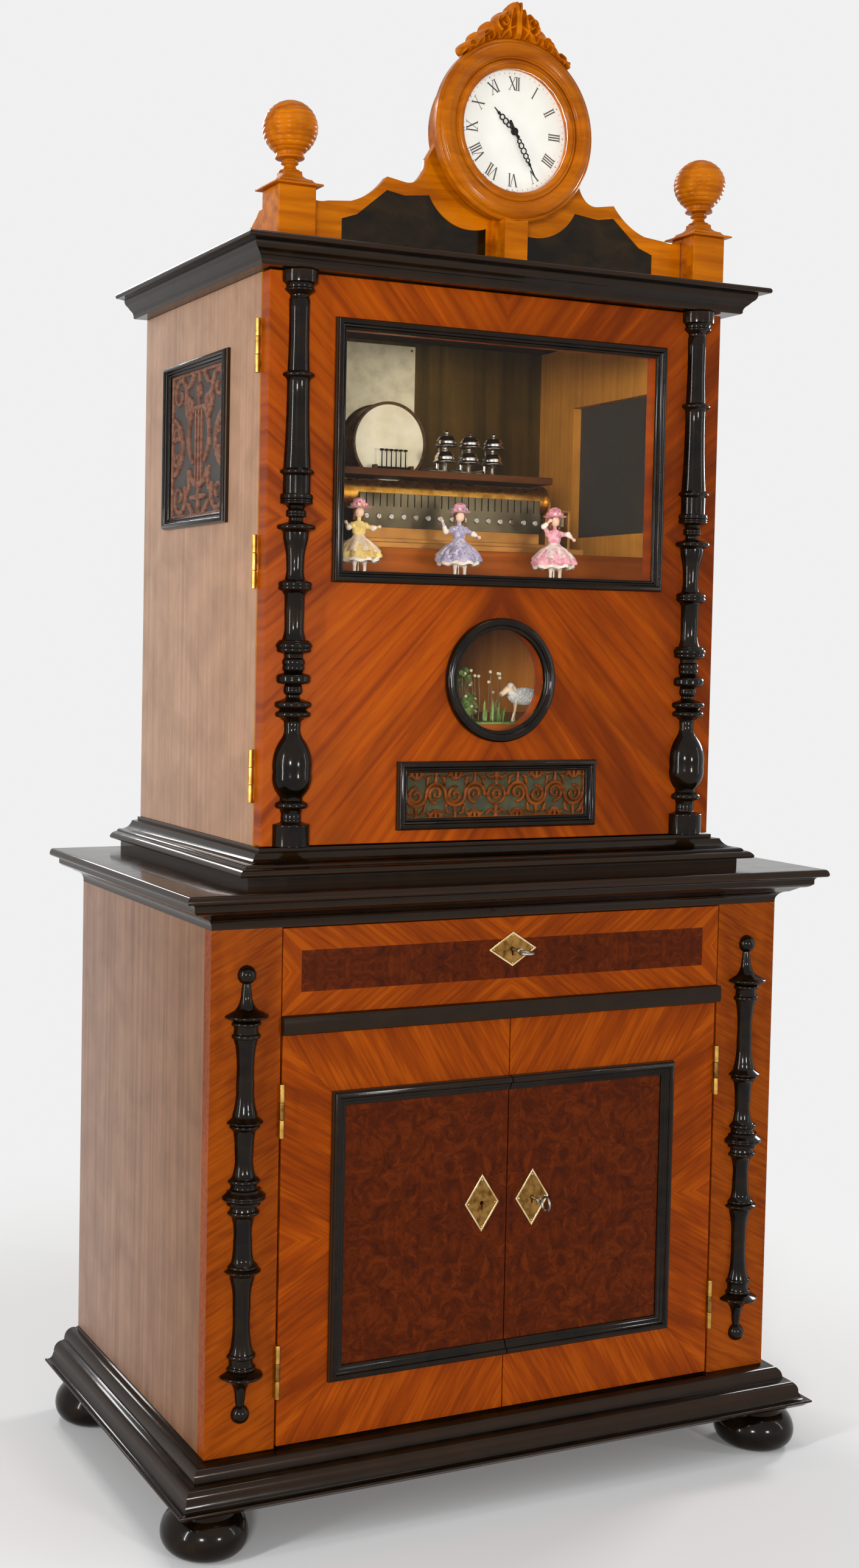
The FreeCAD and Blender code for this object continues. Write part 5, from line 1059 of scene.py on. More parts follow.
@dataclass
class LowerCase:
    """Bun feet, plinth, boards, split spindles and waist moulding."""

    foot: Outline = ((0, 0), (30, 0), (52, 22, 0.2071), (37.5, 48, 0.13), (37.5, 54), (0, 54))
    foot_radius: float = 52.0
    plinth: Outline = ((-20, 0), (26.5, 0), (34.6, 2.4), (41.7, 7, 0.08), (46.5, 10.5), (47, 12, 0.2),
                       (46, 13.5, 0.2), (36, 18.5, -0.25), (34.5, 21.5), (22.5, 36, 0.22), (20, 37),
                       (19.5, 41), (3, 51.5, 0.24), (0, 53), (-20, 53))
    waist: Outline = ((-18, 0), (0, 0), (12.6, 15, -0.22), (22.8, 21), (35, 26.5, 0.1), (35, 32),
                      (45, 36.5, -0.2), (48, 42, 0.3), (43, 46.5, 0.2), (-18, 46.5))
    strip: Outline = ((0, 0), (0, 5.5), (2.5, 8.2, -0.3), (5, 9), (16, 9), (18.5, 8.2), (21, 5.5, -0.3),
                      (21, 0))
    spindle: Outline = ((25.5, 0), (25.5, 2.5, 0.3), (20.5, 6), (20.5, 9), (16, 13, -0.3), (17, 16),
                        (17, 21, 0.5), (14, 24), (11.5, 52, -0.06), (13.5, 76, -0.03), (17, 80),
                        (17, 84, 0.4), (21.5, 86), (21.5, 88, 0.3), (15, 93), (15, 96), (11, 130, -0.05),
                        (12.5, 176, -0.03), (15, 184), (15, 190, 0.45), (14.5, 196), (15.5, 199),
                        (15.5, 204, 0.5), (25, 208.5), (25, 212, 0.4), (14, 217), (6.5, 236, -0.1),
                        (5, 247), (0, 268.9, 0.394))
    board: float = 18.0
    strip_half: float = 310.8
    strip_drop: float = 21.3
    spindle_inset: float = 44.5

    def build(self) -> None:
        """Builds and dresses every piece of the lower case."""
        low, high = span("bun_feet")
        feet = Shape("turned_feet")
        for x in (low[0] + self.foot_radius, high[0] - self.foot_radius):
            for y in (low[1] + self.foot_radius, high[1] - self.foot_radius):
                feet.turned(self.foot, (x, y, low[2]))
        feet.place("cabinet", "black_wood", EBONY, stands_for=["bun_feet"])
        self.mouldings()
        self.trim()
        dress("lower_sides", SIDE_LOWER)
        dress("lower_back", INSIDE)
        dress("lower_shelves", INSIDE)
        dress("face_frame", RippleVeneer(), ease=0.6)

    def mouldings(self) -> None:
        """Runs the plinth and the waist round the front and both sides."""
        front = span("face_frame").low[1]
        surround("waist_run", "waist_moulding", self.waist, "lower_sides", front, self.board)
        low, high = span("lower_sides")
        base, top = span("plinth")
        path = [(low[0], high[1]), (low[0], front), (high[0], front), (high[0], high[1])]
        shape = Shape("plinth_moulding")
        shape.run(self.plinth, path, floor_plane(base[2]))
        shape.block((low[0] + 20, top[1] - self.board, base[2]), (high[0] - 20, top[1], top[2]))
        shape.place("cabinet", "black_wood", EBONY, stands_for=["plinth"])

    def trim(self) -> None:
        """Sets the strip under the drawer and a split spindle on each stile."""
        face = span("face_frame")
        front, stile = face.low[1], face.high[0] - self.spindle_inset
        rail = span("drawer_front").low[2] - self.strip_drop
        shape = Shape("spindles_and_strip")
        shape.loft([[(x, front - depth, rail + rise) for rise, depth in traced(self.strip)]
                    for x in (-self.strip_half, self.strip_half)])
        upper = traced(self.spindle)
        outline = [tuple(spot) for spot in upper[::-1]] + [(r, -z) for r, z in upper]
        for sign in (-1, 1):
            shape.turned(outline, (stile * sign, front, span("lower_trim").middle[2]), sweep=(180, 360),
                         sides=56)
        shape.place("cabinet", "black_wood", EBONY, stands_for=["lower_trim"])


@dataclass
class Brasswork:
    """Diamond key plates, keys and butt hinges."""

    knuckle: float = 3.2
    leaf: float = 1.3
    hinge_height: float = 63.4
    joint: float = 3.0
    pin_depth: float = 3.7
    upper_hinge: float = 508.5
    glazed_hinges: Corner = (894.5, 1148.0, 1401.0)
    door_plate: Corner = (36.0, 370.0)
    door_plate_half: Corner = (24.0, 36.0)
    bow: float = 8.6
    bow_reach: float = 33.0

    def plate(self, shape: Shape, centre: Corner, half: Corner, front: float) -> None:
        """Adds a bevelled diamond with a keyhole and four pins.

        Args:
            shape: the piece that it joins.
            centre: its middle, (x, z).
            half: half its width and half its height, from point to point.
            front: the wood's face.
        """
        across, up = half
        plane = front_plane(front, *centre)

        def inside(u: Array, v: Array) -> Array:
            """Below 0 on the plate, away from the keyhole."""
            diamond = (np.abs(u) / across + np.abs(v) / up - 1) * min(half)
            hole = np.maximum(2.8 - np.hypot(u, v), -stroke(u, v, [(0, 0), (0, -7)], 2.6))
            return np.maximum(diamond, hole)

        def rise(u: Array, v: Array) -> Array:
            """A flat middle with a bevel round the edge."""
            edge = (1 - np.abs(u) / across - np.abs(v) / up) * min(half)
            return 0.4 + 0.7 * np.clip(edge / 2.4, 0, 1)

        shape.sawn(inside, (-across, -up), half, 1.0, plane, rise)
        rim = ((0, 0), (0, 1.1), (0.5, 1.6, 0.2), (1.6, 1.6), (2.2, 0.9, 0.2), (2.2, 0))
        points = [(0, -up), (across, 0), (0, up), (-across, 0)]
        shape.run(inward(rim), points, plane, closed=True, slot=1)
        for u, v in ((0.78, 0), (-0.78, 0), (0, 0.8), (0, -0.8)):
            shape.ball((centre[0] + u * across, front - 1.1, centre[1] + v * up), 1.0, slot=1, sides=10)

    def hinge(self, shape: Shape, place: Corner, fixed: bool, leaf_way: Corner, leaf_side: Corner) -> None:
        """Adds one half of a butt hinge with turned tips.

        Args:
            shape: the piece that it joins.
            place: the pin's middle.
            fixed: whether it is the half on the carcase, with two knuckles.
            leaf_way: which way the leaf runs from the pin.
            leaf_side: which way the leaf lies off the middle of the joint.
        """
        half, third = self.hinge_height / 2, self.hinge_height / 6
        spans = ((-half, -third), (third, half)) if fixed else ((-third + 0.3, third - 0.3),)
        r = self.knuckle
        for low, high in spans:
            barrel = [(0, low), (r - 0.5, low), (r, low + 0.5, 0.2), (r, high - 0.5),
                      (r - 0.5, high, 0.2), (0, high)]
            shape.turned(barrel, place, sides=24)
        way, side = np.array(leaf_way), np.array(leaf_side)
        base = np.array(place) + side * (self.joint / 2 - self.leaf / 2)
        for low, high, start, reach in ((-half, half, 4.0, 15.8), *((a, b, 0.0, 4.2) for a, b in spans)):
            first = base + way * start - side * self.leaf / 2 + (0, 0, low)
            last = base + way * reach + side * self.leaf / 2 + (0, 0, high)
            shape.block(np.minimum(first, last), np.maximum(first, last), 0.2)

    def key(self, name: str, node: str, body: str, upright: bool) -> None:
        """Turns a key with a ring bow, collar and bit.

        Args:
            name: the piece's name.
            node: the frame node that it stands for.
            body: the body that it rides on.
            upright: whether its bow stands upright.
        """
        box = span(node)
        x, z = box.middle[0], box.high[2] - (10.6 if upright else 3.65)
        front = span("drawer_front").low[1]
        shape = Shape(name)
        shank = [(0, -23), (1.9, -23), (2.1, -20), (3.4, -19.5), (3.4, -18, 0.3), (2.2, -17.3), (2.9, -15.6),
                 (2.2, -14, 0.3), (2.1, 13), (0, 13.5)]
        shape.turned(shank, (x, front, z), Axis.Y, sides=24)
        bow_y = front - self.bow_reach
        ring = [(x, bow_y + u, z + v) if upright else (x + u, bow_y + v, z)
                for u, v in arc((0, 0), self.bow, 0, 360, 40)]
        shape.tube(ring, 1.6)
        shape.block((x - 0.9, front + 8, z - 7.4), (x + 0.9, front + 13, z - 1.0), 0.3)
        shape.place(body, "steel", STEEL, stands_for=[node])

    def build(self) -> None:
        """Builds every plate, key and hinge of the lower front."""
        front = span("drawer_front").low[1]
        box = span("drawer_escutcheon")
        shape = Shape("drawer_key_plate")
        self.plate(shape, box.middle[::2], tuple(box.half[::2]), front)
        shape.place("drawer", "brass", PLATE_BRASS, RIM_BRASS, stands_for=["drawer_escutcheon"])
        fixed = Shape("fixed_hinge_halves")
        for side, sign in (("left", -1), ("right", 1)):
            low, high = span(f"{side}_door_brass")
            pin_x = low[0] + self.knuckle if sign < 0 else high[0] - self.knuckle
            shape = Shape(f"{side}_door_brasses")
            self.plate(shape, (self.door_plate[0] * sign, self.door_plate[1]), self.door_plate_half, front)
            for z in (low[2] + self.hinge_height / 2, self.upper_hinge):
                place = (pin_x, front - self.pin_depth, z)
                self.hinge(shape, place, False, (0, 1, 0), (-sign, 0, 0))
                self.hinge(fixed, place, True, (0, 1, 0), (sign, 0, 0))
            shape.place(f"{side}_door", "brass", PLATE_BRASS, RIM_BRASS, stands_for=[f"{side}_door_brass"])
        box = span("front_door_hinges")
        moving = Shape("glazed_door_hinge_halves")
        for z in self.glazed_hinges:
            place = (box.low[0] + self.knuckle, box.middle[1], z)
            self.hinge(moving, place, False, (1, 0, 0), (0, -1, 0))
            self.hinge(fixed, place, True, (1, 0, 0), (0, 1, 0))
        moving.place("front_door", "brass", BRASS, stands_for=["front_door_hinges"])
        fixed.place("cabinet", "brass", BRASS, stands_for=["fixed_hinge_leaves"])
        self.key("drawer_turned_key", "drawer_key", "drawer_key", upright=False)
        self.key("door_turned_key", "door_key", "door_key", upright=True)


@dataclass
class LowerFront:
    """The drawer and the pair of flush doors with one black frame across them."""

    moulding: Outline = ((0, 0), (0, 4), (1.2, 5.2), (4, 9, 0.25), (8, 8.6, 0.2), (13, 4.6, -0.2), (14, 3.4),
                         (16.5, 2.8), (18, 1.2, 0.2), (18, 0))
    drawer_field: Corner = (285.5, 24.5)
    drawer_slopes: Corner = (35.0, 55.0)
    overlap: float = 9.0

    def build(self) -> None:
        """Dresses the drawer and builds the door frames."""
        middle = (0.0, span("drawer_front").middle[2])
        dress("drawer_front", BurlField(middle, self.drawer_field, self.drawer_field, *self.drawer_slopes),
              ease=0.6)
        dress("drawer_box", DRAWER_WOOD, ease=0.2)
        left, right = span("left_door_moulding"), span("right_door_moulding")
        half = (right.high[0], right.half[2])
        veneer = BurlField((0.0, right.middle[2]), (half[0] - self.overlap, half[1] - self.overlap), half)
        for side, (low, high) in (("left", left), ("right", right)):
            outer, inner = (low[0], high[0]) if side == "left" else (high[0], low[0])
            path = [(inner, low[2]), (outer, low[2]), (outer, high[2]), (inner, high[2])]
            if side == "left":
                path = path[::-1]
            shape = Shape(f"{side}_door_frame")
            shape.run(inward(self.moulding), path, front_plane(high[1]))
            shape.place(f"{side}_door", "black_wood", EBONY, stands_for=[f"{side}_door_moulding"])
            dress(f"{side}_door_panel", veneer, ease=0.6)


# Upper case

FRAME_STRIP: Outline = ((0, 0), (0, 4.2), (1.2, 5.4), (4, 9, 0.25), (7, 8.4, 0.2), (10, 5, -0.2), (10.8, 3.6),
                        (13, 3.2, 0.35), (14, 1.4, 0.2), (14, 0))


def drawn(u: Array, v: Array, lines: Iterable[Stroke]) -> Array:
    """Gives the signed distance to a set of strokes, each with its widths."""
    return np.minimum.reduce([stroke(u, v, line, *widths) for line, widths in lines])


@dataclass(frozen=True)
class Fret:
    """A thin board sawn into strokes that hold one another inside a rim, the same left and right."""

    half_width: float
    half_height: float
    rim: float = 5.0
    rounding: float = 1.8
    rounding_depth: float = 1.4

    def lines(self) -> list[Stroke]:
        """Lists the strokes from the middle to the right edge, each with its widths."""
        raise NotImplementedError

    def inside(self, u: Array, v: Array) -> Array:
        """Draws the fret about its middle, below 0 where wood is left."""
        a = np.abs(u)
        rim = np.minimum(self.half_width - a, self.half_height - np.abs(v)) - self.rim
        return np.minimum(rim, drawn(a, v, self.lines()))

    def cut(self, shape: Shape, plane: Plane, thickness: float, cell: float) -> None:
        """Saws the fret and rounds its front edges over.

        Args:
            shape: the piece that it joins.
            plane: its back, with the origin in its middle.
            thickness: the board's thickness.
            cell: the drawing's finest step.
        """
        half = (self.half_width, self.half_height)

        def rise(u: Array, v: Array) -> Array:
            """Lowers the front near each sawn edge."""
            depth = np.clip(-self.inside(u, v) / self.rounding, 0, 1)
            return thickness - self.rounding_depth * (1 - depth) ** 2

        shape.sawn(self.inside, (-half[0], -half[1]), half, cell, plane, rise)


@dataclass(frozen=True)
class LyreFret(Fret):
    """A lyre with three strings among scrolls."""

    def lines(self) -> list[Stroke]:
        """Draws the lyre, its foot and crown, and the scrolls in the corners and at the sides."""
        edge, corner = self.half_width, (self.half_width - 27, self.half_height - 27)
        foot = (corner[0], -corner[1])
        return [(arc((0, -20), 33, 270, 335), (9, 7)), (arc((-7, 10), 42, -50, 52), (7, 9, 7)),
                (volute((31, 49), 13, -70, 400, 0.35), (8, 4)), ([(0, 45), (27, 45)], (6,)),
                ([(0, -52), (0, 44)], (2.4,)), ([(10, -50), (10, 44)], (2.4,)),
                ([(0, -68), (25, -68)], (9, 5)), ([(0, -93), (0, -54)], (9, 6)),
                ([(0, 46), (0, 93)], (4, 6)), (arc((0, 66), 7, 0, 360), (5,)),
                (arc((edge, 0), 37, 95, 265), (6, 8, 6)),
                (volute((edge - 15, 14), 12, 200, -380, 0.3), (6, 3)),
                (volute((edge - 15, -14), 12, 160, 380, 0.3), (6, 3)),
                (volute(corner, 24, -150, -470, 0.16), (7, 4)), (volute(foot, 24, 150, 470, 0.16), (7, 4)),
                (arc((58, 46), 26, 130, 215), (3, 7, 3)), (arc((58, -46), 26, 145, 230), (3, 7, 3)),
                ([(18, 88), (30, 76), (44, 72)], (8, 7, 2)), ([(18, -88), (30, -78), (42, -72)], (8, 7, 2))]


@dataclass(frozen=True)
class ScrollFret(Fret):
    """A running scroll with leaves, either side of a middle rosette."""

    rim: float = 2.5
    scrolls: int = 4
    rosette: float = 17.0

    def lines(self) -> list[Stroke]:
        """Draws the rosette, then each scroll with its two leaves and its stems."""
        pitch = (self.half_width - self.rim - self.rosette) / self.scrolls
        lines: list[Stroke] = [(arc((0, 0), 12, 0, 360, 20), (3,)), (arc((0, 0), 5, 0, 360), (4,)),
                               ([(12, 0), (self.rosette, 0)], (4, 5))]
        for up in (-1, 1):
            lines += [([(0, 12 * up), (0, 29 * up)], (3, 6)),
                      ([(0, 24 * up), (8, 20 * up), (15, 25 * up)], (2, 5, 1.5))]
        for number in range(self.scrolls):
            m = self.rosette + (number + 0.5) * pitch
            up = 1 if number % 2 == 0 else -1
            lines += [(arc((m, 0), pitch / 2, 180, 180 - 180 * up), (4, 5, 4)),
                      (volute((m, up), pitch / 2 - 3, -90 * up, 470 * up), (4, 4, 2.6)),
                      ([(m, up * 15), (m, up * 29)], (5, 2.5)), ([(m, -up * 20), (m, -up * 29)], (5, 3))]
            for side in (-1, 1):
                lines += [([(m + side * 2, -up * 19), (m + side * 7, -up * 25), (m + side * 13, -up * 22)],
                           (3, 5.5, 1.5)),
                          ([(m + side * 13, up * 12), (m + side * 11, up * 21), (m + side * 5, up * 24)],
                           (2, 4.5, 1.5))]
        return lines


def stretched_cloth(name: str, plane: Plane, half: Corner, thickness: float, body: str, node: str,
                    finish: Finish) -> None:
    """Stretches a cloth flat behind a fret, with a faint pull towards its tacks.

    Args:
        name: the piece's name.
        plane: the cloth's back, with the origin in its middle.
        half: its half width and half height.
        thickness: how thick it is drawn.
        body: the body that carries it.
        node: the frame node that it stands for.
        finish: the cloth's finish.
    """
    shape = Shape(name)
    counts = [max(4, round(size / 4)) for size in half]
    u, v = np.meshgrid(*(np.linspace(-size, size, n + 1) for size, n in zip(half, counts)), indexing="ij")
    pull = 0.12 * (np.cos(u * 0.7) * (v / half[1]) ** 4 + np.cos(v * 0.7) * (u / half[0]) ** 4)
    flat = np.stack((u, v), axis=-1)
    face = plane.at(flat, thickness - 0.15 + pull)
    shape.loft(face, wrap=False, ends=False)
    shape.loft(plane.at(flat, 0.0)[:, ::-1], wrap=False, ends=False)
    thing = shape.place(body, "cloth", finish, stands_for=[node] if node else [])


@dataclass
class UpperCase:
    """Base moulding, side boards with their lyre frets, shelves and cornice."""

    base: Outline = ((-18, 0), (28, 0), (28, 11), (40, 12.5), (44, 15.5, 0.3), (38, 21, 0.1), (34, 22),
                     (28, 25, 0.2), (12, 36, -0.17), (4, 37), (4, 41), (-18, 41))
    cornice: Outline = ((-18, 0), (18, 0), (19.6, 1.5), (24, 10.5, -0.15), (28, 15), (33, 23.5, 0.14),
                        (42, 25), (45.5, 28, 0.3), (42, 32, 0.2), (-18, 32))
    board: float = 18.0
    fret_depth: float = 4.0
    cloth_depth: float = 1.2

    def build(self) -> None:
        """Builds and dresses every piece of the upper case."""
        front = span("front_door_panel").low[1]
        surround("upper_base_run", "upper_base_moulding", self.base, "upper_sides", front)
        surround("cornice_run", "cornice", self.cornice, "upper_sides", front, self.board)
        dress("upper_sides", SIDE_UPPER)
        dress("upper_back", BACK_BOARD)
        dress("upper_shelves", STAGE_WOOD)
        self.frets()

    def frets(self) -> None:
        """Sets a sawn lyre, its black frame and the cloth behind it in each side."""
        fret, cloth, around = span("side_frets"), span("side_fret_cloths").half, span("side_fret_frames").half
        side = span("upper_sides").high[0]
        surrounds, lyres = Shape("side_fret_surrounds"), Shape("lyre_frets")
        for sign, word in ((-1, "left"), (1, "right")):
            face, back, deep = (side_plane((side - depth) * sign, sign, *fret.middle[1:]) for depth in
                                (0, self.fret_depth, self.fret_depth + self.cloth_depth))
            surrounds.run(inward(FRAME_STRIP), rectangle(-around[1:], around[1:]), face, closed=True)
            LyreFret(*fret.half[1:]).cut(lyres, back, self.fret_depth, 1.25)
            stretched_cloth(f"{word}_side_cloth", deep, cloth[1:], self.cloth_depth, "cabinet",
                            "side_fret_cloths" if sign < 0 else "", DARK_CLOTH)
        surrounds.place("cabinet", "black_wood", EBONY, stands_for=["side_fret_frames"])
        lyres.place("cabinet", "side_wood", FRET_WOOD, stands_for=["side_frets"])


@dataclass
class GlazedDoor:
    """The front door's veneer, frames, glass, grille and half columns."""

    bezel: Outline = ((63, 0), (63, -3.2), (65, -5.2, 0.3), (67, -5.6), (69, -8.4, 0.15), (72.5, -9, 0.2),
                      (77, -4.4, 0.25), (77, 0))
    column: Outline = ((0, 0), (22.5, 0), (23, 2, 0.3), (23, 24.5), (21, 27, 0.3), (14.5, 28.5),
                       (13, 34, -0.2), (13.5, 42, -0.1), (17, 45, -0.2), (17, 53, 0.45), (14, 55), (14.5, 59),
                       (24, 88, 0.13), (15, 126, 0.1), (10.5, 144, -0.12), (13.5, 150, -0.2), (19, 153, -0.1),
                       (19, 160, 0.45), (16.5, 162), (19.5, 164), (19.5, 172, 0.45), (12, 174.5),
                       (8.5, 179, -0.25), (11.5, 187, 0.2), (10, 191, 0.1), (17, 192.5), (21, 198, 0.25),
                       (17, 204, 0.25), (11, 206), (13, 214, 0.2), (11.5, 223, 0.2), (12, 227), (18, 229),
                       (21, 234, 0.3), (20, 241, 0.3), (15, 244, 0.2), (12, 262, -0.06), (12.5, 296),
                       (15, 300), (18, 302), (20, 307, 0.3), (17, 313, 0.3), (12.5, 315), (11, 332, -0.05),
                       (15.5, 362, -0.04), (16, 370), (21.5, 373, -0.1), (21.5, 379, 0.4), (10, 382),
                       (9.5, 388, -0.2), (12, 392, 0.4), (9.5, 397, 0.3), (12, 401), (18.5, 403),
                       (19.5, 406, 0.4), (18.5, 409, 0.4), (20, 412, 0.4), (17, 415, 0.3), (17, 436),
                       (19, 438), (19, 443, 0.45), (17, 445), (14, 546, -0.01), (15, 549), (17.5, 551),
                       (17.5, 556, 0.45), (13.7, 558), (13, 641, -0.01), (12, 646, -0.1), (17, 650),
                       (17, 654, 0.4), (21.5, 660, -0.2), (22, 664), (22, 673.5), (0, 673.5))
    column_reach: float = 283.0
    window_height: float = 312.0
    grille_height: float = 84.0
    fret_depth: float = 4.0
    cloth_depth: float = 1.2

    def build(self) -> None:
        """Builds and dresses every piece of the door."""
        low = span("front_door_panel").low
        front = low[1]
        dress("front_door_panel", SunburstVeneer(), ease=1.0)
        dress("front_door_glass", GLASS, ease=0)
        self.frames(front)
        shape = Shape("round_window_frame")
        shape.turned(self.bezel, (0, front, span("round_bezel").middle[2]), Axis.Y, sides=96, ring=True)
        shape.place("front_door", "black_wood", EBONY, stands_for=["round_bezel"])
        self.grille()
        columns = Shape("turned_half_columns")
        for sign in (-1, 1):
            columns.turned(self.column, (self.column_reach * sign, front, low[2]), sweep=(180, 360), sides=60)
        columns.place("front_door", "black_wood", EBONY, stands_for=["columns"])

    def frames(self, front: float) -> None:
        """Runs the black frames round the window and the grille.

        Args:
            front: the door's face.
        """
        low, high = span("front_door_mouldings")
        grille = span("grille_cloth")
        inset = FRAME_STRIP[-1][0] - 2
        shape = Shape("window_and_grille_frames")
        for corners in (rectangle((low[0], high[2] - self.window_height), (high[0], high[2])),
                        rectangle((grille.low[0] - inset, low[2]),
                                  (grille.high[0] + inset, low[2] + self.grille_height))):
            shape.run(inward(FRAME_STRIP), corners, front_plane(front), closed=True)
        shape.place("front_door", "black_wood", EBONY, stands_for=["front_door_mouldings"])

    def grille(self) -> None:
        """Saws the running scroll and stretches the cloth behind it."""
        fret, cloth = span("grille_fret"), span("grille_cloth")
        shape = Shape("grille_scrollwork")
        ScrollFret(*fret.half[::2]).cut(shape, front_plane(fret.high[1], 0, fret.middle[2]),
                                        self.fret_depth, 1.0)
        shape.place("front_door", "brown_veneer", GRILLE_WOOD, stands_for=["grille_fret"])
        stretched_cloth("grille_backing_cloth", front_plane(cloth.high[1], 0, cloth.middle[2]),
                        cloth.half[::2], self.cloth_depth, "front_door", "grille_cloth", GREEN_CLOTH)


# Movement


@dataclass
class Movement:
    """Cast bed, comb, pinned cylinder, air brake, drum, bells and their beaters."""

    cylinder: Outline = ((0, -232), (4, -232), (4, -220), (21, -220), (22, -219, 0.2), (22, -165),
                         (21, -164, 0.2), (4, -164), (4, -153), (20, -153), (20, -150), (18, -150), (18, 150),
                         (21, 150), (21, 153), (4, 153), (4, 163), (0, 163))
    tracks: int = 90
    pinned_half: float = 146.0
    pins_per_track: int = 8
    comb_screws: int = 15
    screw_radius: float = 3.9
    beaters: int = 6
    bell_radius: float = 15.0

    def build(self) -> None:
        """Builds and dresses the whole movement."""
        dress("bedplate", BRONZED)
        dress("comb_base", BRONZED)
        dress("comb", COMB_STEEL, ease=0.2)
        dress("percussion_shelf", SHELF_WOOD)
        self.screws()
        self.barrel()
        self.governor()
        self.drum()
        self.bells()

    def screws(self) -> None:
        """Screws the comb down with a row of bright slotted heads, each turned another way."""
        low, high = span("comb")
        shape = Shape("movement_screws")
        pitch = (high[0] - low[0]) / self.comb_screws
        for number in range(self.comb_screws):
            self.screw(shape, (low[0] + pitch * (number + 0.5), low[1], low[2] + 14), 35 + 40 * number)
        shape.place("cabinet", "steel", NICKEL)

    def screw(self, shape: Shape, centre: Corner, turn: float) -> None:
        """Adds a slotted cheese-head screw that faces the front.

        Args:
            shape: the piece that it joins.
            centre: the middle of its head's seat.
            turn: its slot's angle in degrees.
        """
        radius = self.screw_radius
        rise = -radius * 0.55
        rim = [(0, 0), (radius, 0), (radius, rise * 0.7), (radius * 0.8, rise), (radius * 0.16, rise),
               (radius * 0.16, rise * 0.5), (0, rise * 0.5)]
        shape.turned(rim, centre, Axis.Y, sides=20)
        half = np.array((math.cos(math.radians(turn)), 0, math.sin(math.radians(turn)))) * radius * 0.8
        middle = np.array(centre) + (0, rise * 0.92, 0)
        shape.tube([middle - half, middle + half], radius * 0.13, sides=6)

    def barrel(self) -> None:
        """Turns the cylinder with its spring barrel and sets its pins."""
        centre = span("music_cylinder").middle * (0, 1, 1)
        shape = Shape("pinned_cylinder")
        shape.turned(self.cylinder, centre, Axis.X, sides=72)
        chance = np.random.default_rng(7)
        seat, height, half = 17.8, 0.9, 0.35
        for track in range(self.tracks):
            x = -self.pinned_half + 2 * self.pinned_half * track / self.tracks
            for turn in chance.uniform(0, 2 * math.pi, self.pins_per_track):
                way = np.array((0, math.cos(turn), math.sin(turn)))
                side = np.array((0, -math.sin(turn), math.cos(turn)))
                foot = centre + (x, 0, 0) + way * seat
                shape.loft([[foot + way * rise + np.array((a, 0, 0)) + side * b
                             for a, b in rectangle((-wide, -wide), (wide, wide))]
                            for rise, wide in ((0, half), (height, half * 0.7))])
        shape.place("cylinder", "brass", PINNED_BRASS, stands_for=["music_cylinder"])

    def governor(self) -> None:
        """Builds the endless screw and its two-bladed air brake."""
        box = span("governor_fan")
        (x, y, _), foot, top = box.middle, box.low[2], box.high[2]
        shape = Shape("endless_screw_and_brake")
        shape.turned([(0, foot), (1, foot + 0.5), (1.6, foot + 2), (1.6, top - 2), (1, top - 0.5), (0, top)],
                     (x, y, 0), sides=20)
        thread = [(x + 2.5 * math.cos(turn), y + 2.5 * math.sin(turn), foot + 8 + turn * 0.42)
                  for turn in np.linspace(0, 32, 160)]
        shape.tube(thread, 0.7, sides=6)
        for sign in (-1, 1):
            first, last = sorted((x + sign * 1.2, x + sign * 8))
            shape.block((first, y - 0.5, top - 18), (last, y + 0.5, top - 4), 0.2)
        shape.place("governor", "steel", STEEL, stands_for=["governor_fan"])

    def drum(self) -> None:
        """Builds the drum with its skin, hoops and brass shell, and the bank of sticks."""
        box = span("drum")
        centre, hoop, front, back = box.middle * (1, 0, 1), box.half[0], box.low[1], box.high[1]
        shape = Shape("small_drum")
        shape.turned([(0, front + 2.0), (hoop - 6, front + 1.6), (hoop - 3.6, front + 2.4)], centre, Axis.Y,
                     sides=96)
        for near, out in ((front, 1), (back, -1)):
            ring = [(hoop - 3.8, near + 5 * out), (hoop - 4, near + 1 * out), (hoop - 3, near),
                    (hoop - 1, near), (hoop, near + 1 * out), (hoop, near + 6 * out),
                    (hoop - 1, near + 7 * out), (hoop - 3, near + 7 * out)]
            shape.turned(ring, centre, Axis.Y, slot=1, sides=96, ring=True)
        shape.turned([(hoop - 2.5, front + 5), (hoop - 2.5, back - 5), (0, back - 2)], centre, Axis.Y,
                     slot=2, sides=96)
        shape.place("cabinet", "drum_shell", DRUM_SKIN, HOOP_WOOD, BRASS, stands_for=["drum"])
        self.sticks()

    def sticks(self) -> None:
        """Sets a row of small hammers for the drum on one arbor."""
        low, high = span("drum_sticks")
        shape = Shape("drum_stick_bank")
        y, foot = (low[1] + high[1] - 5) / 2 - 0.5, low[2] + 2
        shape.tube([(low[0], y, foot), (high[0], y, foot)], 2)
        middle, top = (low[0] + high[0]) / 2, high[2] - 2
        for number in range(self.beaters):
            at = middle + 7 * (number - 2.5)
            shape.tube([(at, y, foot), (at, y, top)], 0.9, 0.7, sides=8)
            shape.tube([(at - 2.6, y + 0.4, top), (at + 2.6, y + 0.4, top)], 1.3, sides=8)
            shape.tube([(at, y - 1, top), (at, y + 3.6, top)], 1.5, sides=8)
        shape.place("sticks", "steel", BLUED, stands_for=["drum_sticks"])

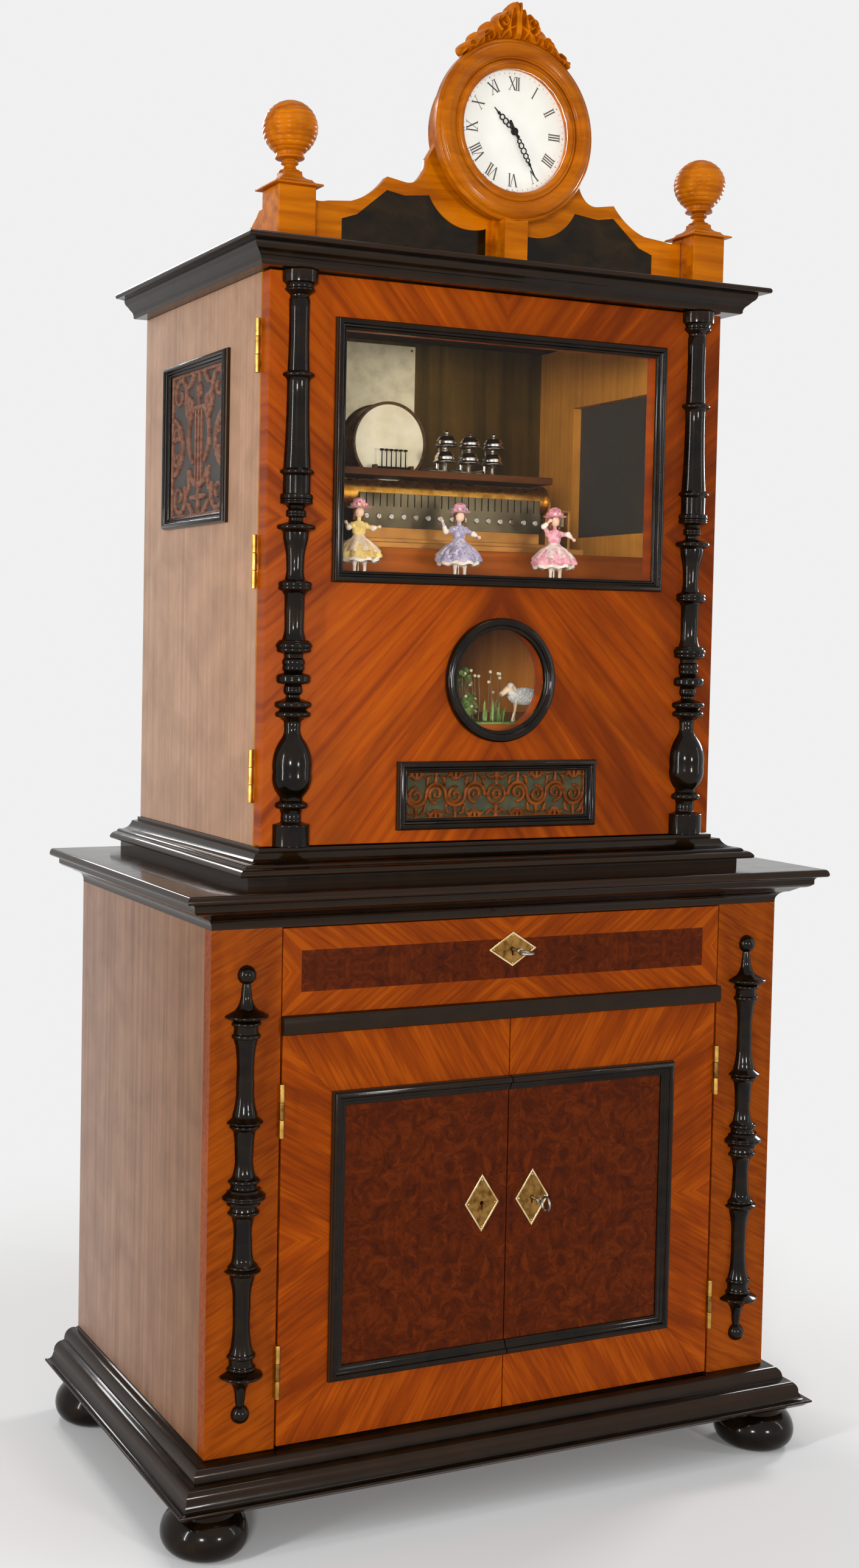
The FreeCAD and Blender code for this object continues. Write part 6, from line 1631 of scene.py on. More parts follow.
    def bells(self) -> None:
        """Sets six bells on rods in two rows, with a beater for each."""
        low, high = span("bells")
        shelf, reach = low[2], self.bell_radius
        shape, beaters = Shape("six_bells"), Shape("bell_beater_bank")
        arm_low, arm_high = span("bell_strikers")
        arbor_y, arbor_z = arm_high[1] - 2, arm_low[2] + 2
        beaters.tube([(arm_low[0], arbor_y, arbor_z), (arm_high[0], arbor_y, arbor_z)], 2)
        dome = [(14.2, 0.2), (15, 0), (15, 1.2, 0.3), (13.2, 4, -0.15), (11, 10, 0.15), (6, 13.6, 0.2),
                (2.5, 14.6), (2.5, 15.2), (0, 15.4)]
        inner = [(14.2, 0.2), (12.4, 4, -0.15), (10, 9.6, 0.15), (4, 12.6, 0.2), (0, 13)]
        for row, (y, lift) in enumerate(((low[1] + reach, 14), (high[1] - reach, 38))):
            for number in range(3):
                x, mouth = low[0] + reach + 36 * number + 18 * row, shelf + lift
                foot = [(0, shelf), (5, shelf), (4.6, shelf + 1.4), (2.1, shelf + 3, -0.2), (1.7, mouth + 8),
                        (0, mouth + 8)]
                shape.turned(foot, (x, y, 0), sides=20)
                for wall in (dome, inner):
                    shape.turned([(r, mouth + rise, *bow) for r, rise, *bow in wall], (x, y, 0), sides=48)
                jewel = 1 if (row, number) == (1, 1) else 0
                shape.ball((x, y, mouth + 18), 3.0, slot=jewel, sides=18)
                stem_y, top = y + reach + 6, mouth + 2
                beaters.tube([(x, arbor_y, arbor_z), (x, stem_y, arbor_z), (x, stem_y, top)], 1, sides=8)
                head = [(x, stem_y + out, top) for out in (-4, -3, 1)]
                beaters.tube(head, 2.2, 2.6, 1.2)
        shape.place("cabinet", "bright_metal", NICKEL, JEWEL, stands_for=["bells"])
        beaters.place("strikers", "steel", NICKEL, stands_for=["bell_strikers"])


# Figures


@dataclass(frozen=True)
class DollCloth(Finish):
    """Printed doll's cotton: thin cloth with a small sprigged print and a soft sheen."""

    colour: str
    sprig: str
    pitch: float = 4.5

    def paint(self, tree: Tree, place: object) -> None:
        """Adds the sprigs, the folds' soiling and the weave."""
        spots = add(tree, "TexVoronoi", {"Vector": place, "Scale": 1 / (self.pitch * MM)})
        cloud = add(tree, "TexNoise", {"Vector": place, "Scale": 90.0, "Detail": 4.0})
        share = add(tree, "ValToRGB", {"Fac": spots}, stops=((0.22, 1.0), (0.4, 0.0)))
        printed = add(tree, "MixRGB", {0: share, 1: self.colour, 2: self.sprig})
        soil = add(tree, "ValToRGB", {"Fac": cloud}, stops=((0.42, 0.0), (0.62, 0.85)))
        toned = add(tree, "MixRGB", {0: soil, 1: printed, 2: self.sprig})
        weave = add(tree, "TexNoise", {"Vector": place, "Scale": 2500.0})
        self.coat(tree, toned, 0.75, weave, 0.05, sheen_weight=0.4, sheen_roughness=0.4)


@dataclass(frozen=True)
class Doll:
    """One dancing doll: what it wears and how it holds each arm, as (right, up, forward) from its spindle."""

    side: str
    gown: DollCloth
    apron: DollCloth
    hat: DollCloth
    arms: tuple[Outline, Outline]
    folds: int = 9
    reach: float = 30.8

    def build(self) -> None:
        """Builds the doll on its spindle."""
        box = span(f"{self.side}_doll")
        (x, y, _), floor = box.middle, box.low[2]
        centre = np.array((x, y, floor))
        shape = Shape(f"{self.side}_dancing_doll")
        shape.turned([(0, 0), (3, 0), (3, 2), (1.6, 3), (1.6, 34), (0, 34)], (x, y, floor), slot=5, sides=20)
        for sign in (-1, 1):
            leg = [(x + 6 * sign, y - 2, floor + 38), (x + 6.5 * sign, y - 3, floor + 20),
                   (x + 7 * sign, y - 4, floor + 13), (x + 7 * sign, y - 4, floor + 4)]
            shape.tube(leg, 4.6, 4.4, 2.2, 2.0, slot=6)
            shape.tube([(x + 7 * sign, y - 2, floor + 2.6), (x + 7 * sign, y - 8, floor + 1.9)], 2.4, 1.6,
                       slot=3)
        shape.turned([(0, 47), (5.8, 47), (5.6, 50, -0.1), (8.6, 58, 0.15), (7.4, 65, 0.2), (3, 68.5, 0.2),
                      (2.6, 73), (0, 73)], centre, slot=0, sides=28, flat=0.8)
        for line in self.arms:
            self.arm(shape, [centre + (u, -w, v) for u, v, w in line])
        self.head(shape, centre)
        shape.place(f"{self.side}_doll", "doll", self.gown, self.apron, DOLL_SKIN, self.hat, DOLL_HAIR, STEEL,
                    DOLL_WHITE, stands_for=[f"{self.side}_doll"])
        for word, wave, finish, phase, rows in (
                ("petticoat", 1.6, DOLL_WHITE, 0.8, ((18, 27), (22, 27.4), (34, 21), (44, 12), (50, 5.8))),
                ("skirt", 2.6, self.gown, 0.0,
                 ((22, 29.6), (25, 30.2), (33, 25.4), (41, 17.5), (47, 9.5), (50.5, 6.2))),
                ("overskirt", 2.0, self.apron, 1.7,
                 ((30, 28.6), (36, 24), (43, 16.6), (48, 9), (51.5, 6.6)))):
            self.skirt(word, centre, rows, wave, finish, phase)

    def skirt(self, word: str, centre: Array, rows: Outline, wave: float, finish: Finish,
              phase: float) -> None:
        """Hangs one gathered layer of skirt whose folds deepen down to its hem.

        Args:
            word: which layer it is.
            centre: the foot of the spindle.
            rows: (height, radius) from the hem up.
            wave: how deep the folds are at the hem.
            finish: its cloth.
            phase: turns the folds, so that two layers differ.
        """
        turns = np.linspace(0, 2 * math.pi, 96, endpoint=False)
        first, last = rows[0][0], rows[-1][0]
        rings = []
        for height, radius, inner in [(*row, 0.0) for row in rows[::-1]] + [(*row, 0.5) for row in rows]:
            share = ((last - height) / (last - first)) ** 1.3
            folds = np.cos(self.folds * turns + phase) + 0.4 * np.sin((self.folds + 4) * turns + 2 * phase)
            reach = np.minimum(radius + wave * share * (folds - 0.4), self.reach) - inner
            drop = 1.2 * share * np.cos(self.folds * turns + phase + 0.6)
            ring = (reach * np.cos(turns), reach * np.sin(turns), height + drop)
            rings.append(np.column_stack(ring) + centre)
        shape = Shape(f"{self.side}_doll_{word}")
        shape.loft(rings, ends=False, join=True)
        thing = shape.place(f"{self.side}_doll", "doll", finish)

    def arm(self, shape: Shape, line: Sequence[Array]) -> None:
        """Puffs a sleeve at the shoulder, ruffles it at the elbow and ends it in a small hand.

        Args:
            shape: the piece that it joins.
            line: the shoulder, the elbow and the hand.
        """
        shape.ball(tuple(line[0]), 4.8, slot=0, stretch=0.9)
        shape.tube(line, 3.4, 2.4, 1.5, slot=0)
        shape.ball(tuple(line[1]), 3.9, slot=6, sides=12)
        shape.tube([line[1], (line[1] + line[2]) / 2], 3.4, 2.6, slot=6)
        shape.ball(tuple(line[2]), 2.3, slot=2, sides=12)

    def head(self, shape: Shape, centre: Array) -> None:
        """Adds the plain head, the hair and a brimmed hat with flowers.

        Args:
            shape: the piece that it joins.
            centre: the foot of the spindle.
        """
        shape.ball(tuple(centre + (0, -0.4, 79.5)), 6.2, slot=2, stretch=1.12, sides=24)
        shape.ball(tuple(centre + (0, 1.4, 80.5)), 6.9, slot=4, stretch=1.0, sides=20)
        for sign in (-1, 1):
            for drop in range(3):
                lock = centre + (sign * (6.2 + drop * 0.3), 0, 78 - drop * 3.4)
                shape.ball(tuple(lock), 2.2, slot=4, sides=10)
        brim = [(0, 85), (9, 84.6), (14.4, 85.4, 0.1), (15, 86.2, 0.4), (8, 87, -0.1), (7.6, 92, 0.15),
                (5.2, 96, 0.25), (0, 97.6, 0.1)]
        shape.turned(brim, centre, slot=3, sides=40)
        for number in range(9):
            turn = math.radians(40 * number)
            spot = centre + (9 * math.cos(turn), 9 * math.sin(turn), 88.4)
            shape.ball(tuple(spot), 2.3, slot=(1, 0, 3)[number % 3], sides=10)


@dataclass
class Figures:
    """The three dolls, the lamb among plants and the tune card."""

    lamb: Corner = (70.0, -104.0)
    leg_height: float = 23.0
    body_half: float = 20.0
    body_radius: float = 9.0
    curls: int = 130
    leaves: int = 46
    blades: int = 16
    stems: int = 9

    def build(self) -> None:
        """Builds every figure."""
        yellow = DollCloth("#e6cf86", "#cfa75a")
        cream = DollCloth("#efe2c8", "#dcb9a0")
        violet = DollCloth("#8d86b0", "#cfc9e2")
        lilac = DollCloth("#d9d3e6", "#8f86b4")
        pink = DollCloth("#cf7f98", "#eab9c6")
        white = DollCloth("#efe6e6", "#dba6b2")
        rose = DollCloth("#e3a0b2", "#a8486a")
        Doll("left", yellow, cream, rose, (((-9, 63, 0), (-16, 60, 4), (-22, 66, 8)),
                                           ((9, 63, 0), (18, 60, 3), (26, 62, 6)))).build()
        Doll("centre", violet, lilac, rose, (((-9, 63, 0), (-21, 60, 3), (-27, 73, 4)),
                                             ((9, 63, 0), (19, 58, 3), (27, 54, 5)))).build()
        Doll("right", pink, white, rose, (((-9, 63, 0), (-19, 72, 4), (-12, 80, 9)),
                                          ((9, 63, 0), (19, 63, 3), (27, 56, 5)))).build()
        self.scene()
        low, high = span("tune_card")
        card = Shape("programme_card")
        card.block(tuple(low), tuple(high), 0.3)
        for x in (low[0] + 6, high[0] - 6):
            for z in (low[2] + 6, high[2] - 6):
                card.ball((x, low[1] - 0.2, z), 1.8, slot=1, sides=12)
        card.place("cabinet", "card", CARD, BRASS, stands_for=["tune_card"])

    def scene(self) -> None:
        """Sets the lamb on a mossy mount, facing left, with plants beside it."""
        box = span("lamb_diorama")
        (x, y, _), high, ground = box.middle, box.high, box.low[2] + 2.4
        shape = Shape("lamb_among_plants")
        reach, deep = box.half[0] - 0.5, box.half[1] - 0.5
        mount = [(0, -2.4), (reach, -2.4), (reach, -1.2, 0.2), (reach - 8, -0.2, 0.1), (0, 0)]
        shape.turned(mount, (x, y, ground), slot=2, sides=60, flat=deep / reach)
        chance = np.random.default_rng(3)
        self.animal(shape, np.array((*self.lamb, ground)))
        self.leafy(shape, np.array((-6.0, -96.0, ground)), 17, 32, chance)
        self.leafy(shape, np.array((2.0, -70.0, ground)), 18, high[2] - ground - 9, chance)
        for _ in range(self.blades):
            foot = np.array((chance.uniform(16, 46), chance.uniform(-108, -84), ground))
            self.blade(shape, foot, chance.uniform(16, 34), chance)
        for _ in range(self.stems):
            foot = np.array((chance.uniform(8, 44), chance.uniform(-96, -72), ground))
            tip = foot + (chance.uniform(-6, 6), chance.uniform(-3, 3),
                          chance.uniform(34, high[2] - ground - 6))
            shape.tube([foot, (foot + tip) / 2 + (2, 0, 0), tip], 0.7, 0.6, 0.4, slot=4, sides=6)
            shape.ball(tuple(tip), 2.2, slot=3, sides=8)
        shape.place("cabinet", "painted_figure", LAMB_WOOL, LAMB_FACE, LEAF_GREEN, PETAL, STEM_BROWN,
                    stands_for=["lamb_diorama"])

    def animal(self, shape: Shape, foot: Array) -> None:
        """Builds the lamb of woolly curls, with a bare face and long thin legs.

        Args:
            shape: the piece that it joins.
            foot: the ground under its middle.
        """
        trunk = foot + (0, 0, self.leg_height + self.body_radius)
        golden = math.pi * (3 - math.sqrt(5))
        for number in range(self.curls):
            share = 1 - 2 * (number + 0.5) / self.curls
            ring, turn = math.sqrt(1 - share * share), golden * number
            curl = trunk + (self.body_half * share, self.body_radius * ring * math.cos(turn),
                            self.body_radius * ring * math.sin(turn))
            shape.ball(tuple(curl), 2.9, slot=0, sides=8)
        shape.tube([trunk + (-14, 0, 2), trunk + (-19, -1, 6), trunk + (-22, -1, 8)], 7, 6, 5, slot=0)
        shape.tube([trunk + (-19, -1, 10), trunk + (-26, -1, 8), trunk + (-35, -2, 2)], 5.0, 4.8, 3.0, slot=1)
        shape.ball(tuple(trunk + (-20, -1, 12.5)), 5.0, slot=0, sides=10)
        for sign in (-1, 1):
            ear = [trunk + (-21, 3 * sign, 12), trunk + (-19, 9 * sign, 11), trunk + (-18, 12 * sign, 7)]
            shape.tube(ear, 1.0, 2.3, 0.7, slot=1)
        for dx, dy, lean in ((-13, -4, -5), (-10, 4, -1), (11, -4, 1), (14, 4, 3)):
            hip, hoof = trunk + (dx, dy, -4), foot + (dx + lean, dy, 0)
            leg = [hip, (hip * 0.55 + hoof * 0.45) + (1, 0, 0), hoof + (0, 0, 3), hoof]
            shape.tube(leg, 3.0, 1.8, 1.5, 2.0, slot=1)
        shape.ball(tuple(trunk + (self.body_half + 2, 0, 2)), 3.2, slot=0, sides=10)

    def leafy(self, shape: Shape, foot: Array, reach: float, height: float,
              chance: np.random.Generator) -> None:
        """Grows a bush of small round leaves with a few pale flowers.

        Args:
            shape: the piece that it joins.
            foot: where it stands.
            reach: its radius.
            height: how tall it is.
            chance: gives each leaf its place.
        """
        for number in range(self.leaves):
            turn, up = chance.uniform(0, 2 * math.pi), chance.uniform(0.12, 1) * height
            out = reach * math.sqrt(chance.uniform(0.05, 1)) * math.sin(math.pi * (0.15 + 0.75 * up / height))
            middle = foot + (out * math.cos(turn), out * math.sin(turn) * 0.7, up)
            tilt = Vector((math.cos(turn), math.sin(turn), chance.uniform(0.2, 1.2))).normalized()
            side = tilt.orthogonal().normalized()
            out_of, beside, over = np.array(tilt), np.array(side), np.array(tilt.cross(side))
            size = chance.uniform(3.0, 5.2)
            rim = [beside * math.cos(t) * size + over * math.sin(t) * size * 0.8
                   for t in np.linspace(0, 2 * math.pi, 10, endpoint=False)]
            cup = out_of * size * 0.18
            shape.loft([[middle + spot * 0.3 - cup for spot in rim], [middle + spot for spot in rim],
                        [middle + spot * 0.3 - cup + out_of * 0.4 for spot in rim]], 2)
            if number % 5 == 0:
                shape.ball(tuple(middle + out_of * 2.5), 1.9, slot=3, sides=8)
            if number % 4 == 0:
                twig = [foot + (0, 0, -0.5), (foot + middle) / 2 + (0, 0, 2), middle - cup]
                shape.tube(twig, 0.8, 0.6, 0.4, slot=4, sides=6)

    @staticmethod
    def blade(shape: Shape, foot: Array, height: float, chance: np.random.Generator,
              wide: float = 1.6) -> None:
        """Grows one bent blade of grass.

        Args:
            shape: the piece that it joins.
            foot: where it stands.
            height: how tall it is.
            chance: gives it its turn and its lean.
            wide: its half width.
        """
        turn, lean = chance.uniform(0, 2 * math.pi), chance.uniform(3, 12)
        way = np.array((math.cos(turn), math.sin(turn), 0))
        side = np.array((-math.sin(turn), math.cos(turn), 0))
        rows = []
        for share in np.linspace(0, 1, 6):
            spine = foot + way * lean * share**2 + (0, 0, height * (share - 0.15 * share**3) - 0.5)
            half = wide * math.sin(math.pi * (0.12 + 0.86 * share))
            rows.append([spine - side * half, spine + way * 0.3, spine + side * half, spine - way * 0.3])
        shape.loft(rows, 2)


# Clock and gallery


class Numeral(Enum):
    """The strokes of each Roman letter: (u, v, u, v, width), a unit high."""

    I = ((0.0, 0.0, 0.0, 1.0, 0.11), (-0.12, 0.0, 0.12, 0.0, 0.04), (-0.12, 1.0, 0.12, 1.0, 0.04))
    V = ((-0.27, 1.0, 0.0, 0.0, 0.12), (0.27, 1.0, 0.0, 0.0, 0.05), (-0.38, 1.0, -0.14, 1.0, 0.04),
         (0.15, 1.0, 0.38, 1.0, 0.04))
    X = ((-0.26, 1.0, 0.26, 0.0, 0.12), (0.26, 1.0, -0.26, 0.0, 0.05), (-0.36, 0.0, -0.14, 0.0, 0.04),
         (0.14, 1.0, 0.36, 1.0, 0.04), (-0.36, 1.0, -0.14, 1.0, 0.04), (0.14, 0.0, 0.36, 0.0, 0.04))


HOURS = ("XII", "I", "II", "III", "IIII", "V", "VI", "VII", "VIII", "IX", "X", "XI")
LETTER_WIDTHS = {"I": 0.2, "V": 0.56, "X": 0.58}


def clock_plane(y: float, centre_z: float, degrees: float) -> Plane:
    """An upright plane turned clockwise about the clock's middle.

    Args:
        y: how far back it lies.
        centre_z: the height of the clock's middle.
        degrees: how far it is turned.

    Returns:
        The plane, with the origin in the clock's middle.
    """
    turn = math.radians(degrees)
    return Plane((0, y, centre_z), (math.cos(turn), 0, -math.sin(turn)), (math.sin(turn), 0, math.cos(turn)),
                 (0, -1, 0))


@dataclass(frozen=True)
class Hand:
    """One pierced hand, pointing up: its rings, the tube that it turns on and the cap over that."""

    word: str
    turn: float
    reach: float
    rings: Outline
    tube: float
    bore: float
    cap: Outline
    thickness: float = 1.2
    hub: float = 4.4

    def build(self, centre: float) -> None:
        """Saws the hand and turns it to the time.

        Args:
            centre: the height of the clock's middle.
        """
        low, high = span(f"{self.word}_hand")
        back, tail = low[1] + self.thickness, self.reach * 0.22
        (first, size), last = self.rings[0], sum(self.rings[-1])
        lines = [([(0, -tail), (0, 0)], (3.4, 2.2)), ([(0, 0), (0, first - size)], (2.4, 1.6)),
                 ([(0, last - 0.6), (0, last + 3.4), (0, last + 5), (0, self.reach)], (1.4, 3.6, 1.3, 0.6))]
        lines += [(arc((0, place), size, -90, 90), (1.2,)) for place, size in self.rings]

        def inside(u: Array, v: Array) -> Array:
            """Draws the hand, below 0 where metal is left."""
            return np.minimum(np.hypot(u, v) - self.hub, drawn(np.abs(u), v, lines))

        shape = Shape(f"{self.word}_hand_pierced")
        shape.sawn(inside, (-6, -tail - 2), (6, self.reach + 1), 0.35, clock_plane(back, centre, self.turn),
                   lambda u, v: np.full(u.shape, self.thickness))
        length = high[1] - back
        shape.turned(self.cap, (0, back, centre), Axis.Y, sides=24)
        shape.turned([(self.tube, 0), (self.tube, length), (self.bore, length), (self.bore, 0)],
                     (0, back, centre), Axis.Y, sides=32, ring=True)
        shape.place(f"{self.word}_hand", "steel", BLUED, stands_for=[f"{self.word}_hand"])


HOUR_HAND = Hand("hour", 312.5, 38.5, ((10.6, 2.7), (16.6, 3.5), (23.2, 3.3)), 2.9, 1.9,
                 ((1.9, -1.2), (2.9, 0)))
MINUTE_HAND = Hand("minute", 150.0, 59.2, ((13.0, 2.6), (18.8, 3.4), (25.6, 3.6), (32.4, 3.2), (38.0, 2.5)),
                   1.6, 0.3, ((0, -2.0), (1.8, -1.6, -0.2), (2.2, -1.2)))


@dataclass
class Clock:
    """A drum clock: turned ring and case, enamel dial, glass and pierced hands."""

    ring: Outline = ((74, 13), (74, 6), (75, 4.4, 0.2), (79, 2.2, 0.1), (84, 4.5, -0.1), (85.5, 6.2),
                     (87.5, 3.6, 0.25), (90.5, 1.6, 0.2), (93, 1.4), (94.5, 0.4), (99.5, 0.6, 0.1),
                     (104.5, 3.2, 0.12), (106, 5.5), (108.6, 6.4, 0.2), (110, 9.5, 0.2), (110, 18), (78, 18),
                     (78, 13))
    case: Outline = ((92, 17), (96, 18), (96, 54), (94, 57, -0.2), (90, 58), (0, 58), (0, 52), (84, 52),
                     (84, 17))
    works_half: float = 38.0
    letter: float = 15.5
    letter_foot: float = 50.5
    minute_track: Corner = (69.4, 71.4)

    def build(self) -> None:
        """Builds every piece of the clock."""
        box = span("clock_case")
        front, centre = box.low[1], box.middle[2]
        shape = Shape("turned_clock_case")
        shape.turned(self.ring, (0, front, centre), Axis.Y, sides=128, ring=True)
        shape.turned(self.case, (0, front, centre), Axis.Y, sides=128)
        shape.block((-self.works_half, front + 15.4, centre - 42), (self.works_half, front + 52, centre + 42))
        shape.place("cabinet", "golden_wood", RING_WOOD, stands_for=["clock_case"])
        self.dial(centre)
        dress("clock_glass", GLASS, ease=0)
        HOUR_HAND.build(centre)
        MINUTE_HAND.build(centre)

    def dial(self, centre: float) -> None:
        """Enamels the dial and paints its twelve numerals and sixty minutes.

        Args:
            centre: the height of the clock's middle.
        """
        box = span("clock_dial")
        face, back, radius, hole = box.low[1], box.high[1] - box.low[1], box.half[0], 3.2
        shape = Shape("enamel_dial")
        edge = [(hole, back), (hole, 0), (radius - 0.6, 0), (radius, 0.6, -0.2), (radius, back)]
        shape.turned(edge, (0, face, centre), Axis.Y, sides=128, ring=True)
        for number, hour in enumerate(HOURS):
            plane = clock_plane(face, centre, 30 * number)
            start = -sum(LETTER_WIDTHS[letter] for letter in hour) / 2
            for letter in hour:
                middle = start + LETTER_WIDTHS[letter] / 2
                start += LETTER_WIDTHS[letter]
                for u0, v0, u1, v1, thick in Numeral[letter].value:
                    ends = [((u + middle) * self.letter, self.letter_foot + v * self.letter)
                            for u, v in ((u0, v0), (u1, v1))]
                    self.stroke(shape, plane, *ends, thick * self.letter)
        for minute in range(60):
            plane = clock_plane(face, centre, 6 * minute)
            self.stroke(shape, plane, *((0, v) for v in self.minute_track), 1.0 if minute % 5 == 0 else 0.45)
        shape.place("cabinet", "dial_face", ENAMEL, DIAL_PAINT, stands_for=["clock_dial"])

    @staticmethod
    def stroke(shape: Shape, plane: Plane, start: Corner, end: Corner, width: float) -> None:
        """Paints one straight stroke, a tenth of a millimetre thick.

        Args:
            shape: the piece that it joins.
            plane: where it is drawn.
            start: its first point.
            end: its last one.
            width: how wide it is.
        """
        first, last = np.array(start), np.array(end)
        way = (last - first) / np.linalg.norm(last - first)
        side = np.array((-way[1], way[0])) * width / 2
        ring = np.array([first - side, last - side, last + side, first + side])
        shape.loft([plane.at(ring, 0.0), plane.at(ring, 0.12)], 1)


@dataclass
class Gallery:
    """The shaped pediment, its posts with ball finials and the clock's carved crest."""

    cap: Outline = ((0, 0), (5.4, 0), (6.5, 1.2, 0.3), (5, 2.6, 0.2), (3, 3.4), (-4, 8.4, -0.14),
                    (-12.5, 14, -0.1), (-13, 19))
    finial: Outline = ((0, 0), (12, 0), (12.4, 1.6, 0.4), (8, 4.6, -0.2), (7.4, 8, -0.1), (9.6, 9.2, 0.1),
                       (9.6, 11.4, 0.45), (7.6, 12.4), (10, 14, -0.2), (16, 15.4), (17.4, 17, 0.3),
                       (15.6, 19, 0.2))
    crest_edge: Outline = ((0, 60), (60, 74), (73, 84), (77, 93, 0.2), (64, 101, 0.1), (48, 114, 0.25),
                           (30, 129, 0.25), (14, 142, 0.25), (7, 153, 0.1), (0, 156.9, 0.15))
    post_half: float = 24.0
    post_height: float = 64.0
    post_inset: float = 30.0
    ball: float = 32.0
    ball_rings: int = 13

    def build(self) -> None:
        """Builds and dresses the whole gallery."""
        dress("pediment_board", GOLDEN, ease=2.2)
        dress("pediment_panels", PANEL_BLACK, ease=0.4)
        self.posts()
        self.crest()

    def posts(self) -> None:
        """Builds both posts with cap and ringed ball."""
        box = span("gallery_posts")
        half, y, top = self.post_half, box.middle[1], box.low[2] + self.post_height
        foot = top + self.cap[-1][1]
        rise = box.high[2] - self.ball - foot
        profile = list(self.finial)
        for step in range(self.ball_rings):
            turn = math.radians(-58 + step * 148 / self.ball_rings)
            taper = 1.0 - 0.06 * max(0.0, -math.sin(turn))
            profile.append((self.ball * math.cos(turn) * taper, rise + self.ball * math.sin(turn),
                            0.0 if step == 0 else 0.16))
        profile.append((0, rise + self.ball, 0.05))
        shape = Shape("posts_and_ball_finials")
        for sign in (-1, 1):
            x = (box.high[0] - self.post_inset) * sign
            shape.block((x - half, y - half, box.low[2]), (x + half, y + half, top), 1.2)
            shape.run(self.cap, rectangle((x - half, y - half), (x + half, y + half)), floor_plane(top),
                      closed=True, lids=True)
            shape.turned(profile, (x, y, foot))
        shape.place("cabinet", "golden_wood", GOLDEN, stands_for=["gallery_posts"])

    def crest(self) -> None:
        """Carves scrolled leaves that rise to a peak over the clock."""
        clock = span("clock_case")
        bed, outline = clock.half[0], traced(self.crest_edge)
        ridges = [(volute((61, 95), 8, -60, 400), (2.4, 1.4)), (volute((40, 108), 11, -60, 420), (3, 1.6)),
                  (volute((20, 128), 11, -70, 400), (3, 1.6)), ([(0, 108), (1, 132), (3, 153)], (7, 5, 3)),
                  (arc((-6, 92), 34, 10, 78), (2, 3.4, 1.6)), (arc((20, 74), 44, 20, 64), (2, 3.4, 1.6)),
                  (arc((44, 60), 40, 20, 60), (2, 3, 1.4)), ([(50, 99), (66, 92), (76, 91)], (2, 3, 1)),
                  ([(10, 112), (14, 120), (12, 132), (8, 146)], (2, 3, 2.4, 1.2)),
                  ([(26, 108), (30, 116)], (3, 1)), ([(48, 94), (52, 104)], (3, 1)),
                  ([(24, 132), (16, 142)], (2.4, 2))]

        def inside(u: Array, v: Array) -> Array:
            """Below 0 within the crest's outline and clear of the ring."""
            a = np.abs(u)
            edge = stroke(a, v, outline, 0.0)
            crossings = np.zeros(a.shape, int)
            for (u0, v0), (u1, v1) in zip(outline, np.roll(outline, -1, 0)):
                if v0 != v1:
                    at = u0 + (v - v0) * (u1 - u0) / (v1 - v0)
                    crossings += ((v0 <= v) != (v1 <= v)) & (at > a)
            return np.maximum(np.where(crossings % 2 == 1, -edge, edge), bed - np.hypot(u, v))

        def rise(u: Array, v: Array) -> Array:
            """Rounds the ground over and raises the scrolls on it."""
            ground = 7 + 4 * (1 - np.exp(np.minimum(inside(u, v), 0) / 3))
            gap = drawn(np.abs(u), v, ridges)
            return ground + 11 * np.exp(-(np.maximum(gap + 1.0, 0) / 2.0) ** 2)

        shape = Shape("carved_crest")
        plane = front_plane(span("crest_carving").high[1], 0, clock.middle[2])
        shape.sawn(inside, (-80, 70), (80, 159), 0.8, plane, rise)
        shape.place("cabinet", "golden_wood", GOLDEN, stands_for=["crest_carving"])


# Studio


@dataclass(frozen=True)
class StudioPaper(Finish):
    """Matt background paper that fades out between two distances from the cabinet."""

    colour: str = "#f4f4f4"
    whole: float = 700.0
    reach: float = 1500.0

    def paint(self, tree: Tree, place: object) -> None:
        """Adds the paper and its fading edge."""
        away = add(tree, "VectorMath", {0: place}, operation="LENGTH").outputs["Value"]
        share = add(tree, "MapRange", {"Value": away, "From Min": self.whole * MM,
                                       "From Max": self.reach * MM}, interpolation_type="SMOOTHSTEP")
        paper = add(tree, "BsdfDiffuse", {"Color": self.colour})
        clear = add(tree, "BsdfTransparent")
        add(tree, "OutputMaterial", {"Surface": add(tree, "MixShader", {0: share, 1: paper, 2: clear})})


class Lamp(NamedTuple):
    """A soft rectangular lamp: its place and size in metres, and its power in watts."""

    name: str
    place: Corner
    wide: float
    tall: float
    power: float


LAMPS = (Lamp("key", (-2.0, -3.1, 1.25), 0.45, 0.45, 45), Lamp("fill", (0.6, -3.4, 1.0), 0.4, 0.4, 29),
         Lamp("top", (0.3, -0.7, 3.6), 0.8, 0.8, 8), Lamp("left_strip", (-2.7, -0.9, 1.2), 0.08, 1.7, 38),
         Lamp("right_strip", (2.4, -1.7, 1.3), 0.05, 1.7, 8),
         Lamp("right_side", (2.6, 0.8, 1.5), 0.6, 0.6, 30), Lamp("back", (-0.3, 3.0, 2.6), 0.8, 0.8, 46))


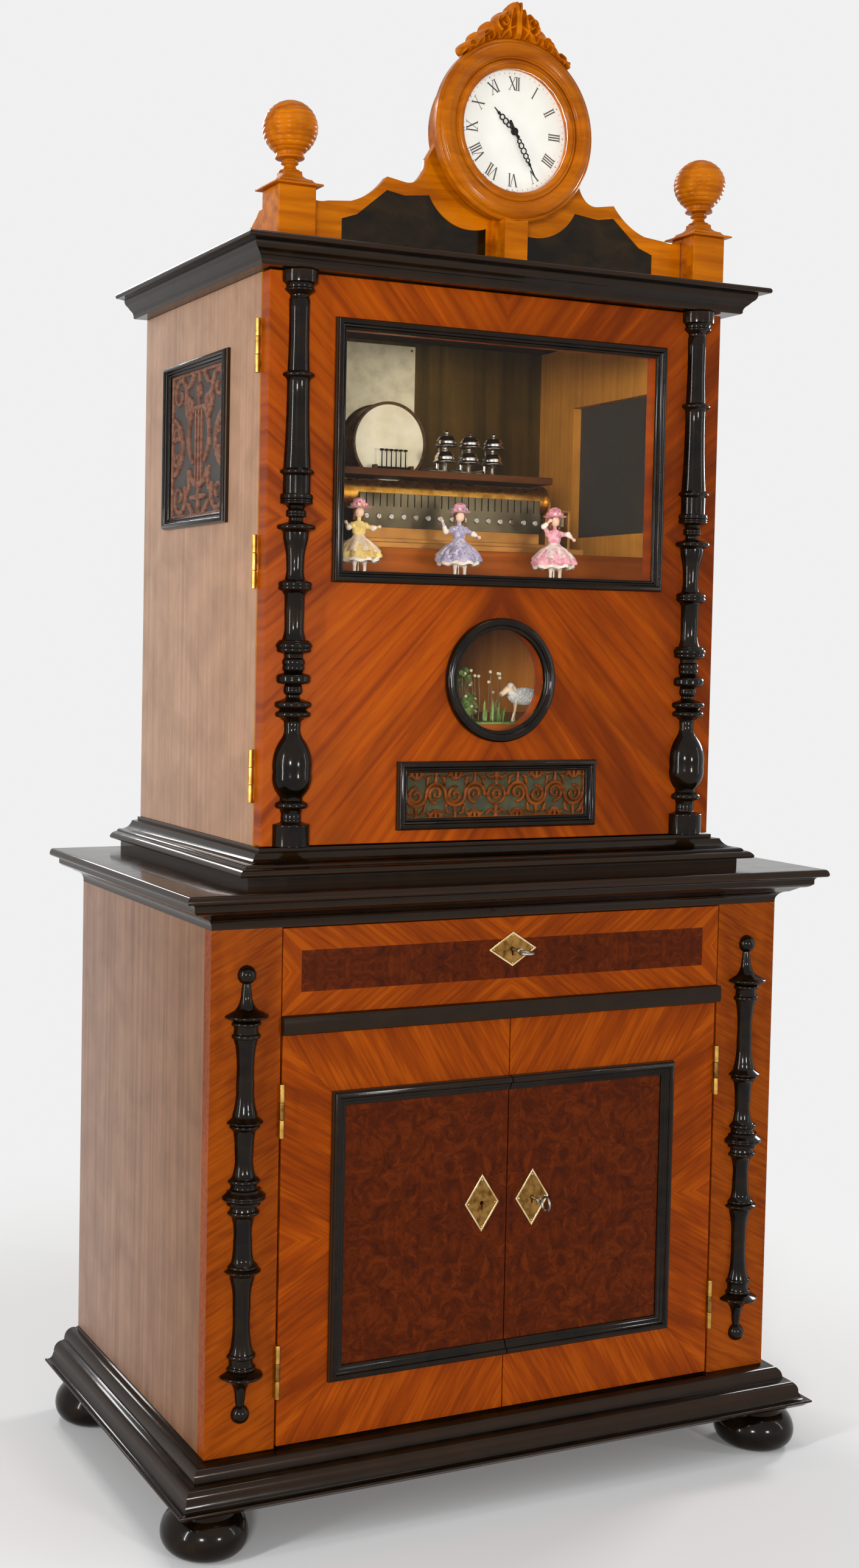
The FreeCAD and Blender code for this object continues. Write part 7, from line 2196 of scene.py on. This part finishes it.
@dataclass
class Studio:
    """The camera, the lamps, a pale floor and the plain world round them."""

    eye: Corner = (-1209.8, -2159.4, 1054.6)
    yaw: float = 24.0
    pitch: float = -2.69
    roll: float = 0.953
    lens: float = 42.85
    shift: Corner = (0.106, -0.0352)
    backdrop: str = "#f0f0f0"
    ambience: float = 0.27
    floor_radius: float = 4.0
    floor_sides: int = 64

    def build(self) -> None:
        """Sets up the view, the light and the floor."""
        self.camera()
        self.lamps()
        self.floor()
        self.world()
        bpy.context.scene.view_settings.view_transform = "Standard"

    def camera(self) -> None:
        """Places the camera as the photograph's stood."""
        yaw, pitch, roll = (math.radians(turn) for turn in (self.yaw, self.pitch, self.roll))
        ahead = Vector((math.sin(yaw) * math.cos(pitch), math.cos(yaw) * math.cos(pitch),
                        math.sin(pitch)))
        right = Vector((math.cos(yaw), -math.sin(yaw), 0))
        up = right.cross(ahead)
        across = right * math.cos(roll) + up * math.sin(roll)
        over = up * math.cos(roll) - right * math.sin(roll)
        data = bpy.data.cameras.new("photograph_view")
        data.lens = self.lens
        data.sensor_width = 36
        data.shift_x, data.shift_y = self.shift
        camera = bpy.data.objects.new("photograph_view", data)
        turned = Matrix((across, over, -ahead)).transposed().to_4x4()
        camera.matrix_world = Matrix.Translation(Vector(self.eye) * MM) @ turned
        bpy.context.collection.objects.link(camera)
        bpy.context.scene.camera = camera

    def lamps(self) -> None:
        """Hangs soft lamps round the cabinet, among them tall narrow ones for crisp lights."""
        target = Vector((0, 0, 0.95))
        for name, place, wide, tall, power in LAMPS:
            data = bpy.data.lights.new(name, "AREA")
            data.shape = "RECTANGLE"
            data.size, data.size_y = wide, tall
            data.energy = power
            lamp = bpy.data.objects.new(name, data)
            lamp.location = place
            lamp.rotation_euler = (target - lamp.location).to_track_quat("-Z", "Y").to_euler()
            bpy.context.collection.objects.link(lamp)

    def floor(self) -> None:
        """Lays a pale floor that fades into the backdrop away from the cabinet."""
        rim = [(math.cos(turn) * self.floor_radius, math.sin(turn) * self.floor_radius, 0)
               for turn in np.linspace(0, 2 * math.pi, self.floor_sides, endpoint=False)]
        mesh = bpy.data.meshes.new("floor")
        mesh.from_pydata(rim, [], [tuple(range(self.floor_sides))])
        mesh.materials.append(made(StudioPaper()))
        floor = bpy.data.objects.new("floor", mesh)
        bpy.context.collection.objects.link(floor)

    def world(self) -> None:
        """Shows the backdrop's colour, and lights the cabinet evenly at a lower level."""
        world = bpy.data.worlds.new("studio")
        bpy.context.scene.world = world
        world.use_nodes = True
        tree = world.node_tree
        tree.nodes.clear()
        path = add(tree, "LightPath")
        seen = path.outputs["Is Camera Ray"]
        for kind in ("Is Transmission Ray", "Is Glossy Ray"):
            seen = add(tree, "Math", {0: seen, 1: path.outputs[kind]}, operation="MAXIMUM")
        direct = add(tree, "Math", {0: path.outputs["Diffuse Depth"], 1: 0.5}, operation="LESS_THAN")
        seen = add(tree, "Math", {0: seen, 1: direct}, operation="MULTIPLY")
        light = add(tree, "Background", {"Color": "#ffffff", "Strength": self.ambience})
        shown = add(tree, "Background", {"Color": self.backdrop, "Strength": 1.0})
        add(tree, "OutputWorld", {"Surface": add(tree, "MixShader", {0: seen, 1: light, 2: shown})})


def main() -> None:
    """Builds every sub-assembly in order."""
    logging.basicConfig(level=logging.INFO, format="%(name)s: %(message)s")
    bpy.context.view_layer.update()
    for assembly in (Studio(), LowerCase(), Brasswork(), LowerFront(), UpperCase(), GlazedDoor(), Movement(),
                     Figures(), Clock(), Gallery()):
        LOG.info("building %s", type(assembly).__name__)
        assembly.build()


if __name__ == "__main__":
    main()
